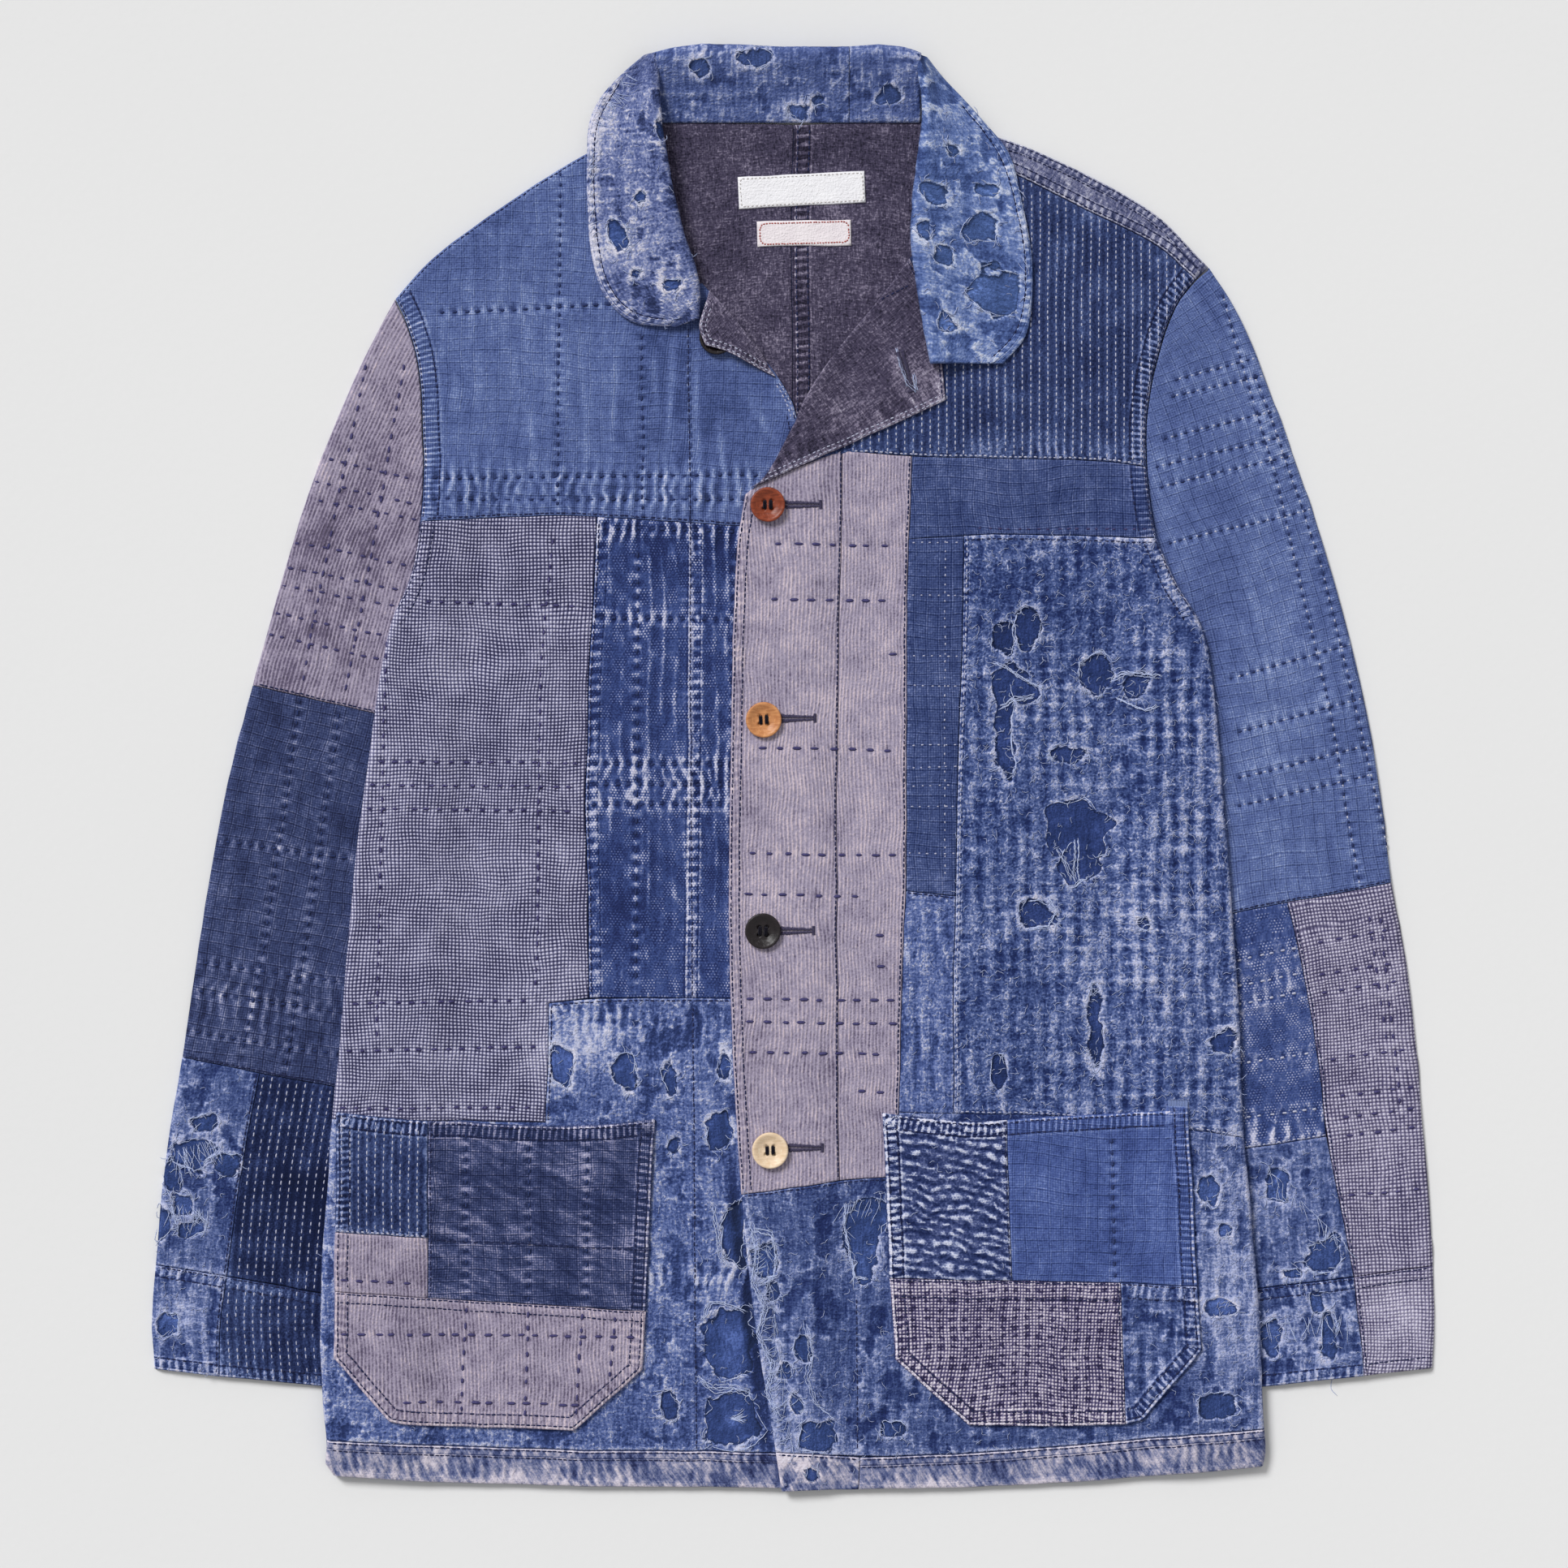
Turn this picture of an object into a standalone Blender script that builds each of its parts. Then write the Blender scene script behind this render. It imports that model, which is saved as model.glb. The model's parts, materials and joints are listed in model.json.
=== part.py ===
"""A patched boro work jacket, laid face up on a flat surface.

Every piece that is cut and sewn is its own closed solid. Sizes are in millimetres, the jacket
lies on z = 0, +Y points to the collar and +X to the wearer's left sleeve.
"""
import math

import bmesh
import bpy
import numpy as np
from mathutils import Vector
from mathutils.geometry import delaunay_2d_cdt

MM = 0.001
CENTRE_X = 0.65          # moves the sewn centre line so that the outline is centred on the origin
CENTRE_Y = -0.39
SEAM = 0.30              # gap between neighbouring pieces
CLOTH = 1.8              # worn cotton with its seam allowances
LINING = 1.0
COLLAR = 2.0             # two layers
GRID = 34.0              # spacing of the inner points of a panel
STEP = 26.0              # longest outline segment

SLEEVE_WALL = 1.3
SLEEVE_FLAT = 3.4        # both layers of a sleeve where the body lies on it
RAISE = 4.1              # height of the body's sides above the floor, over the sleeves
GAP = 1.6                # air and lining between the back and the fronts
FRONT_Z = CLOTH + GAP    # underside of the fronts
OVERLAP = 2.1            # the top front lies this much higher over the button stand
LAY = 0.35               # clearance of a piece laid on another one

BUTTON_R = 9.4
BUTTON_H = 3.4

# ---------------------------------------------------------------- tables of the cut
# inner edge of a sleeve hidden under the body: height on the jacket, distance from the centre
SLEEVE_INNER = [
    (130, 197.0), (100, 202.0), (84, 205.5), (25, 206.5), (-40, 206.0), (-90, 208.0),
    (-180, 212.0), (-230, 216.0), (-290, 220.0), (-345, 222.5),
]

# curves of the right side (x, y), each from the collar down
RIGHT_SHOULDER = [(-82, 349), (-113, 335), (-139, 319.5), (-165, 301.5), (-190, 283.5), (-203, 271.5), (-217, 255)]
RIGHT_ARMHOLE = [(-217, 255), (-210, 240), (-204, 218), (-201.7, 188), (-201, 161), (-203, 134)]
RIGHT_UNDERARM = [(-203, 134), (-206, 112), (-211, 97), (-218, 84)]
RIGHT_SIDE = [(-218, 84), (-224, 58), (-230, 12), (-238, -48), (-244, -121), (-250.5, -190)]
RIGHT_SIDE_LOW = [(-250.5, -190), (-255, -243), (-258, -304), (-256.7, -340), (-253.4, -363.7)]
RIGHT_SIDE_HEM = [(-253.4, -363.7), (-254.5, -377), (-250, -383.5)]

# curves of the left side
LEFT_SHOULDER = [(80, 350), (112, 344), (146, 330), (171, 317.5), (199, 300.5), (215, 284), (225.5, 273)]
LEFT_BAND_SEAM = [(82, 338), (119.5, 323.6), (148, 309), (173, 297), (198.7, 284), (218, 265.5)]
LEFT_ARMHOLE_TOP = [(225.5, 273), (218, 265.5)]
LEFT_ARMHOLE = [(218, 265.5), (205, 249.5), (196.5, 219), (190.7, 188), (191.5, 164)]
LEFT_ARMHOLE_LOW = [(191.5, 164), (193.5, 143), (196.5, 125)]
LEFT_UNDERARM = [(196.5, 125), (206.6, 100.5), (218.5, 84)]
LEFT_SIDE = [(218.5, 84), (224, 68), (227.3, 46), (231, 12), (235.6, -49), (241, -118), (244.3, -200)]
LEFT_SIDE_LOW = [(244.3, -200), (248, -240), (252, -289), (254.5, -357.5)]
LEFT_SIDE_HEM = [(254.5, -357.5), (256, -370), (254.5, -378.5)]

# neck, front edges and seams
RIGHT_NECK = [(-82, 349), (-81, 330), (-78, 310), (-73, 293), (-66, 276), (-60, 262)]
RIGHT_ROLL = [(-60, 262), (-50, 264), (-31, 242), (-13, 219), (-4, 206), (1.5, 194)]
RIGHT_EDGE_TOP = [(1.5, 194), (5, 165), (6, 131.5)]
RIGHT_STAND = [(6, 131.5), (6, -125)]
RIGHT_STAND_LOW = [(6, -125), (6, -371)]
RIGHT_STAND_HEM = [(6, -371), (6, -390.6)]
RIGHT_CHEST_SEAM = [(-203, 134), (-139, 138), (-107, 137), (-32, 132), (6, 131.5)]
RIGHT_STRIP_SEAM = [(-107, 137), (-108.5, 97.5), (-112, 46.5), (-113.7, -19), (-112, -58), (-111.5, -124)]
RIGHT_WAIST_SEAM = [(-111.5, -124), (6, -125)]
RIGHT_STEP_SEAM = [(-111.5, -124), (-133, -127), (-135, -192)]
RIGHT_POCKET_SEAM = [(-135, -192), (-250.5, -190)]
RIGHT_HEM_SEAM = [(-253.4, -363.7), (-197, -367), (-137, -369.5), (-53, -370.3), (6, -371)]
RIGHT_HEM_EDGE = [(-250, -383.5), (-190, -388), (-117, -389.2), (-34, -390.2), (6, -390.6)]

LEFT_NECK = [(80, 350), (82, 338), (78, 318), (74, 300), (69, 283)]
LEFT_ROLL = [(69, 283), (62, 277), (48, 256), (26.6, 231), (8.6, 206), (-16.5, 157.7), (-27, 149)]
LEFT_EDGE = [(-27, 149), (-31, 126.5), (-33, 83), (-34, 39), (-35, -5), (-36, -57), (-34, -151.6), (-29, -231)]
LEFT_EDGE_LOW = [(-29, -231), (-23.5, -287), (-17, -331), (-10.3, -370)]
LEFT_EDGE_HEM = [(-10.3, -370), (-7.3, -391.8)]
LEFT_YOKE_SEAM = [(191.5, 164), (161, 168), (97.5, 168.7), (64, 169.6)]
LEFT_YOKE_FRONT = [(64, 169.6), (26.5, 173)]
LEFT_YOKE_HIDDEN = [(26.5, 173), (-16.5, 157.7)]
LEFT_PLACKET_SIDE = [(64, 169.6), (62.5, 125), (61, 68), (61.5, 10), (60.5, -66.5)]
LEFT_PLACKET_LOW = [(60.5, -66.5), (58.7, -117), (57.4, -186)]
LEFT_PLACKET_TAIL = [(57.4, -186), (56, -221)]
LEFT_PLACKET_LINE = [(26.5, 173), (24.4, 92), (23.5, 10), (23.1, -57), (24, -152), (24.4, -223.5)]
LEFT_PLACKET_END = [(-29, -231), (9.5, -226), (24.4, -223.5)]
LEFT_PLACKET_END_2 = [(24.4, -223.5), (56, -221)]
LEFT_PATCH_TOP = [(92, 126.5), (120, 128), (196.5, 125)]
LEFT_PATCH_SIDE = [(92, 126.5), (91.5, 68), (89, -4), (87.8, -69)]
LEFT_PATCH_SIDE_LOW = [(87.8, -69), (86, -120), (87, -187)]
LEFT_STRIP_TOP = [(60.5, -66.5), (87.8, -69)]
LEFT_STRIP_END = [(57.4, -186), (87, -187)]
LEFT_PATCH_END = [(87, -187), (150, -188), (216, -195), (244.3, -200)]
LEFT_HEM_SEAM = [(36, -373.5), (106, -371), (160, -366.7), (208, -361), (254.5, -357.5)]
LEFT_HEM_SEAM_END = [(-10.3, -370), (36, -373.5)]
LEFT_HEM_SPLIT = [(36, -373.5), (35.5, -391.6)]
LEFT_HEM_EDGE = [(35.5, -391.6), (94, -390), (177, -385.7), (254.5, -378.5)]
LEFT_HEM_EDGE_END = [(-7.3, -391.8), (35.5, -391.6)]

# turned-back corners of the two fronts
RIGHT_LAPEL_EDGE = [(-10, 212.5), (-30.6, 223), (-45, 232), (-49, 242), (-49, 250)]
RIGHT_LAPEL_ROLL = [(-49, 250), (-47.5, 258.5), (-31, 240), (-13, 217.5), (-10, 212.5)]
LEFT_LAPEL_ROLL = [(-24, 152.5), (-15, 159), (9.5, 206), (27.6, 230.5), (49, 255), (64, 276)]
LEFT_LAPEL_EDGE = [(64, 276), (72, 258), (79, 232), (82.5, 200), (47, 183.7), (29, 175), (9.5, 167), (-24, 152.5)]

# pockets
RIGHT_POCKET_TOP_A = [(-247.5, -186), (-198, -190.5)]
RIGHT_POCKET_TOP_B = [(-198, -190.5), (-154, -193), (-118, -194.5), (-75.5, -190)]
RIGHT_POCKET_INNER = [(-75.5, -190), (-78, -240), (-80.3, -294)]
RIGHT_POCKET_SPLIT = [(-198, -190.5), (-198.5, -254), (-198.5, -287)]
RIGHT_POCKET_OUTER_A = [(-247.5, -186), (-248.5, -250.5)]
RIGHT_POCKET_STEP = [(-248.5, -250.5), (-198.5, -254)]
RIGHT_POCKET_OUTER_C = [(-248.5, -250.5), (-249, -282.5)]
RIGHT_POCKET_SEAM_C = [(-249, -282.5), (-198.5, -287)]
RIGHT_POCKET_SEAM_D = [(-198.5, -287), (-80.3, -294)]
RIGHT_POCKET_END = [
    (-80.3, -294), (-81.6, -326), (-119.5, -359), (-205, -356.3), (-219.5, -353.5), (-249.7, -319.2), (-249, -282.5),
]
LEFT_POCKET_TOP_A = [(48.2, -186), (94, -191.6), (115.5, -190.3)]
LEFT_POCKET_TOP_B = [(115.5, -190.3), (138, -188.5), (186, -185.5), (201.5, -184.5), (201.7, -182), (213.5, -182.3)]
LEFT_POCKET_INNER = [(48.2, -186), (51.5, -276)]
LEFT_POCKET_SPLIT = [(115.5, -190.3), (116.5, -235), (118, -277.5)]
LEFT_POCKET_MIDDLE_A = [(51.5, -276), (118, -277.5)]
LEFT_POCKET_MIDDLE_B = [(118, -277.5), (177, -278.5)]
LEFT_POCKET_MIDDLE_D = [(177, -278.5), (218.3, -280)]
LEFT_POCKET_OUTER = [(213.5, -182.3), (216, -235), (218.3, -280)]
LEFT_POCKET_SPLIT_LOW = [(177, -278.5), (179.5, -355.3)]
LEFT_POCKET_END_C = [(51.5, -276), (54.8, -320), (94.4, -355.8), (140, -357), (179.5, -355.3)]
LEFT_POCKET_END_D = [(218.3, -280), (220.7, -314.5), (189, -353), (179.5, -355.3)]

# collar wings from the back corner to the point: outer edge, its height, roll line, its height,
# height of the stand's foot
WING_COLUMNS = ("outer_x", "outer_y", "outer_z", "roll_x", "roll_y", "roll_z", "foot_z")
RIGHT_WING = [
    (-84.0, 389.0, 9.0, -75.8, 386.5, 14.0, 7.0),
    (-94.5, 377.5, 6.0, -74.8, 377.0, 14.5, 7.0),
    (-104.5, 365.5, 4.5, -74.0, 366.0, 15.0, 6.4),
    (-111.0, 352.0, 5.0, -73.0, 352.0, 15.5, 6.4),
    (-112.5, 331.0, 6.6, -70.0, 332.0, 15.5, 6.6),
    (-112.3, 304.0, 6.6, -65.5, 308.0, 15.0, 6.6),
    (-109.5, 276.0, 6.6, -60.0, 287.0, 13.5, 6.6),
    (-101.5, 254.5, 6.6, -54.0, 269.0, 12.0, 9.2),
    (-88.0, 242.5, 6.6, -52.3, 257.0, 11.5, 9.4),
    (-68.0, 240.0, 7.2, -52.5, 248.5, 11.0, 9.6),
]
LEFT_WING = [
    (74.0, 387.5, 8.0, 66.8, 386.5, 14.0, 7.0),
    (81.5, 374.5, 6.0, 68.6, 376.0, 14.5, 7.0),
    (91.5, 364.0, 6.0, 70.0, 365.0, 15.0, 6.4),
    (103.5, 350.5, 6.8, 70.4, 352.0, 15.5, 6.6),
    (117.0, 333.0, 6.6, 67.8, 330.0, 15.5, 6.6),
    (124.5, 304.0, 6.6, 65.0, 306.0, 15.5, 6.6),
    (129.0, 278.0, 6.6, 64.5, 285.0, 15.0, 8.8),
    (129.0, 252.0, 6.6, 67.5, 262.0, 14.0, 9.2),
    (124.0, 232.0, 6.6, 70.8, 242.0, 13.2, 9.8),
    (107.5, 218.8, 6.8, 75.5, 224.5, 12.8, 10.0),
]

# section of the collar at the back: from the foot of the stand over the roll to the fall behind
COLLAR_COLUMNS = ("y", "z")
COLLAR_SECTION = [
    (351.0, 3.4), (357.0, 4.6), (366.0, 7.2), (376.0, 10.6), (384.0, 13.2), (388.4, 13.2),
    (390.6, 10.4), (390.6, 5.6), (387.5, 2.3), (380.0, 1.2), (366.0, 1.1), (356.0, 1.1),
]
COLLAR_BACK_WAVE = [(-74, 0.0), (-50, 0.9), (-30, 0.6), (-8, -0.7), (30, -0.5), (48, 0.7), (68, -0.2)]

# sleeves from the armhole down: outer edge and hidden inner edge at each cross line
RIGHT_SLEEVE_CAP_OUTER = [(-217, 255), (-227, 238), (-242, 206), (-259, 165), (-273, 122), (-285, 81), (-294, 45.5)]
RIGHT_SLEEVE_CAP_INNER = [(-218, 84), (-212, 60), (-208, 26)]
RIGHT_SLEEVE_CAP = [
    (-217, 255), (-210, 240), (-204, 218), (-201.7, 188), (-201, 161), (-203, 134), (-206, 112), (-211, 97), (-218, 84),
]
RIGHT_SLEEVE_MIDDLE = [
    # outer x, outer y, inner x, inner y
    (-294.0, 45.5, -208.0, 26.0),
    (-306.5, 1.0, -206.0, -22.0),
    (-316.5, -50.0, -206.5, -74.0),
    (-325.0, -102.0, -208.5, -126.0),
    (-332.5, -156.5, -212.0, -180.0),
]
RIGHT_SLEEVE_LOWER = [
    # outer x, outer y, inner x, inner y, share of the top that lies outside the long seam
    (-332.5, -156.5, -212.0, -180.0, 0.355),
    (-340.5, -200.0, -214.5, -223.0, 0.335),
    (-345.0, -240.0, -217.5, -262.0, 0.318),
    (-347.3, -269.0, -220.0, -291.0, 0.306),
]
RIGHT_CUFF = [
    (-347.3, -269.0, -220.0, -291.0, 0.306),
    (-349.6, -300.0, -221.5, -316.0, 0.292),
    (-347.6, -326.0, -222.0, -339.5, 0.285),
]
LEFT_SLEEVE_CAP_OUTER = [
    (225.5, 273), (236, 258), (246.5, 239), (262, 196), (278, 152), (293, 106), (307, 52), (317.5, 0), (324.5, -62),
]
LEFT_SLEEVE_CAP_INNER = [(218.5, 84), (212, 60), (208, 25), (206, -25), (208, -84)]
LEFT_SLEEVE_CAP = [
    (225.5, 273), (218, 265.5), (205, 249.5), (196.5, 219), (190.7, 188), (191.5, 164), (193.5, 143), (196.5, 125),
    (206.6, 100.5), (218.5, 84),
]
LEFT_SLEEVE_LOWER_A = [
    # outer x, outer y, inner x, inner y, share of the top that lies outside the long seam
    (324.5, -62.0, 208.0, -84.0, 0.485),
    (333.0, -104.0, 210.0, -125.0, 0.455),
    (338.0, -148.0, 212.0, -168.0, 0.425),
    (341.7, -192.0, 215.0, -211.0, 0.415),
]
LEFT_SLEEVE_LOWER_B = [
    (341.7, -192.0, 215.0, -211.0, 0.415),
    (345.5, -233.0, 218.0, -250.0, 0.378),
    (347.0, -270.0, 219.5, -287.0, 0.340),
]
LEFT_CUFF = [
    (347.0, -270.0, 219.5, -287.0, 0.340),
    (348.3, -301.0, 221.0, -315.0, 0.320),
    (347.0, -326.0, 222.0, -338.5, 0.300),
]

# buttons: name, x, y, height of the seat, size factor, colour
BUTTONS = [
    ("button_1", -14.3, 143.2, 7.6, 1.00, (118, 52, 32)),
    ("button_2", -16.5, 26.6, 7.6, 1.03, (206, 152, 92)),
    ("button_3", -16.9, -87.8, 7.6, 1.03, (40, 32, 36)),
    ("button_4", -13.0, -206.6, 7.6, 1.05, (226, 203, 168)),
    ("button_5", -42.0, 234.0, 5.6, 1.00, (36, 30, 34)),
]

# cloth colours (sRGB, 0-255) and roughness
CLOTHS = {
    "ripstop_light": ((88, 118, 178), 0.88),
    "ripstop_blue": ((60, 88, 150), 0.88),
    "ripstop_dark": ((46, 60, 110), 0.88),
    "gingham": ((128, 128, 165), 0.90),
    "gingham_coarse": ((150, 140, 155), 0.90),
    "dobby": ((66, 96, 158), 0.88),
    "boro_light": ((98, 130, 188), 0.92),
    "boro": ((72, 102, 165), 0.92),
    "boro_deep": ((62, 88, 148), 0.92),
    "sashiko": ((44, 58, 112), 0.90),
    "stripe": ((158, 150, 172), 0.88),
    "slate": ((108, 110, 146), 0.88),
    "charcoal": ((80, 75, 90), 0.92),
    "hem": ((130, 140, 185), 0.90),
    "label": ((232, 226, 222), 0.80),
}


# ---------------------------------------------------------------- surface heights
def ramp(value, start, end):
    """0 before start, 1 after end, straight between."""
    return min(1.0, max(0.0, (value - start) / (end - start)))


def sleeve_inner(y):
    """Distance of the hidden sleeve edge from the centre line."""
    rows = SLEEVE_INNER
    if y >= rows[0][0]:
        return rows[0][1]
    for (y0, x0), (y1, x1) in zip(rows, rows[1:]):
        if y >= y1:
            return x0 + (x1 - x0) * (y0 - y) / (y0 - y1)
    return rows[-1][1]


def crease_high(x, y):
    """Zero on the line where the body has reached its full height over the sleeve."""
    return abs(x) - (sleeve_inner(y) - 7.0)


def crease_low(x, y):
    """Zero on the line where the body leaves the floor."""
    return abs(x) - (sleeve_inner(y) - 35.0)


def raised(x, y):
    """Height of the back's underside above the floor."""
    across = ramp(crease_low(x, y), 0.0, 28.0)
    down = ramp(-y, -180.0, -130.0) * (1.0 - 0.7 * ramp(-y, 358.0, 390.0))
    return RAISE * across * down


def back_bottom(x, y):
    return raised(x, y)


def lining_bottom(x, y):
    return raised(x, y) + CLOTH + 0.3


def front_bottom(x, y):
    return raised(x, y) + FRONT_Z


def top_front_bottom(x, y):
    """The left front steps up over the button stand of the right front."""
    return front_bottom(x, y) + OVERLAP * (1.0 - ramp(x, 8.0, 30.0))


def on_front(x, y):
    return front_bottom(x, y) + CLOTH + LAY


def on_lining(x, y):
    return lining_bottom(x, y) + LINING + 0.3


def left_lapel_bottom(x, y):
    """The turned corner lies on the yoke and stands off a little at its roll."""
    return top_front_bottom(x, y) + CLOTH + LAY


def right_lapel_bottom(x, y):
    """The small turned corner lies on the front and on the fifth button."""
    over = ramp(30.0 - math.hypot(x + 42.0, y - 234.0), 0.0, 12.0)
    return on_front(x, y) + (BUTTON_H + 0.4) * over


# ---------------------------------------------------------------- outlines
def loop(*curves):
    """Joins curves end to end, turning each round where that fits."""
    points = [tuple(map(float, p)) for p in curves[0]]
    if len(curves) > 1:
        ends = (tuple(map(float, curves[1][0])), tuple(map(float, curves[1][-1])))
        if points[-1] not in ends:
            points.reverse()
    for curve in curves[1:]:
        run = [tuple(map(float, p)) for p in curve]
        if run[0] != points[-1]:
            run.reverse()
        if run[0] != points[-1]:
            raise ValueError("curves do not meet: %s %s" % (points[-1], run))
        points.extend(run[1:])
    if points[0] == points[-1]:
        points.pop()
    return points


def signed_area(points):
    total = 0.0
    for (x0, y0), (x1, y1) in zip(points, points[1:] + points[:1]):
        total += x0 * y1 - x1 * y0
    return total / 2.0


def split_at_creases(points):
    """Adds the points where an edge crosses a crease of the surface."""
    tests = (crease_high, crease_low, lambda x, y: x - 8.0, lambda x, y: x - 30.0)
    for test in tests:
        result = []
        for (x0, y0), (x1, y1) in zip(points, points[1:] + points[:1]):
            result.append((x0, y0))
            a = test(x0, y0)
            b = test(x1, y1)
            if a * b < 0.0 and min(abs(a), abs(b)) > 1.5:
                low, high = 0.0, 1.0
                for _ in range(30):
                    middle = (low + high) / 2.0
                    value = test(x0 + (x1 - x0) * middle, y0 + (y1 - y0) * middle)
                    if (value < 0.0) == (a < 0.0):
                        low = middle
                    else:
                        high = middle
                result.append((x0 + (x1 - x0) * low, y0 + (y1 - y0) * low))
        points = result
    return points


def divided(points, step):
    """Splits long edges into equal shares, the same from either side."""
    result = []
    for (x0, y0), (x1, y1) in zip(points, points[1:] + points[:1]):
        count = max(1, math.ceil(math.hypot(x1 - x0, y1 - y0) / step - 1e-6))
        for k in range(count):
            share = k / count
            result.append((x0 + (x1 - x0) * share, y0 + (y1 - y0) * share))
    return result


def inset(points, distance):
    """Moves each edge of an anticlockwise loop inwards."""
    result = []
    count = len(points)
    for k in range(count):
        before = Vector(points[k - 1])
        here = Vector(points[k])
        after = Vector(points[(k + 1) % count])
        a = (here - before).normalized()
        b = (after - here).normalized()
        na = Vector((-a.y, a.x))
        nb = Vector((-b.y, b.x))
        middle = na + nb
        if middle.length < 1e-6:
            middle = na
        middle.normalize()
        reach = distance / max(0.35, middle.dot(na))
        result.append(tuple(here + middle * reach))
    return result


def inside(points, x, y):
    hit = False
    for (x0, y0), (x1, y1) in zip(points, points[1:] + points[:1]):
        if (y0 > y) != (y1 > y) and x < (x1 - x0) * (y - y0) / (y1 - y0) + x0:
            hit = not hit
    return hit


def edge_distance(points, x, y):
    best = 1e9
    for (x0, y0), (x1, y1) in zip(points, points[1:] + points[:1]):
        dx, dy = x1 - x0, y1 - y0
        length = dx * dx + dy * dy
        t = 0.0 if length == 0 else min(1.0, max(0.0, ((x - x0) * dx + (y - y0) * dy) / length))
        best = min(best, math.hypot(x - x0 - t * dx, y - y0 - t * dy))
    return best


def inner_points(points, spacing):
    """Points inside a loop: crease lines first, then a plain grid."""
    xs = [p[0] for p in points]
    ys = [p[1] for p in points]
    rows = range(math.floor(min(ys) / spacing), math.ceil(max(ys) / spacing) + 1)
    found = []
    for row in rows:
        y = row * spacing
        edges = [sleeve_inner(y) - 7.0, sleeve_inner(y) - 35.0]
        candidates = [edges[0], edges[1], -edges[0], -edges[1]]
        columns = range(math.floor(min(xs) / spacing), math.ceil(max(xs) / spacing) + 1)
        for x in candidates:
            if inside(points, x, y) and edge_distance(points, x, y) > 5.0:
                found.append((x, y))
        for column in columns:
            x = column * spacing + (8.0 if column <= 0 else -4.0 if column == 1 else 0.0)
            near = min([abs(x - c) for c in candidates])
            if near > 12.0 and inside(points, x, y) and edge_distance(points, x, y) > 11.0:
                found.append((x, y))
    for y in (130.0, 180.0):
        low = sleeve_inner(y) - 35.0
        for x in (-low - 24.0, -low, low, low + 24.0):
            clear = min([math.hypot(x - a, y - b) for a, b in found] + [99.0])
            if clear > 9.0 and inside(points, x, y) and edge_distance(points, x, y) > 4.0:
                found.append((x, y))
    return found


def crease_edges(outline, points):
    """Edges along the creases, so that pieces laid on each other bend along the same lines."""
    edges = []
    for test in (crease_high, crease_low):
        for side in (-1.0, 1.0):
            line = [k for k, (x, y) in enumerate(points) if x * side > 0 and abs(test(x, y)) < 0.35]
            line.sort(key=lambda k: points[k][1])
            for a, b in zip(line, line[1:]):
                x = (points[a][0] + points[b][0]) / 2.0
                y = (points[a][1] + points[b][1]) / 2.0
                if inside(outline, x, y) and edge_distance(outline, x, y) > 1.0:
                    edges.append((a, b))
    return edges


# ---------------------------------------------------------------- solids
def linear(channel):
    c = channel / 255.0
    return c / 12.92 if c <= 0.04045 else ((c + 0.055) / 1.055) ** 2.4


def material(name, colour, roughness):
    found = bpy.data.materials.new(name)
    found.use_nodes = True
    shader = found.node_tree.nodes["Principled BSDF"]
    rgb = [linear(c) for c in colour]
    shader.inputs["Base Color"].default_value = (rgb[0], rgb[1], rgb[2], 1.0)
    shader.inputs["Roughness"].default_value = roughness
    shader.inputs["Metallic"].default_value = 0.0
    found.diffuse_color = (rgb[0], rgb[1], rgb[2], 1.0)
    return found


def add_object(name, vertices, faces, colour, roughness):
    mesh = bpy.data.meshes.new(name)
    moved = [((x + CENTRE_X) * MM, (y + CENTRE_Y) * MM, z * MM) for x, y, z in vertices]
    mesh.from_pydata(moved, [], faces)
    mesh.materials.append(material(name + "_mat", colour, roughness))
    body = bmesh.new()
    body.from_mesh(mesh)
    bmesh.ops.remove_doubles(body, verts=body.verts, dist=0.000005)
    bmesh.ops.triangulate(body, faces=body.faces)
    bmesh.ops.recalc_face_normals(body, faces=body.faces)
    if body.calc_volume(signed=True) < 0:
        bmesh.ops.reverse_faces(body, faces=body.faces)
    body.to_mesh(mesh)
    body.free()
    made = bpy.data.objects.new(name, mesh)
    bpy.context.scene.collection.objects.link(made)
    mesh.shade_smooth()
    mesh.set_sharp_from_angle(angle=math.radians(35.0))
    return made


def panel(name, cloth, points, bottom, thickness=CLOTH, spacing=GRID, step=STEP, gap=SEAM):
    """A flat-cut piece laid on the surface whose height is given by bottom(x, y)."""
    if signed_area(points) < 0:
        points = points[::-1]
    points = divided(split_at_creases(points), step)
    outline = inset(points, gap / 2.0)
    inner = inner_points(outline, spacing)
    flat = [Vector(p) for p in outline + inner]
    count = len(outline)
    edges = [(k, (k + 1) % count) for k in range(count)]
    ties = crease_edges(outline, outline + inner)
    made, _, triangles, _, _, _ = delaunay_2d_cdt(flat, edges + ties, [list(range(count))], 1, 0.0001)
    if len(made) != len(flat):
        raise ValueError(name + ": the outline crosses itself")
    low = [(p.x, p.y, bottom(p.x, p.y)) for p in made]
    high = [(x, y, z + thickness) for x, y, z in low]
    offset = len(made)
    faces = []
    for triangle in triangles:
        faces.append([index + offset for index in triangle])
        faces.append(list(triangle)[::-1])
    for a, b in edges:
        faces.append([a, b, b + offset, a + offset])
    colour, roughness = CLOTHS[cloth]
    return add_object(name, low + high, faces, colour, roughness)


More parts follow.
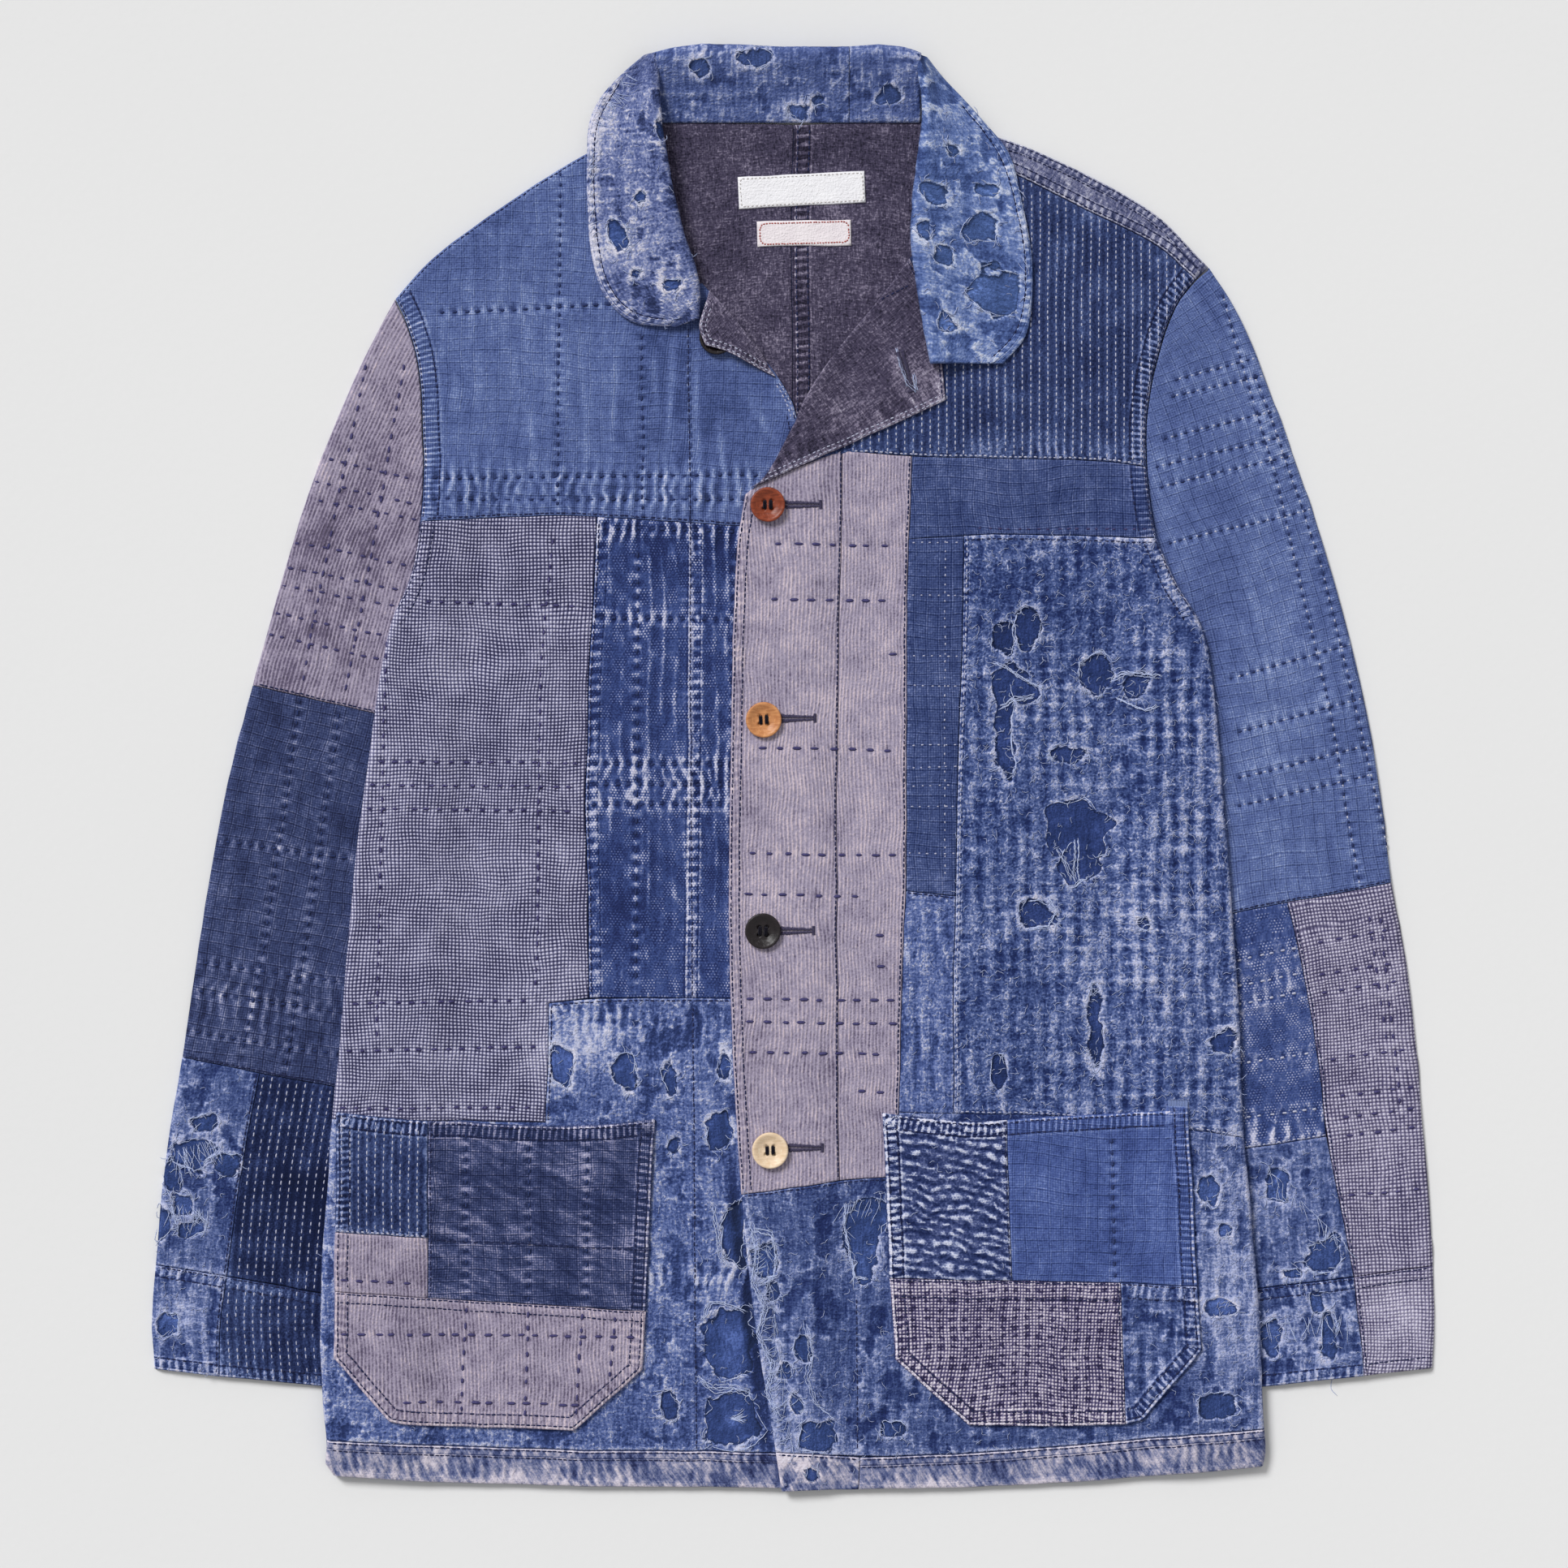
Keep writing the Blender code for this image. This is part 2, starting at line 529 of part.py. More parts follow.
def ring_solid(name, cloth, outer, inner, closed):
    """Joins rings into a wall: outer and inner are lists of rings with the same counts."""
    rows = len(outer)
    count = len(outer[0])
    vertices = [p for ring in outer for p in ring] + [p for ring in inner for p in ring]
    shift = rows * count
    faces = []
    spans = count if closed else count - 1
    for r in range(rows - 1):
        for k in range(spans):
            a = r * count + k
            b = r * count + (k + 1) % count
            faces.append([a, b, b + count, a + count])
            faces.append([a + shift, a + count + shift, b + count + shift, b + shift])
    for r in (0, rows - 1):
        for k in range(spans):
            a = r * count + k
            b = r * count + (k + 1) % count
            faces.append([a, b, b + shift, a + shift])
    if not closed:
        for r in range(rows - 1):
            for k in (0, count - 1):
                a = r * count + k
                faces.append([a, a + count, a + count + shift, a + shift])
    colour, roughness = CLOTHS[cloth]
    return add_object(name, vertices, faces, colour, roughness)


def along(points, share):
    """Point at a share of a polyline's length."""
    lengths = [math.dist(a, b) for a, b in zip(points, points[1:])]
    target = share * sum(lengths)
    for (a, b), length in zip(zip(points, points[1:]), lengths):
        if target <= length or (a, b) == (points[-2], points[-1]):
            t = min(1.0, target / length)
            return tuple(a[k] + (b[k] - a[k]) * t for k in range(len(a)))
        target -= length
    return points[-1]


def point_shares(points):
    """Share of the length at each point of a polyline."""
    lengths = [math.dist(a, b) for a, b in zip(points, points[1:])]
    return [sum(lengths[:k]) / sum(lengths) for k in range(len(points))]


def moved_out(points, distance):
    """Moves an open polyline to its right-hand side, seen in its direction of travel."""
    result = []
    for k, here in enumerate(points):
        before = Vector(points[max(0, k - 1)])
        after = Vector(points[min(len(points) - 1, k + 1)])
        runs = [(Vector(here) - before), (after - Vector(here))]
        runs = [run.normalized() for run in runs if run.length > 0]
        normal = sum([Vector((run.y, -run.x)) for run in runs], Vector((0.0, 0.0))).normalized()
        reach = distance / max(0.35, normal.dot(Vector((runs[0].y, -runs[0].x))))
        result.append(tuple(Vector(here) + normal * reach))
    return result


def coons(start, end, outer, inner, rows):
    """Grid between four edge curves: rows run down the sleeve, columns follow the armhole's points."""
    grid = []
    shares = point_shares(start)
    for r in range(rows + 1):
        t = r / rows
        line = []
        for c, u in enumerate(shares):
            a, b = along(start, u), along(end, u)
            o, i = along(outer, t), along(inner, t)
            point = []
            for k in range(2):
                ruled = (1 - t) * a[k] + t * b[k] + (1 - u) * o[k] + u * i[k]
                corners = (1 - t) * ((1 - u) * start[0][k] + u * start[-1][k])
                corners += t * ((1 - u) * end[0][k] + u * end[-1][k])
                point.append(ruled - corners)
            line.append(start[c] if r == 0 else tuple(point))
        grid.append(line)
    return grid


def lines_grid(rows, columns):
    """Grid between outer and inner ends given row by row."""
    grid = []
    for row in rows:
        ox, oy, ix, iy = row[:4]
        grid.append([(ox + (ix - ox) * c / columns, oy + (iy - oy) * c / columns) for c in range(columns + 1)])
    return grid


SWELL = [(0.0, 0.0), (0.12, 0.75), (0.30, 1.3), (0.50, 1.1), (0.66, 0.35), (0.74, 0.0), (1.0, 0.0)]


def swell(u):
    """Soft fullness of the visible outer part of a sleeve, nothing under the body."""
    return along([(a, b) for a, b in SWELL], 0.0)[1] if u <= 0 else table_value(SWELL, u)


def table_value(rows, key):
    for (k0, v0), (k1, v1) in zip(rows, rows[1:]):
        if key <= k1:
            return v0 + (v1 - v0) * (key - k0) / (k1 - k0)
    return rows[-1][1]


def shrink_ends(grid, first, last):
    """Moves the end rows by half a seam so that neighbours do not touch."""
    result = [list(line) for line in grid]
    for end, inner_row, distance in ((0, 1, first), (len(grid) - 1, len(grid) - 2, last)):
        for c, point in enumerate(result[end]):
            other = grid[inner_row][c]
            length = max(1e-6, math.dist(point, other))
            result[end][c] = tuple(point[k] + (other[k] - point[k]) * distance / length for k in range(2))
    return result


def sleeve_ring(line, fullness, wall_in):
    """One flattened ring: over the top from outer to inner fold, back along the floor."""
    count = len(line)
    half = SLEEVE_FLAT / 2.0
    across = Vector(line[-1]) - Vector(line[0])
    across.normalize()
    ring = []
    fold = 1.6
    first = Vector(line[0]) + across * (0.15 + wall_in)
    last = Vector(line[-1]) - across * (0.15 + wall_in)
    ring.append((first.x, first.y, half))
    shift = fold
    shares = point_shares(line)
    for c, u in enumerate(shares):
        base = Vector(line[c])
        if c == 0:
            base = Vector(line[0]) + across * (shift + wall_in)
        if c == count - 1:
            base = Vector(line[-1]) - across * (shift + wall_in)
        ring.append((base.x, base.y, SLEEVE_FLAT - wall_in + fullness * swell(u)))
    ring.append((last.x, last.y, half))
    for c in reversed(range(count)):
        base = Vector(line[c])
        if c == 0:
            base = Vector(line[0]) + across * (shift + wall_in)
        if c == count - 1:
            base = Vector(line[-1]) - across * (shift + wall_in)
        ring.append((base.x, base.y, wall_in))
    return ring


def tube(name, cloth, grid, fullness, first=SEAM / 2.0):
    """A whole sleeve section."""
    grid = shrink_ends(grid, first, SEAM / 2.0)
    outer = [sleeve_ring(line, f, 0.0) for line, f in zip(grid, fullness)]
    inner = [sleeve_ring(line, f, SLEEVE_WALL) for line, f in zip(grid, fullness)]
    return ring_solid(name, cloth, outer, inner, True)


def share_line(line, start, end, columns):
    """Part of a cross line between two shares of its width."""
    return [
        tuple(line[0][k] + (line[-1][k] - line[0][k]) * (start + (end - start) * c / columns) for k in range(2))
        for c in range(columns + 1)
    ]


def split_tube(outer_name, outer_cloth, inner_name, inner_cloth, rows, fullness):
    """A sleeve section of two cloths: the outer one wraps round underneath to the inner fold."""
    grid = shrink_ends([[(r[0], r[1]), (r[2], r[3])] for r in rows], SEAM / 2.0, SEAM / 2.0)
    shares = [r[4] for r in rows]
    half = SLEEVE_FLAT / 2.0
    wrap_out = []
    wrap_in = []
    top_low = []
    top_high = []
    for line, share, full in zip(grid, shares, fullness):
        width = math.dist(line[0], line[-1])
        slit = SEAM / 2.0 / width
        across = (Vector(line[-1]) - Vector(line[0])).normalized()
        for wall, target in ((0.0, wrap_out), (SLEEVE_WALL, wrap_in)):
            ring = []
            tops = share_line(line, share - slit, (1.6 + wall) / width, 3)
            for x, y in tops:
                u = math.dist(line[0], (x, y)) / width
                ring.append((x, y, SLEEVE_FLAT - wall + full * swell(u)))
            first = Vector(line[0]) + across * (0.15 + wall)
            ring.append((first.x, first.y, half))
            for x, y in share_line(line, (1.6 + wall) / width, 1.0 - (1.6 + wall) / width, 4):
                ring.append((x, y, wall))
            last = Vector(line[-1]) - across * (0.15 + wall)
            ring.append((last.x, last.y, half))
            end = Vector(line[-1]) - across * (1.6 + wall)
            ring.append((end.x, end.y, SLEEVE_FLAT - wall))
            target.append(ring)
        high = []
        low = []
        for x, y in share_line(line, share + slit, 1.0 - 3.4 / width, 4):
            u = math.dist(line[0], (x, y)) / width
            z = SLEEVE_FLAT + full * swell(u)
            high.append((x, y, z))
            low.append((x, y, z - SLEEVE_WALL))
        top_high.append(high)
        top_low.append(low)
    ring_solid(outer_name, outer_cloth, wrap_out, wrap_in, False)
    ring_solid(inner_name, inner_cloth, top_high, top_low, False)


# ---------------------------------------------------------------- collar
def thick_strip(section, thickness):
    """Both faces of a folded strip from its middle line (points in the section plane)."""
    left = []
    right = []
    count = len(section)
    for k, (s, z) in enumerate(section):
        before = Vector(section[max(0, k - 1)])
        after = Vector(section[min(count - 1, k + 1)])
        run = (after - before).normalized()
        normal = Vector((-run.y, run.x))
        left.append((s + normal.x * thickness / 2.0, z + normal.y * thickness / 2.0))
        right.append((s - normal.x * thickness / 2.0, z - normal.y * thickness / 2.0))
    return left, right


def wing_section(width, outer_z, roll_z, foot_z):
    """Middle line from the outer edge over the roll to the foot of the stand."""
    foot = min(10.0, 0.55 * width)
    rise = roll_z - outer_z
    return [
        (width - 0.2, outer_z), (0.72 * width, outer_z + 0.10 * rise), (0.42 * width, outer_z + 0.42 * rise),
        (0.18 * width, outer_z + 0.84 * rise), (min(1.6, 0.1 * width), roll_z), (-0.6, roll_z - 1.6),
        (0.2, roll_z - 3.6), (0.45 * foot, (roll_z - 3.6 + foot_z) / 2.0 + 0.2), (foot, foot_z),
    ]


def collar_wing(name, cloth, rows):
    left_rings = []
    right_rings = []
    for row in rows:
        ox, oy, oz, rx, ry, rz, fz = row
        width = math.hypot(ox - rx, oy - ry)
        ux, uy = (ox - rx) / width, (oy - ry) / width
        thickness = min(COLLAR, 0.2 * width + 0.5)
        left, right = thick_strip(wing_section(width, oz, rz, fz), thickness)
        left_rings.append([(rx + ux * s, ry + uy * s, z) for s, z in left])
        right_rings.append([(rx + ux * s, ry + uy * s, z) for s, z in right])
    ring_solid(name, cloth, left_rings, right_rings, False)


def collar_back(name, cloth, start, end, count):
    left_rings = []
    right_rings = []
    left, right = thick_strip(COLLAR_SECTION, COLLAR)
    for k in range(count + 1):
        share = k / count
        x = start + (end - start) * share
        wave = table_value(COLLAR_BACK_WAVE, x)
        for source, target in ((left, left_rings), (right, right_rings)):
            target.append([(x, y + wave * ramp(y, 370.0, 390.0), z) for y, z in source])
    ring_solid(name, cloth, left_rings, right_rings, False)


# ---------------------------------------------------------------- buttons
BUTTON_PROFILE = [
    # share of the radius, height in mm
    (0.00, 1.5), (0.46, 1.5), (0.60, 1.9), (0.74, 2.7), (0.86, 3.3), (0.94, 3.4), (0.99, 2.9), (1.00, 2.0),
    (0.93, 0.9), (0.72, 0.1), (0.00, 0.0),
]


def button(name, x, y, z, size, colour):
    """Turned button: dished face, round rim, four sewing holes."""
    radius = BUTTON_R * size
    sides = 28
    vertices = []
    faces = []
    rows = []
    for share, height in BUTTON_PROFILE:
        if share == 0.0:
            rows.append([len(vertices)])
            vertices.append((x, y, z + height))
            continue
        row = []
        for k in range(sides):
            angle = 2 * math.pi * k / sides
            row.append(len(vertices))
            vertices.append((x + radius * share * math.cos(angle), y + radius * share * math.sin(angle), z + height))
        rows.append(row)
    for upper, lower in zip(rows, rows[1:]):
        for k in range(sides):
            n = (k + 1) % sides
            if len(upper) == 1:
                faces.append([upper[0], lower[k], lower[n]])
            elif len(lower) == 1:
                faces.append([upper[k], lower[0], upper[n]])
            else:
                faces.append([upper[k], lower[k], lower[n], upper[n]])
    made = add_object(name, vertices, faces, colour, 0.32)
    for dx, dy in ((-1.9, -1.9), (1.9, -1.9), (1.9, 1.9), (-1.9, 1.9)):
        place = ((x + dx + CENTRE_X) * MM, (y + dy + CENTRE_Y) * MM, (z + 1.0) * MM)
        bpy.ops.mesh.primitive_cylinder_add(vertices=10, radius=0.95 * MM, depth=8.0 * MM, location=place)
        cutter = bpy.context.active_object
        cutter.name = "cutter_hole"
        cutter.hide_render = True
        cutter.display_type = "WIRE"
        cut = made.modifiers.new("hole", "BOOLEAN")
        cut.operation = "DIFFERENCE"
        cut.solver = "EXACT"
        cut.object = cutter
        bpy.context.view_layer.objects.active = made
        bpy.ops.object.modifier_apply(modifier=cut.name)
        bpy.data.objects.remove(cutter, do_unlink=True)
    return made


def tilted_rectangle(cx, cy, width, height, degrees):
    angle = math.radians(degrees)
    points = []
    for sx, sy in ((-1, -1), (1, -1), (1, 1), (-1, 1)):
        dx, dy = sx * width / 2.0, sy * height / 2.0
        points.append((cx + dx * math.cos(angle) - dy * math.sin(angle), cy + dx * math.sin(angle) + dy * math.cos(angle)))
    return points


# ---------------------------------------------------------------- build
def build():
    for found in list(bpy.data.objects):
        bpy.data.objects.remove(found, do_unlink=True)

    # back and lining
    back_neck = [(-82, 349), (-60, 350.5), (0, 350), (60, 350.5), (80, 350)]
    right_back = [RIGHT_SHOULDER, RIGHT_ARMHOLE, RIGHT_UNDERARM, RIGHT_SIDE, RIGHT_SIDE_LOW, RIGHT_SIDE_HEM]
    left_back = [LEFT_SHOULDER, LEFT_ARMHOLE_TOP, LEFT_ARMHOLE, LEFT_ARMHOLE_LOW, LEFT_UNDERARM, LEFT_SIDE,
                 LEFT_SIDE_LOW, LEFT_SIDE_HEM]
    back_hem = [(-250, -383.5), (-190, -388), (-117, -389.2), (0, -390), (94, -389), (177, -385.7), (254.5, -378.5)]
    outline = loop(back_neck, *left_back, back_hem, *right_back[::-1])
    panel("back_panel", "ripstop_blue", outline, back_bottom, spacing=38.0, step=34.0)
    lining_right = [(-1, 346.5), (-72, 347.5), (-84, 330), (-76, 270), (-60, 235), (-20, 185), (-1, 170)]
    lining_left = [(-1, 346.5), (-1, 170), (20, 185), (50, 225), (74, 262), (84, 300), (86, 330), (70, 348)]
    panel("back_lining_right", "charcoal", lining_right, lining_bottom, thickness=LINING)
    panel("back_lining_left", "charcoal", lining_left, lining_bottom, thickness=LINING)

    # right front, the one with the buttons
    panel("right_front_upper", "ripstop_light",
          loop(RIGHT_SHOULDER, RIGHT_ARMHOLE, RIGHT_CHEST_SEAM, RIGHT_EDGE_TOP, RIGHT_ROLL, RIGHT_NECK), front_bottom)
    chest_a = RIGHT_CHEST_SEAM[:3]
    chest_b = RIGHT_CHEST_SEAM[2:]
    panel("right_front_gingham", "gingham",
          loop(chest_a, RIGHT_STRIP_SEAM, RIGHT_STEP_SEAM, RIGHT_POCKET_SEAM, RIGHT_SIDE, RIGHT_UNDERARM),
          front_bottom)
    panel("right_front_dobby", "dobby", loop(chest_b, RIGHT_STAND, RIGHT_WAIST_SEAM, RIGHT_STRIP_SEAM), front_bottom)
    panel("right_front_lower", "boro_light",
          loop(RIGHT_WAIST_SEAM, RIGHT_STAND_LOW, RIGHT_HEM_SEAM, RIGHT_SIDE_LOW, RIGHT_POCKET_SEAM, RIGHT_STEP_SEAM),
          front_bottom)
    panel("right_front_hem", "hem", loop(RIGHT_HEM_SEAM, RIGHT_STAND_HEM, RIGHT_HEM_EDGE, RIGHT_SIDE_HEM), front_bottom)
    panel("right_lapel", "charcoal", loop(RIGHT_LAPEL_EDGE, RIGHT_LAPEL_ROLL), right_lapel_bottom, thickness=1.4)

    # right pocket
    panel("right_pocket_sashiko", "sashiko",
          loop(RIGHT_POCKET_TOP_A, RIGHT_POCKET_SPLIT[:2], RIGHT_POCKET_STEP, RIGHT_POCKET_OUTER_A), on_front)
    panel("right_pocket_ripstop", "ripstop_dark",
          loop(RIGHT_POCKET_TOP_B, RIGHT_POCKET_INNER, RIGHT_POCKET_SEAM_D, RIGHT_POCKET_SPLIT), on_front)
    panel("right_pocket_stripe_upper", "stripe",
          loop(RIGHT_POCKET_STEP, RIGHT_POCKET_SPLIT[1:], RIGHT_POCKET_SEAM_C, RIGHT_POCKET_OUTER_C), on_front)
    panel("right_pocket_stripe_lower", "stripe",
          loop(RIGHT_POCKET_SEAM_C, RIGHT_POCKET_SEAM_D, RIGHT_POCKET_END), on_front)

    # left front, the one with the buttonholes
    panel("left_front_yoke", "sashiko",
          loop(LEFT_BAND_SEAM, LEFT_ARMHOLE, LEFT_YOKE_SEAM, LEFT_YOKE_FRONT, LEFT_YOKE_HIDDEN, LEFT_ROLL[:6],
               LEFT_NECK[1:]), top_front_bottom)
    panel("left_shoulder_band", "slate",
          loop(LEFT_SHOULDER, LEFT_ARMHOLE_TOP, LEFT_BAND_SEAM, LEFT_NECK[:2]), top_front_bottom)
    panel("left_placket_edge", "stripe",
          loop(LEFT_YOKE_HIDDEN, LEFT_PLACKET_LINE, LEFT_PLACKET_END, LEFT_EDGE, LEFT_ROLL[5:]), top_front_bottom)
    panel("left_placket_inner", "stripe",
          loop(LEFT_YOKE_FRONT, LEFT_PLACKET_SIDE, LEFT_PLACKET_LOW, LEFT_PLACKET_TAIL, LEFT_PLACKET_END_2,
               LEFT_PLACKET_LINE), top_front_bottom)
    panel("left_front_ripstop_top", "ripstop_blue",
          loop(LEFT_YOKE_SEAM, LEFT_ARMHOLE_LOW, LEFT_PATCH_TOP, [(92, 126.5), (62.5, 125)], LEFT_PLACKET_SIDE[:2]),
          top_front_bottom)
    panel("left_front_ripstop_side", "ripstop_blue",
          loop([(62.5, 125), (92, 126.5)], LEFT_PATCH_SIDE, LEFT_STRIP_TOP, LEFT_PLACKET_SIDE[1:]), top_front_bottom)
    panel("left_front_worn_strip", "boro_light",
          loop(LEFT_STRIP_TOP, LEFT_PATCH_SIDE_LOW, LEFT_STRIP_END, LEFT_PLACKET_LOW), top_front_bottom)
    panel("left_front_boro", "boro_deep",
          loop(LEFT_PATCH_TOP, LEFT_UNDERARM, LEFT_SIDE, LEFT_PATCH_END, LEFT_PATCH_SIDE_LOW, LEFT_PATCH_SIDE),
          top_front_bottom)
    panel("left_front_lower", "boro",
          loop(LEFT_PLACKET_END, LEFT_PLACKET_END_2, LEFT_PLACKET_TAIL, LEFT_STRIP_END, LEFT_PATCH_END,
               LEFT_SIDE_LOW, LEFT_HEM_SEAM, LEFT_HEM_SEAM_END, LEFT_EDGE_LOW), top_front_bottom)
    panel("left_front_hem", "hem", loop(LEFT_HEM_SEAM, LEFT_SIDE_HEM, LEFT_HEM_EDGE, LEFT_HEM_SPLIT),
          top_front_bottom)
    panel("left_hem_end", "stripe", loop(LEFT_HEM_SEAM_END, LEFT_HEM_SPLIT, LEFT_HEM_EDGE_END, LEFT_EDGE_HEM),
          top_front_bottom)
    panel("left_lapel", "charcoal", loop(LEFT_LAPEL_ROLL, LEFT_LAPEL_EDGE), left_lapel_bottom, thickness=1.6)

    # left pocket
    panel("left_pocket_checker", "sashiko",
          loop(LEFT_POCKET_TOP_A, LEFT_POCKET_SPLIT, LEFT_POCKET_MIDDLE_A, LEFT_POCKET_INNER), on_front_left)
    panel("left_pocket_ripstop", "ripstop_blue",
          loop(LEFT_POCKET_TOP_B, LEFT_POCKET_OUTER, LEFT_POCKET_MIDDLE_D, LEFT_POCKET_MIDDLE_B, LEFT_POCKET_SPLIT),
          on_front_left)
    panel("left_pocket_gingham", "gingham_coarse",
          loop(LEFT_POCKET_MIDDLE_A, LEFT_POCKET_MIDDLE_B, LEFT_POCKET_SPLIT_LOW, LEFT_POCKET_END_C), on_front_left)
    panel("left_pocket_boro", "boro",
          loop(LEFT_POCKET_MIDDLE_D, LEFT_POCKET_END_D, LEFT_POCKET_SPLIT_LOW), on_front_left)

    # sleeves
    cap_line = moved_out(RIGHT_SLEEVE_CAP, SEAM / 2.0)
    cap = coons(cap_line, [(-294, 45.5), (-208, 26)], RIGHT_SLEEVE_CAP_OUTER, RIGHT_SLEEVE_CAP_INNER, 7)
    tube("right_sleeve_upper", "stripe", cap, [0.15, 0.7, 1.0, 1.0, 1.0, 1.0, 1.0, 1.0], 0.0)
    tube("right_sleeve_middle", "ripstop_dark", lines_grid(RIGHT_SLEEVE_MIDDLE, 5), [1.0] * 5)
    split_tube("right_sleeve_boro", "boro", "right_sleeve_sashiko", "sashiko", RIGHT_SLEEVE_LOWER, [1.0] * 4)
    split_tube("right_cuff_boro", "boro", "right_cuff_sashiko", "sashiko", RIGHT_CUFF, [1.0] * 3)
    cap_line = moved_out(LEFT_SLEEVE_CAP, -SEAM / 2.0)
    cap = coons(cap_line, [(324.5, -62), (208, -84)], LEFT_SLEEVE_CAP_OUTER, LEFT_SLEEVE_CAP_INNER, 10)
    tube("left_sleeve_upper", "ripstop_light", cap, [0.15, 0.7] + [1.0] * 9, 0.0)
    rows_a = LEFT_SLEEVE_LOWER_A
    rows_b = LEFT_SLEEVE_LOWER_B
    left_lower(rows_a, rows_b)
    split_tube("left_cuff_gingham", "gingham", "left_cuff_boro", "boro_light", LEFT_CUFF, [1.0] * 3)

    # collar
    collar_back("collar_back_right", "boro_light", -72.6, 29.85, 4)
    collar_back("collar_back_left", "boro_light", 30.15, 65.0, 2)
    collar_wing("collar_wing_right", "boro_light", RIGHT_WING)
    collar_wing("collar_wing_left", "boro_light", LEFT_WING)

    # labels and buttons
    panel("label_main", "label", tilted_rectangle(4.2, 314.5, 69.0, 17.5, 3.0), on_lining, thickness=1.0)
    panel("label_small", "label", tilted_rectangle(5.6, 291.0, 51.0, 14.0, 1.6), on_lining, thickness=1.0)
    for name, x, y, z, size, colour in BUTTONS:
        button(name, x, y, z, size, colour)


def on_front_left(x, y):
    return top_front_bottom(x, y) + CLOTH + LAY


def left_lower(rows_a, rows_b):
    """Lower left sleeve: one long gingham piece outside, dobby above boro inside."""
    rows = rows_a + rows_b[1:]
    grid = shrink_ends([[(r[0], r[1]), (r[2], r[3])] for r in rows], SEAM / 2.0, SEAM / 2.0)
    shares = [r[4] for r in rows]
    moved = [(g[0][0], g[0][1], g[1][0], g[1][1], s) for g, s in zip(grid, shares)]
    half = SLEEVE_FLAT / 2.0
    wrap_out = []
    wrap_in = []
    tops = []
    for ox, oy, ix, iy, share in moved:
        line = [(ox, oy), (ix, iy)]
        width = math.dist(line[0], line[1])
        slit = SEAM / 2.0 / width
        across = (Vector(line[1]) - Vector(line[0])).normalized()
        for wall, target in ((0.0, wrap_out), (SLEEVE_WALL, wrap_in)):
            ring = []
            for x, y in share_line(line, share - slit, (1.6 + wall) / width, 3):
                u = math.dist(line[0], (x, y)) / width
                ring.append((x, y, SLEEVE_FLAT - wall + swell(u)))
            first = Vector(line[0]) + across * (0.15 + wall)
            ring.append((first.x, first.y, half))
            for x, y in share_line(line, (1.6 + wall) / width, 1.0 - (1.6 + wall) / width, 4):
                ring.append((x, y, wall))
            last = Vector(line[1]) - across * (0.15 + wall)
            ring.append((last.x, last.y, half))
            end = Vector(line[1]) - across * (1.6 + wall)
            ring.append((end.x, end.y, SLEEVE_FLAT - wall))
            target.append(ring)
        tops.append(share_line(line, share + slit, 1.0 - 3.4 / width, 4))
    ring_solid("left_sleeve_gingham", "gingham", wrap_out, wrap_in, False)
    cut = len(rows_a) - 1
    for name, cloth, part in (("left_sleeve_dobby", "dobby", range(0, cut + 1)),
                              ("left_sleeve_boro", "boro_light", range(cut, len(rows)))):
        lines = [tops[r] for r in part]
        if name == "left_sleeve_dobby":
            lines = shrink_ends(lines, 0.0, SEAM / 2.0)
        else:
            lines = shrink_ends(lines, SEAM / 2.0, 0.0)
        high = []
        low = []
        for line, r in zip(lines, part):
            start = (moved[r][0], moved[r][1])
            width = math.dist(start, (moved[r][2], moved[r][3]))
            heights = [SLEEVE_FLAT + swell(math.dist(start, p) / width) for p in line]
            high.append([(p[0], p[1], z) for p, z in zip(line, heights)])
            low.append([(p[0], p[1], z - SLEEVE_WALL) for p, z in zip(line, heights)])
        ring_solid(name, cloth, high, low, False)


build()
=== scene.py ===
"""Looks of a patched boro work jacket, laid face up on a pale floor.

Lengths are in millimetres on the jacket: x from the sewn centre line towards the wearer's left
sleeve, y from hem to collar, z up from the floor. Meshes are moved to the row frame, in metres,
when they are made. Each cut piece is a thin sheet on the outline of its CAD node.
"""

import json
import math
from collections import namedtuple

import bpy
import numpy as np
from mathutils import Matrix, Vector
from mathutils.bvhtree import BVHTree
from mathutils.geometry import delaunay_2d_cdt


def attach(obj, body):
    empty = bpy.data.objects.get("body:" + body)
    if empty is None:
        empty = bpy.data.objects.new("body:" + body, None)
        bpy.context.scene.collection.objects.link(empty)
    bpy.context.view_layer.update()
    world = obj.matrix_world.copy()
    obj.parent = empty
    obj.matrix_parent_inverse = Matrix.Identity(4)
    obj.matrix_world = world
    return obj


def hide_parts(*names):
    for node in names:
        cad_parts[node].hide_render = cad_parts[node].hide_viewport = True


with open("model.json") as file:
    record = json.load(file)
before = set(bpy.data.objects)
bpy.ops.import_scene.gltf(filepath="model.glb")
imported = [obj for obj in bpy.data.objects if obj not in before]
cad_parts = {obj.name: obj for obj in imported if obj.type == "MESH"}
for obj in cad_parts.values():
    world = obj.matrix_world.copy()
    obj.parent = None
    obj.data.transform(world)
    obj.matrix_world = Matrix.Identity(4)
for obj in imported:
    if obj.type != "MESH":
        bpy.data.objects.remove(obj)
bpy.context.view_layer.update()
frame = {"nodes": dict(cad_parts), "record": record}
nodes = frame["nodes"]
slot_of = {part["node"]: part["material_slot"] for part in frame["record"]["subparts"]}

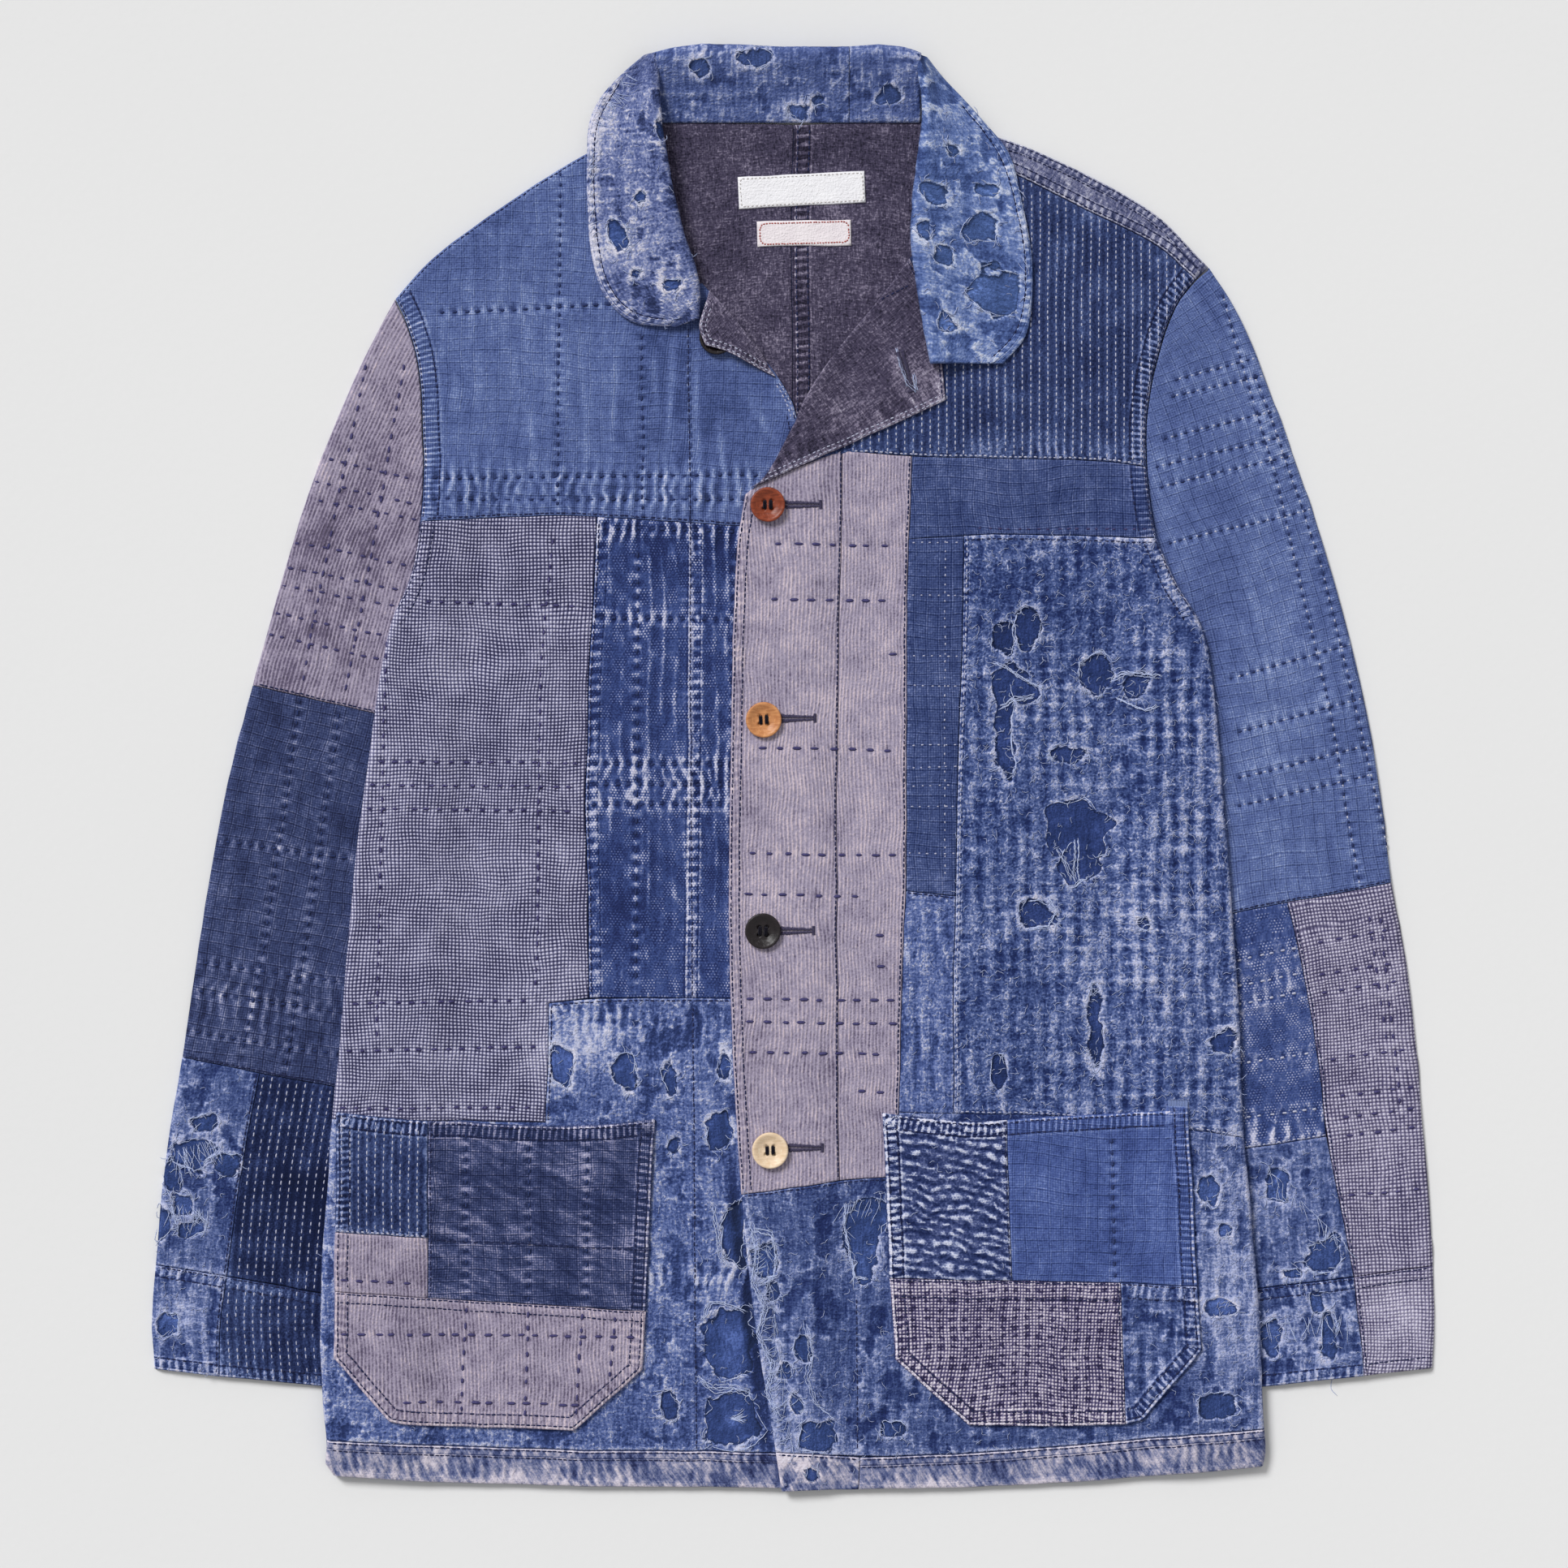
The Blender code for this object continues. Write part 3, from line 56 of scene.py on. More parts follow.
MM = 0.001
CENTRE = np.array([0.65, -0.39])      # where the sewn centre line lies in the row frame
CLOTH = 1.8                           # thickness of the back, a front or a pocket
LINING = 1.0                          # thickness of the back lining
GAP = 0.3                             # between the back and its lining
SLEEVE_FLAT = 3.4                     # height of a flattened sleeve beside its edge
FOLD = 2.6                            # radius of a folded edge
RAISE = 4.1                           # how far the back steps up over a sleeve
FRONT_Z = 3.4                         # underside of the fronts above the back's underside
OVERLAP = 2.1                         # how far the left front lies above the right one
LAY = 0.35                            # gap between a pocket or a lapel and its front
CLEAR = 0.08                          # least height above the floor
FINE, MIDDLE, COARSE = 1.46, 1.85, 7.0  # spacing of a sheet's points
EDGE_RINGS = (0.35, 1.0)              # rings of points inside a sheet's outline
SASHIKO_PITCH = 4.6                   # between two rows of white sashiko stitches
FAR = 9.0                             # stands for "no seam or hole near" in the cloth's marks


# ------------------------------------------------------------------ tables of the garment
# y, and how far from the middle the sleeves begin under the fronts
SLEEVE_INNER = [
    (130, 197.0), (100, 202.0), (84, 205.5), (25, 206.5), (-40, 206.0), (-90, 208.0),
    (-180, 212.0), (-230, 216.0), (-290, 220.0), (-345, 222.5),
]
# distance from a sleeve's outer edge, and how much fuller it is there
SWELL = [(0, 0.0), (15, 0.75), (38, 1.3), (62, 1.1), (83, 0.35), (93, 0.0)]
# the sleeves' outer edges, from the shoulder down
SLEEVE_EDGE = {
    "sleeve_r": [
        (-214, 262), (-217, 255), (-227, 238), (-242, 206), (-259, 165), (-273, 122), (-285, 81), (-294, 45.5),
        (-306.5, 1), (-316.5, -50), (-325, -102), (-332.5, -156.5), (-340.5, -200), (-345, -240),
        (-347.3, -269), (-349.6, -300), (-347.6, -326), (-346, -345),
    ],
    "sleeve_l": [
        (222, 280), (225.5, 273), (236, 258), (246.5, 239), (262, 196), (278, 152), (293, 106), (307, 52),
        (317.5, 0), (324.5, -62), (333, -104), (338, -148), (341.7, -192), (345.5, -233), (347, -270),
        (348.3, -301), (347, -326), (346, -345),
    ],
}

# the cut pieces: layer, cloth, turn of the grain in degrees, spacing of the points
PANELS = {
    "back_panel": ("back", "ripstop_blue", 0, COARSE),
    "back_lining_right": ("lining", "charcoal", 2, MIDDLE),
    "back_lining_left": ("lining", "charcoal", -2, MIDDLE),
    "right_front_upper": ("front_r", "ripstop_light", -2, MIDDLE),
    "right_front_gingham": ("front_r", "gingham", -1, MIDDLE),
    "right_front_dobby": ("front_r", "dobby", 0, FINE),
    "right_front_lower": ("front_r", "boro_light", 0, FINE),
    "right_front_hem": ("front_r", "hem", 1, FINE),
    "right_lapel": ("lapel_r", "charcoal", 40, FINE),
    "right_pocket_sashiko": ("pocket_r", "sashiko", 0, FINE),
    "right_pocket_ripstop": ("pocket_r", "ripstop_rumpled", 1, FINE),
    "right_pocket_stripe_upper": ("pocket_r", "stripe", 1, MIDDLE),
    "right_pocket_stripe_lower": ("pocket_r", "stripe", 1, MIDDLE),
    "left_front_yoke": ("front_l", "sashiko", 0, FINE),
    "left_shoulder_band": ("front_l", "slate", -31, FINE),
    "left_placket_edge": ("front_l", "stripe", 0, MIDDLE),
    "left_placket_inner": ("front_l", "stripe", 0, MIDDLE),
    "left_front_ripstop_top": ("front_l", "ripstop_dark_blue", 0, MIDDLE),
    "left_front_ripstop_side": ("front_l", "ripstop_dark_blue", 0, MIDDLE),
    "left_front_worn_strip": ("front_l", "boro_light", 0, FINE),
    "left_front_boro": ("front_l", "boro_deep", 1, FINE),
    "left_front_lower": ("front_l", "boro", 0, FINE),
    "left_front_hem": ("front_l", "hem", 2, FINE),
    "left_hem_end": ("front_l", "hem", 0, FINE),
    "left_lapel": ("lapel_l", "charcoal", 35, FINE),
    "left_pocket_checker": ("pocket_l", "puckered", 0, FINE),
    "left_pocket_ripstop": ("pocket_l", "ripstop_blue", -2, MIDDLE),
    "left_pocket_gingham": ("pocket_l", "gingham_coarse", -1, FINE),
    "left_pocket_boro": ("pocket_l", "boro", 0, FINE),
    "right_sleeve_upper": ("sleeve_r", "stripe", 0, MIDDLE),
    "right_sleeve_middle": ("sleeve_r", "ripstop_dark", 0, MIDDLE),
    "right_sleeve_boro": ("sleeve_r", "boro", 0, FINE),
    "right_sleeve_sashiko": ("sleeve_r", "sashiko", 0, FINE),
    "right_cuff_boro": ("sleeve_r", "boro", 0, FINE),
    "right_cuff_sashiko": ("sleeve_r", "sashiko", 0, FINE),
    "left_sleeve_upper": ("sleeve_l", "ripstop_light", 0, MIDDLE),
    "left_sleeve_dobby": ("sleeve_l", "dobby", 0, FINE),
    "left_sleeve_boro": ("sleeve_l", "boro", 0, FINE),
    "left_sleeve_gingham": ("sleeve_l", "gingham_warm", 0, MIDDLE),
    "left_cuff_boro": ("sleeve_l", "boro", 0, FINE),
    "left_cuff_gingham": ("sleeve_l", "gingham_warm", 0, MIDDLE),
    "label_main": ("label", "label_white", 3, MIDDLE),
    "label_small": ("label", "label_pink", 1.6, MIDDLE),
}
WINGS = {
    # outer x, outer y, outer z, roll x, roll y, roll z, foot z, from the back corner to the point
    "collar_wing_right": [
        (-81.5, 386.6, 9.6, -75.4, 386.8, 14.0, 7.0), (-93.0, 377.5, 6.0, -74.8, 377.0, 14.5, 7.0),
        (-104.5, 365.5, 4.5, -74.0, 366.0, 15.0, 6.4), (-111.0, 352.0, 5.0, -73.0, 352.0, 15.5, 6.4),
        (-112.5, 331.0, 6.6, -70.0, 332.0, 15.5, 6.6), (-112.3, 304.0, 6.6, -65.5, 308.0, 15.0, 6.6),
        (-109.5, 276.0, 6.6, -60.0, 287.0, 13.5, 6.6), (-101.5, 254.5, 6.6, -54.0, 269.0, 12.0, 9.2),
        (-88.0, 242.5, 6.6, -52.3, 257.0, 11.5, 9.4), (-65.0, 239.4, 7.2, -52.8, 243.6, 10.6, 9.6),
    ],
    "collar_wing_left": [
        (72.2, 385.6, 8.6, 66.4, 386.6, 14.0, 7.0), (81.0, 375.0, 6.0, 68.2, 376.0, 14.5, 7.0),
        (91.5, 364.0, 6.0, 70.0, 365.0, 15.0, 6.4), (103.5, 350.5, 6.8, 70.4, 352.0, 15.5, 6.6),
        (117.0, 333.0, 6.6, 67.8, 330.0, 15.5, 6.6), (124.5, 304.0, 6.6, 65.0, 306.0, 15.5, 6.6),
        (129.0, 278.0, 6.6, 64.5, 285.0, 15.0, 8.8), (129.0, 252.0, 6.6, 67.5, 262.0, 14.0, 9.2),
        (125.0, 233.5, 6.6, 71.0, 240.0, 13.2, 9.8), (113.5, 219.8, 6.8, 75.2, 219.6, 12.8, 10.0),
    ],
}
# y and z round the collar behind the neck, from its outer edge over the roll to the stand
COLLAR_SECTION = [
    (351.0, 3.4), (357.0, 4.6), (366.0, 7.2), (376.0, 10.6), (384.0, 13.2), (388.4, 13.2),
    (390.6, 10.4), (390.6, 5.6), (387.5, 2.3), (380.0, 1.2), (366.0, 1.1), (356.0, 1.1),
]
# x, and how far the collar's roll sways there
COLLAR_WAVE = [
    (-78, -4.4), (-74, -3.2), (-66, -1.2), (-50, 0.9), (-30, 0.6), (-8, -0.7),
    (30, -0.5), (46, 0.7), (58, -0.6), (64, -2.2), (69, -4.2),
]
# the two parts of the collar behind the neck, from x to x
COLLAR_BACKS = {"collar_back_right": (-77.2, 29.9), "collar_back_left": (30.1, 68.4)}

# seams along the pieces' edges, filled by seam() and read by seam_lines()
SEAMS = []


def seam(piece, start, end, width, stitched, pitch, strength, wear, thread="navy", via=None):
    """A seam on a piece's edge: width of its turned band, distances of its rows of stitches, its
    puckers' pitch and strength, and how worn it is; via is a place on the way."""
    SEAMS.append((piece, start, end, width, stitched, pitch, strength, wear, thread, via))


seam("right_front_upper", (-217, 255), (-203, 134), 10.2, (1.4, 9.0), 2.9, 1.0, 0.25)
seam("right_front_gingham", (-203, 134), (-218, 84), 8.0, (1.4, 7.6), 3.2, 0.55, 0.1)
seam("right_front_upper", (-82, 349), (-217, 255), 3.0, (1.6,), 4.5, 0.35, 0.1)
seam("right_front_upper", (-203, 134), (6, 131.5), 3.0, (1.3,), 4.4, 0.5, 0.1)
seam("right_front_upper", (6, 131.5), (1.5, 194), 5.0, (1.3, 5.0), 5.0, 0.5, 0.2)
seam("right_front_dobby", (-107, 137), (-111.5, -124), 7.0, (1.3,), 6.2, 0.75, 0.15)
seam("right_front_lower", (-111.5, -124), (6, -125), 3.0, (1.3,), 5.2, 0.5, 0.15)
seam("right_front_lower", (-111.5, -124), (-135, -192), 3.0, (1.5,), 5.0, 0.5, 0.5, via=(-133, -127))
seam("right_front_gingham", (-218, 84), (-250.5, -190), 3.0, (), 6.0, 0.35, 0.2)
seam("right_front_lower", (-250.5, -190), (-253.4, -363.7), 3.5, (), 6.0, 0.4, 0.35)
seam("right_front_lower", (-253.4, -363.7), (6, -371), 1.6, (), 5.5, 0.4, 1.1)
seam("right_front_hem", (-253.4, -363.7), (6, -371), 4.6, (1.2, 5.2), 6.0, 0.8, -0.6)
seam("right_front_hem", (-250, -383.5), (6, -390.6), 3.0, (), 7.0, 0.6, 0.3)
seam("right_front_upper", (-8, 209), (2, 190), 3.4, (1.2, 3.0), 3.0, 0.7, 1.2, "pale")
seam("right_lapel", (-49, 250), (-10, 212.5), 4.2, (1.3, 3.6), 3.0, 0.8, 0.9, "pale", via=(-30.6, 223))
seam("right_pocket_sashiko", (-247.5, -186), (-198, -190.5), 8.8, (1.5, 7.6), 3.4, 1.0, 0.4)
seam("right_pocket_ripstop", (-198, -190.5), (-75.5, -190), 8.8, (1.5, 7.6), 3.3, 1.0, 0.4)
seam("right_pocket_ripstop", (-75.5, -190), (-80.3, -294), 8.4, (2.0, 7.2), 3.6, 1.0, 0.35)
seam("right_pocket_sashiko", (-247.5, -186), (-248.5, -250.5), 8.4, (2.0, 7.2), 3.6, 0.8, 0.3)
seam("right_pocket_stripe_upper", (-248.5, -250.5), (-249, -282.5), 8.4, (2.0, 7.2), 5.0, 0.6, 0.3)
seam("right_pocket_stripe_lower", (-80.3, -294), (-249, -282.5), 8.2, (2.0, 7.2), 4.6, 0.7, 0.35,
     via=(-160, -358))
seam("right_pocket_ripstop", (-198, -190.5), (-198.5, -287), 3.0, (1.3,), 4.5, 0.5, 0.1)
seam("right_pocket_sashiko", (-248.5, -250.5), (-198.5, -254), 2.6, (0.9,), 3.2, 0.7, 0.9, "white")
seam("right_pocket_stripe_lower", (-249, -282.5), (-80.3, -294), 5.4, (0.8, 5.2), 4.6, 0.35, 0.0)
seam("left_front_yoke", (191.5, 164), (26.5, 173), 2.2, (0.9,), 4.4, 0.6, 0.5, "white")
seam("left_front_yoke", (218, 265.5), (191.5, 164), 10.0, (1.4, 9.0), 3.1, 0.85, 0.3)
seam("left_front_ripstop_top", (191.5, 164), (196.5, 125), 9.6, (1.4, 9.0), 3.1, 0.8, 0.2)
seam("left_front_boro", (196.5, 125), (218.5, 84), 8.0, (1.4, 7.6), 3.3, 0.6, 0.2)
seam("left_front_boro", (218.5, 84), (244.3, -200), 3.0, (), 5.5, 0.4, 0.5)
seam("left_front_lower", (244.3, -200), (254.5, -357.5), 3.0, (), 5.5, 0.4, 0.6)
seam("left_shoulder_band", (82, 338), (218, 265.5), 5.4, (1.2, 5.0), 4.4, 0.9, 0.5)
seam("left_shoulder_band", (80, 350), (225.5, 273), 5.0, (1.6, 5.4), 3.8, 0.8, 0.25)
seam("left_placket_edge", (-27, 149), (-29, -231), 6.0, (1.3, 5.6), 5.0, 0.6, 0.35)
seam("left_placket_edge", (26.5, 173), (24.4, -223.5), 2.0, (0.7,), 6.0, 0.2, -0.2)
seam("left_placket_inner", (64, 169.6), (57.4, -186), 2.4, (1.2,), 5.0, 0.35, 0.55)
seam("left_placket_inner", (57.4, -186), (56, -221), 2.4, (1.2,), 5.0, 0.35, 0.35)
seam("left_front_ripstop_side", (64, 169.6), (60.5, -66.5), 2.0, (), 4.6, 0.5, 0.0, "pale")
seam("left_front_boro", (92, 126.5), (87, -187), 3.0, (1.6,), 4.2, 0.75, 0.8, "pale", via=(88, -69))
seam("left_front_boro", (92, 126.5), (196.5, 125), 3.6, (2.4,), 5.2, 0.6, 0.7)
seam("left_front_worn_strip", (60.5, -66.5), (87.8, -69), 2.0, (0.8,), 4.0, 0.6, 0.4)
seam("left_front_boro", (87, -187), (216, -195), 2.4, (1.0,), 4.0, 0.6, 0.7, "pale")
seam("left_front_boro", (216, -195), (244.3, -200), 2.4, (1.0,), 4.0, 0.6, 1.1, "pale")
seam("left_front_lower", (-29, -231), (56, -221), 2.6, (1.1,), 4.4, 0.5, -0.1, via=(9.5, -226))
seam("left_front_lower", (-29, -231), (-10.3, -370), 3.0, (), 5.0, 0.5, 0.5)
seam("left_front_lower", (36, -373.5), (254.5, -357.5), 1.6, (), 5.5, 0.4, 1.2)
seam("left_front_lower", (-10.3, -370), (36, -373.5), 1.6, (), 5.5, 0.4, 1.0)
seam("left_front_hem", (36, -373.5), (254.5, -357.5), 4.6, (1.2, 5.4), 6.0, 0.9, -0.5)
seam("left_hem_end", (-10.3, -370), (36, -373.5), 4.0, (1.2,), 6.0, 0.6, -0.2)
seam("left_front_hem", (35.5, -391.6), (254.5, -378.5), 3.0, (), 7.0, 0.6, 0.3, via=(160, -387))
seam("left_lapel", (82.5, 200), (-24, 152.5), 3.2, (1.2, 3.4), 4.2, 0.6, 1.1, "pale", via=(29, 175))
seam("left_lapel", (82.5, 200), (64, 276), 3.0, (1.6,), 6.0, 0.5, 0.3, via=(79, 232))
seam("left_pocket_checker", (48.2, -186), (115.5, -190.3), 8.8, (1.5, 7.8), 3.3, 1.0, 0.45)
seam("left_pocket_ripstop", (115.5, -190.3), (201.5, -184.5), 8.8, (1.5, 7.8), 3.3, 1.0, 0.45)
seam("left_pocket_ripstop", (213.5, -182.3), (218.3, -280), 9.0, (2.2, 7.6), 3.5, 1.0, 0.4)
seam("left_pocket_checker", (48.2, -186), (51.5, -276), 8.6, (2.0, 7.4), 3.6, 1.0, 0.4)
seam("left_pocket_gingham", (51.5, -276), (179.5, -355.3), 8.6, (2.0, 7.4), 4.0, 0.9, 0.35,
     via=(94.4, -355.8))
seam("left_pocket_boro", (218.3, -280), (179.5, -355.3), 9.0, (2.2, 7.6), 3.6, 0.9, 0.4, via=(189, -353))
seam("left_pocket_gingham", (51.5, -276), (177, -278.5), 9.0, (0.9, 9.6), 4.4, 0.3, -0.2, via=(118, -277.5))
seam("left_pocket_gingham", (177, -278.5), (179.5, -355.3), 2.4, (1.2,), 4.0, 0.4, 0.2)
seam("left_pocket_boro", (177, -278.5), (218.3, -280), 8.0, (0.9, 8.0), 4.0, 0.6, 0.1)
seam("left_pocket_checker", (115.5, -190.3), (118, -277.5), 3.0, (1.0,), 4.0, 0.6, 0.1)
seam("right_sleeve_upper", (-294, 45.5), (-208, 26), 2.6, (1.1,), 4.6, 0.4, -0.1)
seam("right_sleeve_middle", (-332.5, -156.5), (-212, -180), 2.6, (1.1,), 4.6, 0.5, 0.0)
seam("right_sleeve_boro", (-289, -164), (-308, -277), 3.0, (1.3,), 4.6, 0.5, 0.3)
seam("right_cuff_boro", (-308, -277), (-312, -323), 3.0, (1.3,), 4.6, 0.5, 0.3)
seam("right_cuff_boro", (-347.3, -269), (-308, -277), 6.4, (0.9, 6.0), 4.6, 0.7, 0.0)
seam("right_cuff_sashiko", (-308, -277), (-220, -291), 6.4, (0.9, 6.0), 4.0, 0.5, -0.2)
seam("right_cuff_boro", (-347.6, -326), (-312, -333), 7.0, (6.2,), 4.2, 0.9, 0.4)
seam("right_cuff_sashiko", (-312, -333), (-222, -339.5), 6.6, (6.2,), 4.2, 0.7, 0.1)
seam("left_sleeve_upper", (324.5, -62), (208, -84), 2.8, (1.1,), 4.6, 0.5, 0.1)
seam("left_sleeve_gingham", (268, -75), (309.5, -278), 3.2, (1.3,), 4.6, 0.4, 0.1)
seam("left_cuff_gingham", (302, -278), (309.5, -330), 3.2, (1.3,), 4.6, 0.4, 0.1)
seam("left_sleeve_dobby", (288, -202), (215, -211), 3.0, (0.9,), 4.6, 0.6, 0.6, "white")
seam("left_cuff_gingham", (347, -270), (302, -278), 6.4, (0.9, 6.0), 5.0, 0.35, -0.3)
seam("left_cuff_boro", (302, -278), (219.5, -287), 6.4, (0.9, 6.0), 4.4, 0.7, 0.0)
seam("left_cuff_gingham", (347, -326), (309.5, -331), 6.8, (6.2,), 5.0, 0.4, 0.1)
seam("left_cuff_boro", (309.5, -331), (222, -338.5), 6.8, (6.2,), 4.4, 0.7, 0.3)

# seam lines inside a piece or across several: (pieces, points, width, rows, pitch, strength, wear, thread)
INNER_SEAMS = [
    (("right_front_dobby",), [(-57, 134), (-58, 0), (-59.5, -124)], 7.4, (0.7,), 5.8, 0.9, 0.35, "pale"),
    (("back_lining_left",), [(0.2, 348), (0.2, 206), (0.6, 172)], 8.6, (1.4, 7.6), 4.4, 0.9, 0.12, "navy"),
    (("right_front_upper", "right_front_dobby"), [(-58.5, 240), (-57, 132), (-57, 0), (-56, -124)],
     2.6, (0.9,), 5.2, 0.85, 0.6, "navy"),
    (("right_front_lower",), [(-56, -126), (-55, -250), (-53.5, -370)], 2.0, (0.9,), 5.0, 0.4, 0.2, "navy"),
    (("left_lapel",), [(42, 251), (63.6, 262)], 2.0, (0.8,), 5.0, 0.3, 0.2, "navy"),
    (("left_front_lower",), [(33, -287), (33.5, -371)], 2.0, (0.9,), 5.0, 0.4, 0.3, "navy"),
    (("right_pocket_ripstop",), [(-198, -256), (-140, -259), (-80, -262)], 2.0, (0.9,), 5.0, 0.6, -0.2, "navy"),
    (("collar_wing_right",), [(-95, 372), (-107, 352), (-109, 331), (-108.8, 304), (-106, 277), (-98.8, 257.5),
                              (-87, 246.5), (-69, 243.8)], -3.2, (0.0,), 4.2, 0.85, 0.5, "navy"),
    (("collar_wing_left",), [(91, 360), (103, 345.5), (114, 330), (121, 304), (125.5, 278), (125.5, 253.5),
                             (120.5, 235.5), (107, 222.6)], 3.2, (0.0,), 4.2, 0.85, 0.6, "navy"),
]

# running stitches: (pieces, start, end, pitch, length, width, thread, height of the puckers)
ROWS = []
PLACKET = ("left_placket_edge", "left_placket_inner")
UPPER = ("right_front_upper",)
GINGHAM = ("right_front_gingham",)
DOBBY = ("right_front_dobby",)
LOWER_STRIPE = ("right_pocket_stripe_lower",)
RIPSTOP_L = ("left_front_ripstop_top", "left_front_ripstop_side")
SLEEVE_R = ("right_sleeve_upper",)
MIDDLE_R = ("right_sleeve_middle",)
SLEEVE_L = ("left_sleeve_upper",)
GINGHAM_L = ("left_sleeve_gingham",)
ACROSS_L = [
    (206, 211, 254, 224), (204, 202, 258, 214), (200, 179, 264, 195), (196, 164, 270, 181), (198, 153, 274, 171),
    (202, 122, 284, 142), (236, 49, 304, 68), (240, 20, 312, 39), (240, -5, 316, 14), (240, -20, 318, -2),
]
DOWN_L = [
    (232, 259, 250.5, 195), (250.5, 195, 261.5, 158), (261.5, 158, 289, 40), (289, 40, 307, -62),
    (250, 215, 285.5, 114), (285.5, 114, 311, 7), (311, 7, 323, -48),
]


def rows(pieces, lines, pitch=9.7, length=4.8, width=1.7, thread="ink", pucker=0.3):
    """Adds running stitches on the same pieces, each line (x0, y0, x1, y1)."""
    for x0, y0, x1, y1 in lines:
        ROWS.append((pieces, (x0, y0), (x1, y1), pitch, length, width, thread, pucker))


def indigo(pieces, lines, pitch, length, width, pucker):
    rows(pieces, lines, pitch, length, width, "indigo", pucker)


rows(PLACKET, [
    (-11, 122, 60, 121), (-13, 92, 60, 91), (51, 62, 60, 62), (-20, 11, 60, 10), (-26, -46, 60, -47),
    (-28, -68, 36, -69), (-27, -125, 58, -126), (-27, -137.5, 57, -138.5), (-26, -154, 57, -155),
    (34, -175, 56, -175), (44, -90, 56, -90), (44, -107, 56, -107),
])
indigo(UPPER, [(-127, 324, -128.5, 140), (-83, 236, -82, 136)], 5.4, 2.9, 1.5, 0.3)
indigo(UPPER, [(-193, 247.5, -96, 252)], 6.4, 3.2, 1.6, 0.4)
indigo(UPPER, [(-196, 158, -2, 160), (-196, 146.5, -2, 146.5)], 6.4, 2.8, 1.6, 0.5)
rows(GINGHAM, [(-130.5, 126, -137.5, 54), (-137.5, 54, -140, -122), (-221, 70, -226, -150)], 7.0, 3.4, 1.4)
rows(GINGHAM, [
    (-200, 91, -114, 88), (-226, 4, -116, 3), (-230, -9, -116, -10), (-232, -22, -118, -23),
    (-240, -127, -138, -126), (-243, -153, -138, -151), (-246, -184, -138, -184),
], 7.6, 3.6, 1.5)
indigo(DOBBY, [
    (-104, 131, 4, 128), (-106, 82, 4, 80), (-110, 3, 4, 2), (-110, -8, 4, -9), (-110, -19, 4, -19),
], 6.2, 2.6, 1.5, 0.5)
indigo(DOBBY, [(-85, 118, -86, -118), (-32, 118, -33, -118)], 7.6, 3.4, 1.3, 0.35)
rows(("right_pocket_stripe_upper",), [(-246, -276, -200, -279)], 8.4)
rows(LOWER_STRIPE, [(-246, -306, -84, -308)], 8.6)
rows(LOWER_STRIPE, [(-214, -343, -112, -345)], 9.4)
rows(LOWER_STRIPE, [
    (-178, -292, -180.5, -352), (-144, -293, -146, -352), (-115, -294, -118, -352), (-97, -296, -100, -336),
], 7.6, 3.6)
indigo(("right_pocket_ripstop",), [
    (-178, -198, -178, -288), (-144, -198, -144, -290), (-112, -198, -113, -292),
], 6.2, 3.0, 1.5, 0.4)
rows(RIPSTOP_L, [
    (82, 124, 82, -62), (64, 123, 92, 123), (64, 94, 90, 94), (64, 61, 90, 61), (64, 45, 90, 45),
    (64, 13, 89, 13), (64, 1, 89, 1), (64, -9, 89, -9), (63, -20.5, 89, -20.5), (62, -46, 88, -46),
], 4.6, 1.5, 0.8, "pale", 0.18)
rows(RIPSTOP_L, [(100, 130.5, 192, 130)], 5.2, 2.2, 1.0, pucker=0.2)
indigo(("left_pocket_ripstop",), [(172.5, -200, 174, -276)], 6.0, 3.0, 1.5, 0.35)
rows(SLEEVE_R, [
    (-254, 168.3, -203, 156.2), (-261, 156, -205, 143), (-265.5, 147, -205, 135), (-271.5, 123, -210, 110.5),
    (-276, 109.5, -212, 97), (-279, 100, -214, 88), (-284, 85, -219, 72), (-286, 73, -223, 59.5),
], 7.3, 3.4, 1.5)
rows(SLEEVE_R, [
    (-232.5, 220, -243, 168), (-243, 168, -262, 75), (-262, 75, -267, 43), (-212, 220, -220, 170.5),
    (-220, 170.5, -238.5, 68), (-238.5, 68, -244, 37.5),
], 7.6, 3.6, 1.6)
indigo(MIDDLE_R, [
    (-268, 38.5, -288, -98), (-247, 31.5, -267, -107), (-316, -38.5, -241, -48.6), (-328, -104, -244, -116),
    (-330, -120, -246, -132), (-332, -142, -248, -155), (-288, -98, -300, -158), (-267, -107, -277, -168),
], 6.4, 3.2, 1.4, 0.4)
indigo(SLEEVE_L, ACROSS_L + DOWN_L, 5.8, 2.6, 1.35, 0.35)
rows(SLEEVE_L, [(a + 3.3, b + 0.9, c, d) for a, b, c, d in ACROSS_L], 5.8, 1.6, 1.15, "white", 0.0)
rows(SLEEVE_L, [(a + 0.9, b - 3.2, c, d) for a, b, c, d in DOWN_L], 5.8, 1.6, 1.15, "white", 0.0)
rows(("left_sleeve_dobby",), [
    (240, -104, 279, -96), (240, -118, 281, -110), (240, -128, 282, -120), (240, -160, 287, -153),
    (240, -190, 290, -184),
], 6.0, 2.8, 1.2, "white", 0.4)
rows(GINGHAM_L, [
    (284, -94, 330, -86), (284, -112, 334, -104), (286, -122, 334, -114), (290, -158, 338, -151),
    (296, -178, 341, -172), (296, -190, 342, -184), (297, -200, 342, -194), (300, -232, 345, -228),
    (312, -80, 322, -150), (318, -80, 330, -190),
], 9.0, 3.8, 1.6)

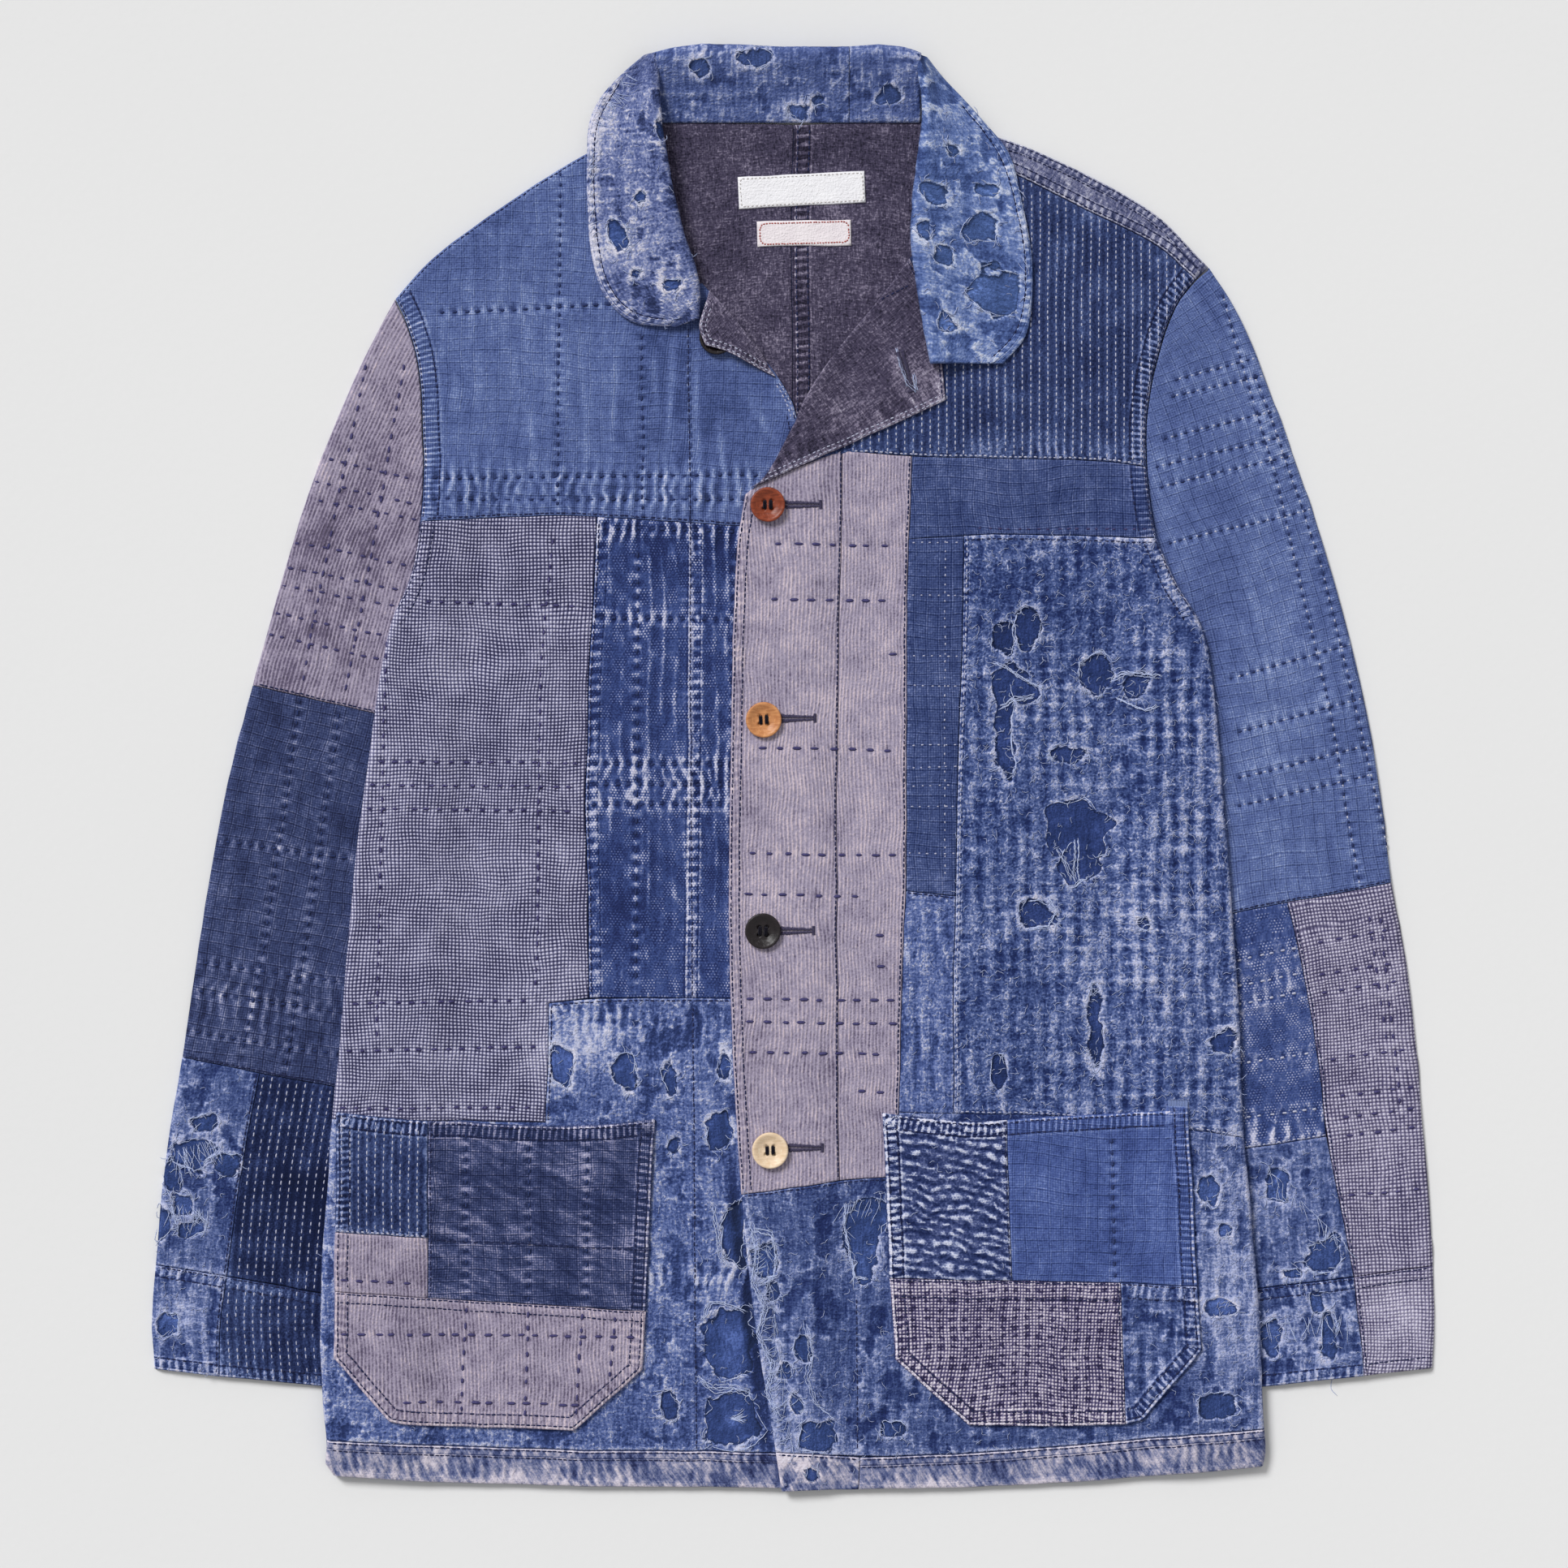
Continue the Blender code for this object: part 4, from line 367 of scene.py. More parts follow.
# holes worn through the top cloth: piece: x, y, half width, half height, how frayed
HOLES = {
    "left_front_boro": [
        (127, 80, 7, 13, 1.0), (114, 71.5, 5.5, 9, 0.8), (116, 47, 9, 9, 1.0), (125.5, 42, 8, 5.5, 1.0),
        (113.5, 24, 5, 22, 0.8), (163, 50.5, 8, 9.5, 1.2), (186, 44, 8, 8, 1.0),
        (153.5, -34, 16, 14.5, 1.1), (156, -52, 9.5, 10.5, 1.1), (131, -79, 10, 6.5, 1.1),
        (189, -83, 3.5, 3, 1.0), (163.5, -140, 3.6, 21, 0.8), (111, -165, 4.5, 9, 1.0),
        (233, -147, 6.5, 7, 1.3), (149, 8, 10, 4, 1.0),
    ],
    "left_front_lower": [
        (225.5, -229.5, 5.5, 7.5, 1.0), (228.6, -345, 10, 6.5, 0.7), (233, -250, 3.5, 4, 0.8),
        (231, -291, 7, 4.5, 0.5), (-17, -266, 6.5, 11, 1.6), (38.5, -253, 11, 22, 1.2),
        (4.6, -314, 4.5, 6.5, 1.0), (13.4, -361, 9, 9, 0.8), (-4, -327, 4, 5, 1.2), (52, -358, 7, 5, 1.0),
        (-12, -285, 3.5, 5, 1.4), (2, -345, 4, 6, 1.2),
    ],
    "right_front_lower": [
        (-125, -160, 5.5, 10, 1.1), (-91, -163.5, 6.5, 10, 1.1), (-68, -165, 4, 9, 0.7),
        (-37, -159.5, 3.5, 8, 0.8), (-41, -196, 7.5, 9, 0.9), (-33, -250, 7.5, 19, 1.0),
        (-35, -311, 15, 19, 0.9), (-34, -353.5, 16, 14, 0.9), (-64, -205, 3.5, 5, 0.5),
        (-68, -345, 5, 7, 1.0),
    ],
    "right_sleeve_boro": [
        (-326, -208, 11, 9, 1.4), (-307, -214, 6, 6, 1.0), (-338, -220, 5, 9, 1.2),
        (-332, -238, 7, 6, 1.2), (-328, -249, 8, 5, 1.4), (-342, -247, 4, 8, 1.3), (-318, -192, 8, 4, 1.0),
    ],
    "right_cuff_boro": [(-340, -302, 6, 8, 1.5)],
    "left_sleeve_boro": [
        (262.5, -225.5, 6.5, 11, 1.1), (287, -264, 8, 9, 1.4), (270, -274, 6, 3, 1.0),
    ],
    "left_cuff_boro": [(258.5, -309, 5, 10, 1.0), (290, -307, 4.5, 11, 1.0), (284.5, -289, 4, 5, 1.0)],
    "left_hem_end": [(10, -382, 5, 4, 0.6)],
    "collar_wing_right": [
        (-95, 288, 5, 7.5, 1.3), (-83, 309, 3, 3.5, 1.0), (-86, 268, 3, 2.5, 1.0), (-66, 262, 5, 3, 0.8),
        (-72, 346, 2.6, 5, 0.7),
    ],
    "collar_wing_left": [
        (86, 335, 3.5, 3.5, 0.8), (75.5, 311, 6, 5.5, 0.9), (100.5, 293, 9, 7.5, 1.0),
        (80, 278, 5, 5, 0.9), (107, 258, 13, 12, 0.9), (82.5, 241, 6, 6, 0.8), (70, 291, 4, 6, 0.8),
        (104, 314, 5, 4, 0.6),
    ],
    "collar_back_right": [
        (-50, 379, 6, 4, 0.6), (-22, 384, 8, 5, 0.9), (3, 357, 5.5, 4, 1.4), (12, 363, 3.5, 2.4, 0.9),
    ],
    "collar_back_left": [(52, 366, 6, 4.5, 0.5)],
}

# faded places, and a few painted shadows: piece or layer: x, y, half width, half height, turn, how pale (below 0
# darker)
FADES_AND_SHADOWS = {
    "front_r": [
        (-140, 215, 60, 40, 0, 0.25), (-60, 175, 40, 30, 0, 0.3), (-30, 150, 34, 18, 0, 0.35),
        (-60, 200, 50, 50, 0, -0.25), (-180, 300, 60, 20, 35, -0.25), (-90, 240, 26, 26, 0, -0.25),
        (-190, 60, 40, 60, 20, 0.12), (-180, -60, 44, 90, 8, 0.1), (-215, -160, 30, 40, 0, 0.2),
        (-60, 60, 10, 70, 0, 0.3), (-60, -60, 9, 60, 0, 0.35), (-90, -70, 12, 60, 0, -0.35),
        (-20, -60, 14, 60, 0, -0.2), (-110, -148, 34, 20, 0, 0.9), (-60, -185, 14, 40, 0, 0.4),
        (-68, -290, 10, 34, 0, 0.45), (-40, -275, 26, 8, 0, 0.6), (-20, -222, 20, 16, 0, 0.35),
        (-90, -355, 30, 12, 0, -0.1), (-235, -345, 14, 18, 0, 0.4), (-170, -364, 60, 5, 0, -0.25),
        (-30, -330, 8, 30, 10, 0.5), (-62, 190, 40, 60, 0, -0.7),
    ],
    "left_pocket_ripstop": [(160, -235, 60, 60, 0, -0.35)],
    "left_front_hem": [(145, -380, 120, 20, 0, -0.1)],
    "left_cuff_boro": [(262, -310, 40, 30, 0, -0.4), (262, -310, 50, 30, 0, 0.9)],
    "right_front_upper": [
        (-67, 205, 2.0, 26, -2, 1.7), (-76, 214, 1.9, 15, 3, 1.2), (-53, 192, 2.2, 38, 1, 1.3),
        (-98, 196, 1.8, 26, -3, 1.1), (-113, 186, 1.8, 24, 2, 1.1), (-142, 176, 2.0, 20, 3, 0.8),
        (-40, 174, 2.0, 16, 5, 1.3), (-18, 190, 2.4, 13, 30, 1.0), (-182, 186, 3.0, 26, 4, 0.4),
    ],
    "right_front_lower": [
        # the first is a painted shadow on this front along the left front's edge, which lies over it; the other
        # two are worn pale at holes
        (-24.2, -300, 3.4, 92, 7.3, -3.0), (-34, -353.5, 4, 4, 0, 1.6), (-35, -309, 7, 4, 0, 0.9),
    ],
    "left_front_lower": [(-16, -318, 4.5, 60, 7.3, 1.1)],
    "left_front_boro": [(140, 96, 80, 40, 0, -0.4)],
    "front_l": [
        (165, -80, 56, 40, 0, 0.5), (215, -60, 16, 70, 0, 0.35), (112, -130, 24, 50, 0, -0.35),
        (200, 60, 20, 40, 0, 0.2), (110, 100, 20, 20, 0, -0.15), (180, -110, 30, 40, 0, 0.25),
        (140, 8, 50, 12, 0, 0.3), (72, -125, 12, 60, 0, 0.45), (196, 200, 7, 40, -5, 0.5),
        (186, 172, 22, 7, 0, 0.5), (130, 175, 70, 6, 0, 0.35), (232, -240, 18, 50, 0, 0.9),
        (235, -300, 20, 40, 0, 1.0), (20, -300, 26, 60, 0, 0.1), (-12, -310, 9, 60, 12, 0.8),
        (-3, -378, 12, 14, 0, 0.9), (60, -345, 30, 18, 0, 0.35), (10, -243, 30, 10, 0, -0.3),
        (12, 30, 40, 150, 0, 0.35), (-10, 100, 12, 60, 0, -0.08),
    ],
    "pocket_r": [
        (-135, -228, 50, 30, -20, -0.25), (-115, -222, 20, 8, -25, 0.45), (-160, -240, 16, 6, 20, 0.4),
        (-100, -258, 16, 10, 10, 0.5), (-150, -206, 40, 5, -8, 0.3), (-170, -310, 90, 60, 0, -0.3),
    ],
    "right_pocket_stripe_upper": [(-224, -270, 30, 20, 0, -0.5)],
    "pocket_l": [
        (150, -235, 30, 30, 0, 0.05), (196, -236, 10, 40, 0, 0.35), (84, -232, 30, 38, 0, 0.1),
        (198, -330, 14, 18, 40, 0.4),
    ],
    "right_sleeve_upper": [(-262, 120, 60, 110, -12, -0.9)],
    "right_sleeve_sashiko": [(-260, -230, 50, 70, 0, -1.3)],
    "right_cuff_sashiko": [(-260, -310, 50, 30, 0, -0.4)],
    "sleeve_r": [
        # the first is painted shade down the sleeve's inner side beside the front's edge; the others are worn
        # pale
        (-216, 170, 8, 60, -8, -0.35), (-300, -20, 20, 60, -10, 0.1), (-280, -128, 50, 24, 8, 0.25),
        (-324, -272, 26, 4, -8, 1.1), (-342, -190, 8, 40, -4, 0.5), (-318, -255, 14, 10, 0, 0.4),
        (-322, -318, 24, 8, -6, 0.4), (-330, -300, 14, 12, 0, 0.45),
    ],
    "sleeve_l": [
        (258, 60, 22, 110, 8, 0.45), (300, 20, 16, 100, 8, -0.2), (232, 130, 12, 70, 8, -0.3),
        (270, 200, 12, 70, 22, 0.15), (252, -240, 22, 24, 0, 0.3), (270, -310, 26, 22, 0, 0.5),
        (274, -270, 12, 14, 0, 0.5), (262, -198, 18, 5, 8, 0.6), (330, -150, 16, 60, 5, 0.1),
    ],
    "collar_wing_right": [
        (-107, 300, 6, 60, 0, 1.0), (-86, 282, 22, 14, 20, 0.8), (-72, 262, 16, 10, 0, 0.7),
        (-104, 350, 10, 16, 0, 0.7), (-90, 320, 12, 16, 0, 0.1),
    ],
    "collar_wing_left": [
        (122, 300, 6, 60, 5, 0.7), (96, 226, 20, 8, 0, 0.4), (86, 350, 14, 20, 0, 0.3),
        (98, 300, 40, 90, 0, 0.2),
    ],
    "collar_back_right": [
        (-45, 388, 30, 5, 0, 0.7), (3, 360, 14, 6, 0, 1.0), (-60, 362, 10, 14, 0, 0.2),
        (-30, 372, 60, 20, 0, 0.2),
    ],
    "collar_back_left": [(40, 388, 30, 5, 0, 0.5)],
    "right_front_dobby": [(-50, 115, 60, 24, 0, -0.5), (-50, -10, 70, 140, 0, -0.25)],
    "left_sleeve_dobby": [(250, -140, 40, 60, 0, 0.3)],
    "left_cuff_gingham": [(328, -300, 30, 30, 0, 0.5)],
    "right_sleeve_boro": [(-324, -220, 40, 50, 0, 0.3)],
    "right_cuff_boro": [(-330, -300, 30, 30, 0, 0.5)],
    "left_sleeve_boro": [(256, -240, 40, 40, 0, 0.3)],
    "lining": [(20, 250, 60, 50, 0, 0.1), (-60, 230, 20, 20, 0, 0.15)],
    "lapel_l": [
        (40, 188, 40, 7, -25, 0.7), (76, 208, 9, 10, 0, 0.9), (57, 216, 5, 13, 14, 1.0),
        (66, 208, 5, 9, -10, 0.9),
    ],
}

# main folds: layers: start, end, half width, height
BODY = ("front_r", "front_l", "pocket_r", "pocket_l", "lapel_l", "lapel_r", "back")
CREASES = {
    BODY: [
        ((-228, 60), (-160, 112), 9, 0.9), ((-222, 30), (-150, 84), 8, -0.7),
        ((-214, -20), (-165, 60), 10, 0.7), ((-206, -70), (-176, 30), 12, -0.6),
        ((-190, -120), (-160, -30), 10, 0.6), ((-232, -130), (-206, -50), 9, 0.6),
        ((-150, -100), (-132, -20), 9, -0.5), ((-238, -175), (-200, -110), 8, 0.8),
        ((-224, -180), (-186, -150), 7, -0.6), ((-200, 290), (-150, 200), 16, 0.8),
        ((-118, 250), (-104, 160), 9, -0.6), ((-100, 230), (-92, 150), 8, 0.7),
        ((-70, 230), (-64, 150), 8, -0.6), ((-46, 225), (-30, 150), 9, 0.8),
        ((-20, 205), (-12, 140), 7, -0.5), ((-180, 150), (-120, 210), 12, 0.5),
        ((-96, 60), (-94, -90), 7, -0.8), ((-74, 110), (-74, -110), 6, 0.7),
        ((-40, 110), (-42, -110), 7, 0.6), ((-18, 100), (-20, -100), 6, -0.5),
        ((-80, -220), (-66, -330), 8, 0.7), ((-60, -200), (-50, -280), 7, -0.6),
        ((230, 40), (190, 110), 9, 0.8), ((224, 0), (190, 60), 9, -0.6),
        ((205, -20), (196, -170), 10, 0.7), ((180, -10), (176, -180), 8, -0.5),
        ((120, -60), (124, -180), 9, 0.6), ((140, -90), (146, -180), 7, -0.6),
        ((100, 60), (104, -60), 8, 0.5), ((228, -210), (240, -350), 8, 0.9),
        ((10, -240), (20, -360), 9, 0.8), ((30, -250), (44, -350), 8, -0.6),
        ((200, 240), (186, 170), 8, 0.8), ((150, 310), (170, 180), 14, 0.4),
        ((40, 250), (10, 190), 9, -0.7), ((60, 240), (40, 190), 8, 0.8),
        ((-178, -210), (-90, -244), 6, 0.8), ((-172, -222), (-96, -232), 5, -0.6),
        ((-190, -240), (-120, -206), 6, 0.6), ((-140, -270), (-84, -240), 6, 0.6),
        ((-160, -256), (-100, -262), 4, -0.8), ((140, -200), (150, -270), 8, 0.5),
    ],
    ("sleeve_r",): [
        ((-232, 220), (-262, 60), 10, 1.0), ((-214, 200), (-226, 60), 8, -1.2),
        ((-252, 150), (-280, 70), 8, -0.6), ((-276, 60), (-250, 20), 8, 0.6),
        ((-300, 20), (-312, -90), 10, 0.8), ((-264, 20), (-284, -100), 9, -0.7),
        ((-330, -110), (-250, -126), 6, 0.9), ((-328, -124), (-248, -140), 5, -0.7),
        ((-330, -138), (-256, -152), 5, 0.8), ((-276, -180), (-286, -320), 7, 0.6),
    ],
    ("sleeve_l",): [
        ((240, 240), (262, 60), 12, 1.0), ((262, 170), (290, -20), 12, -0.8),
        ((232, 110), (244, -40), 9, -0.8), ((296, 60), (310, -40), 9, 0.7),
        ((250, -80), (262, -190), 8, 0.6), ((306, -100), (328, -240), 10, 0.7),
        ((320, -180), (334, -310), 7, -0.5), ((262, -240), (276, -320), 8, 0.7),
    ],
    ("lining",): [
        ((-70, 320), (-20, 220), 10, 0.5), ((70, 320), (30, 230), 12, 0.5),
        ((-50, 334), (60, 330), 8, -0.4), ((-60, 290), (-16, 262), 8, -0.4),
        ((20, 270), (66, 300), 9, -0.4),
    ],
}

# gathered stretches: piece: start, end, reach on each side, pitch, height
GATHERS = {
    "right_front_upper": [((-200, 150), (-2, 151), 13, 6.4, 0.8)],
    "right_front_dobby": [
        ((-108, 130), (4, 128), 10, 6.4, 0.7), ((-110, 82), (4, 80), 6, 6.2, 0.35),
        ((-110, -8), (4, -9), 17, 6.2, 0.6),
    ],
    "right_front_lower": [((-130, -136), (0, -136), 10, 5.6, 0.5), ((-80, -276), (0, -276), 8, 6.4, 0.6)],
    "right_front_hem": [((-254, -377), (6, -381), 9, 7.4, 0.35)],
    "left_front_hem": [((36, -383), (254, -369), 9, 7.0, 0.35)],
    "left_front_yoke": [((60, 172), (188, 168), 6, 4.7, 0.3)],
    "left_lapel": [((-16, 163), (80, 204), 8, 7.6, 0.6)],
    "left_sleeve_dobby": [((214, -202), (290, -196), 8, 8.6, 0.7)],
    "right_sleeve_middle": [((-330, -122), (-240, -136), 20, 7.0, 0.6)],
}

# close rows of stitches: piece: pitch across, pitch along, height
QUILTS = {
    "left_front_boro": (8.8, 8.8, 0.6), "left_front_lower": (8.8, 8.8, 0.36),
    "right_front_lower": (9.2, 9.0, 0.22), "right_sleeve_boro": (8.6, 8.0, 0.35),
    "right_cuff_boro": (8.0, 7.0, 0.4), "left_sleeve_boro": (8.6, 8.0, 0.35),
    "left_cuff_boro": (8.6, 8.0, 0.35), "left_front_worn_strip": (8.8, 4.6, 0.45),
    "left_pocket_boro": (8.0, 7.0, 0.9), "left_hem_end": (7.0, 6.0, 0.3),
    "collar_wing_right": (9.0, 4.4, 0.25), "collar_wing_left": (9.0, 7.0, 0.22),
    "collar_back_right": (5.0, 6.0, 0.25), "collar_back_left": (5.0, 6.0, 0.2),
    "left_pocket_gingham": (5.6, 6.6, 0.3), "right_pocket_ripstop": (7.0, 7.0, 0.22),
}

# outer layer worn off in small scales: piece: their size, share of the cloth that is gone
FLAKES = {
    "left_front_lower": (9.5, 0.34), "right_front_lower": (10.0, 0.26), "right_sleeve_boro": (9.0, 0.34),
    "right_cuff_boro": (8.0, 0.28), "left_sleeve_boro": (10.0, 0.26), "left_cuff_boro": (9.0, 0.3),
    "collar_wing_left": (9.0, 0.38), "collar_wing_right": (9.0, 0.16), "collar_back_right": (8.0, 0.16),
    "collar_back_left": (9.0, 0.14), "left_pocket_boro": (6.0, 0.2), "left_hem_end": (6.0, 0.25),
}


# ------------------------------------------------------------------ numbers and noise
def smooth(value, low, high):
    """0 below low, 1 above high, with a soft curve between; low may be the larger one."""
    t = np.clip((value - low) / (high - low), 0.0, 1.0)
    return t * t * (3.0 - 2.0 * t)


LATTICES = {}


def noise(x, y, size, seed):
    """Smooth noise from -1 to 1 with lumps of that size."""
    if seed not in LATTICES:
        LATTICES[seed] = np.random.default_rng(seed).uniform(-1.0, 1.0, (256, 256))
    grid = LATTICES[seed]
    u, v = x / size + 999.3, y / size + 999.7
    i, j = np.floor(u).astype(int), np.floor(v).astype(int)
    f, g = u - i, v - j
    f, g = f * f * (3 - 2 * f), g * g * (3 - 2 * g)
    i, j, k, m = i % 256, j % 256, (i + 1) % 256, (j + 1) % 256
    return (grid[i, j] * (1 - f) + grid[k, j] * f) * (1 - g) + (grid[i, m] * (1 - f) + grid[k, m] * f) * g


def wander(points):
    """Sewn lines are never quite straight: the same small shift for all that lies in one place."""
    x, y = points[:, 0], points[:, 1]
    dx = 0.45 * noise(x, y, 34.0, 1) + 0.22 * noise(x, y, 11.0, 2)
    dy = 0.45 * noise(x, y, 34.0, 3) + 0.22 * noise(x, y, 11.0, 4)
    return np.stack([x + dx, y + dy], axis=1)


# ------------------------------------------------------------------ lines
def rounded(points, closed, passes=2, limit=28.0):
    """Cuts the blunt corners of a line, and keeps the sharp ones."""
    points = np.asarray(points, float)
    for _ in range(passes):
        before, after = np.roll(points, 1, axis=0), np.roll(points, -1, axis=0)
        a, b = points - before, after - points
        turn = np.degrees(np.abs(np.arctan2(a[:, 0] * b[:, 1] - a[:, 1] * b[:, 0], (a * b).sum(1))))
        keep = turn > limit
        if not closed:
            keep[0] = keep[-1] = True
        result = []
        for k, point in enumerate(points):
            if keep[k]:
                result.append(point)
            else:
                result += [0.75 * point + 0.25 * before[k], 0.75 * point + 0.25 * after[k]]
        points = np.array(result)
    return points


def spaced(points, step, closed):
    """The line again with no gap longer than step."""
    ends = np.roll(points, -1, axis=0) if closed else points[1:]
    result = []
    for a, b in zip(points, ends):
        count = max(1, math.ceil(np.hypot(*(b - a)) / step - 1e-6))
        result += [a + (b - a) * k / count for k in range(count)]
    if not closed:
        result.append(points[-1])
    return np.array(result)


def near(line, x, y):
    """Distance to a line, the length along it there, and the side: 1 on its left, -1 on its right."""
    best, s, side = np.full(x.shape, 1e9), np.zeros(x.shape), np.ones(x.shape)
    run = 0.0
    for (x0, y0), (x1, y1) in zip(line[:-1], line[1:]):
        dx, dy = x1 - x0, y1 - y0
        length = math.hypot(dx, dy)
        if length < 1e-9:
            continue
        t = np.clip(((x - x0) * dx + (y - y0) * dy) / length ** 2, 0.0, 1.0)
        d = np.hypot(x - x0 - t * dx, y - y0 - t * dy)
        hit = d < best
        best, s = np.where(hit, d, best), np.where(hit, run + t * length, s)
        side = np.where(hit, np.sign(dx * (y - y0) - dy * (x - x0)), side)
        run += length
    return best, s, side


def edge_distance(loop, x, y, reach=4.0):
    """Distance to a closed outline, no more than reach."""
    closed = np.vstack([loop, loop[:1]])
    best = np.full(x.shape, reach)
    for k in range(0, len(loop), 12):
        part = closed[k:k + 13]
        (x0, y0), (x1, y1) = part.min(axis=0) - reach, part.max(axis=0) + reach
        box = np.flatnonzero((x > x0) & (x < x1) & (y > y0) & (y < y1))
        if len(box):
            best[box] = np.minimum(best[box], near(part, x[box], y[box])[0])
    return best


def inside(loop, x, y):
    hit = np.zeros(x.shape, bool)
    for (x0, y0), (x1, y1) in zip(loop, np.roll(loop, -1, axis=0)):
        if y0 != y1:
            hit ^= ((y0 > y) != (y1 > y)) & (x < (x1 - x0) * (y - y0) / (y1 - y0) + x0)
    return hit


def at(line, s):
    """Places and directions at lengths along a line."""
    line = np.asarray(line, float)
    steps = np.hypot(*np.diff(line, axis=0).T)
    run = np.concatenate([[0.0], np.cumsum(steps)])
    place = np.stack([np.interp(s, run, line[:, k]) for k in (0, 1)], axis=1)
    k = np.clip(np.searchsorted(run, s, side="right") - 1, 0, len(steps) - 1)
    way = np.diff(line, axis=0)[k] / steps[k][:, None]
    return place, way


def flat_size(loop):
    """Width and length of the smallest rectangle round an outline, turned as needed."""
    best = None
    for degrees in range(0, 90, 3):
        c, s = math.cos(math.radians(degrees)), math.sin(math.radians(degrees))
        laid = loop @ np.array([[c, -s], [s, c]])
        size = laid.max(axis=0) - laid.min(axis=0)
        if best is None or size.prod() < best.prod():
            best = size
    return best


def length_of(line):
    return float(np.hypot(*np.diff(np.asarray(line, float), axis=0).T).sum())


def area_of(loop):
    x, y = loop[:, 0], loop[:, 1]
    return 0.5 * float((x * np.roll(y, -1) - np.roll(x, -1) * y).sum())


# ------------------------------------------------------------------ outlines from the frame
def plan_outline(name, upper=True):
    """Outline in plan of a CAD node's upper or lower face, anticlockwise, in jacket millimetres."""
    mesh = nodes[name].data
    mesh.calc_loop_triangles()
    co = np.empty(len(mesh.vertices) * 3, np.float32)
    tri = np.empty(len(mesh.loop_triangles) * 3, np.int32)
    mesh.vertices.foreach_get("co", co)
    mesh.loop_triangles.foreach_get("vertices", tri)
    co, weld = np.unique(np.round(co.reshape(-1, 3).astype(float), 6), axis=0, return_inverse=True)
    tri = weld.reshape(-1)[tri].reshape(-1, 3)
    normal = np.cross(co[tri[:, 1]] - co[tri[:, 0]], co[tri[:, 2]] - co[tri[:, 0]])
    lift = normal[:, 2] / np.maximum(np.linalg.norm(normal, axis=1), 1e-15)
    tri = tri[lift > 0.35] if upper else tri[lift < -0.35][:, ::-1]
    group = np.arange(len(co))
    for _ in range(400):
        lowest = group[tri].min(axis=1)
        new = group.copy()
        np.minimum.at(new, tri.reshape(-1), np.repeat(lowest, 3))
        if (new == group).all():
            break
        group = new
    heights = {g: co[tri[group[tri[:, 0]] == g]][:, :, 2].mean() for g in set(group[tri[:, 0]])}
    chosen = max(heights, key=heights.get) if upper else min(heights, key=heights.get)
    tri = tri[group[tri[:, 0]] == chosen]
    edges = {(int(a), int(b)) for t in tri for a, b in ((t[0], t[1]), (t[1], t[2]), (t[2], t[0]))}
    following = {a: b for a, b in edges if (b, a) not in edges}
    loops = []
    while following:
        start, here = next(iter(following.items()))
        run = [start]
        del following[start]
        while here != start and here in following:
            run.append(here)
            here = following.pop(here)
        loops.append(co[run][:, :2] / MM - CENTRE)
    loop = max(loops, key=lambda p: abs(area_of(p)))
    return loop if area_of(loop) > 0 else loop[::-1]


def cleaned(loop):
    """Without points that lie on a straight run or on each other."""
    keep = []
    for k, p in enumerate(loop):
        a, b = p - loop[k - 1], loop[(k + 1) % len(loop)] - p
        if np.hypot(*a) < 0.02:
            continue
        if abs(a[0] * b[1] - a[1] * b[0]) > 0.002 * np.hypot(*a) * np.hypot(*b):
            keep.append(p)
    return np.array(keep)


ROLL_EDGES = [
    # piece, its rolled edge, how far that edge moves out
    ("left_lapel", [(5.9, 199), (64, 271)], (-1.5, 1.2)),
    ("right_lapel", [(-48, 262), (-17, 228)], (1.4, 1.3)),
]
LAPEL_TIP, TIP_MOVE = (-46.5, 236.5), (-3.4, -2.6)


def flat_outlines():
    """Plan outlines of the flat pieces; edges that something covers or rolls over move a little."""
    found = {name: rounded(cleaned(plan_outline(name)), True) for name in PANELS}
    for name in ("back_lining_right", "back_lining_left"):
        found[name][:, 1] += 4.0 * smooth(found[name][:, 1], 336.0, 344.0)
    for name, roll, move in ROLL_EDGES:
        beside = near(np.array(roll, float), *found[name].T)[0]
        found[name] = found[name] + smooth(beside, 9.0, 4.0)[:, None] * np.array(move)
    loop = found["right_lapel"]
    beside = np.hypot(*(loop - LAPEL_TIP).T)
    found["right_lapel"] = loop + smooth(beside, 17.0, 5.0)[:, None] * np.array(TIP_MOVE)
    return found


OUTLINES = flat_outlines()
LAYER = {name: row[0] for name, row in PANELS.items()}
LAYER.update({name: "collar" for name in [*WINGS, *COLLAR_BACKS]})
SLEEVE_LINES = {name: rounded(line, False) for name, line in SLEEVE_EDGE.items()}


def stretch(name, start, end, via=None):
    """Part of a piece's outline between two places, and 1 if the piece lies on its left."""
    loop = OUTLINES[name]
    a, b = (int(np.hypot(*(loop - p).T).argmin()) for p in (start, end))
    forward = loop[[k % len(loop) for k in range(a, b + 1 if b > a else b + len(loop) + 1)]]
    backward = loop[[k % len(loop) for k in range(a, (b if b < a else b - len(loop)) - 1, -1)]]
    if via is None:
        ahead = length_of(forward) < length_of(backward)
    else:
        place = np.array(via, float).reshape(2, 1)
        ahead = near(forward, *place)[0][0] < near(backward, *place)[0][0]
    return (forward, 1.0) if ahead else (backward, -1.0)


Seam = namedtuple("Seam", "owner pieces line side width rows pitch strength wear thread")


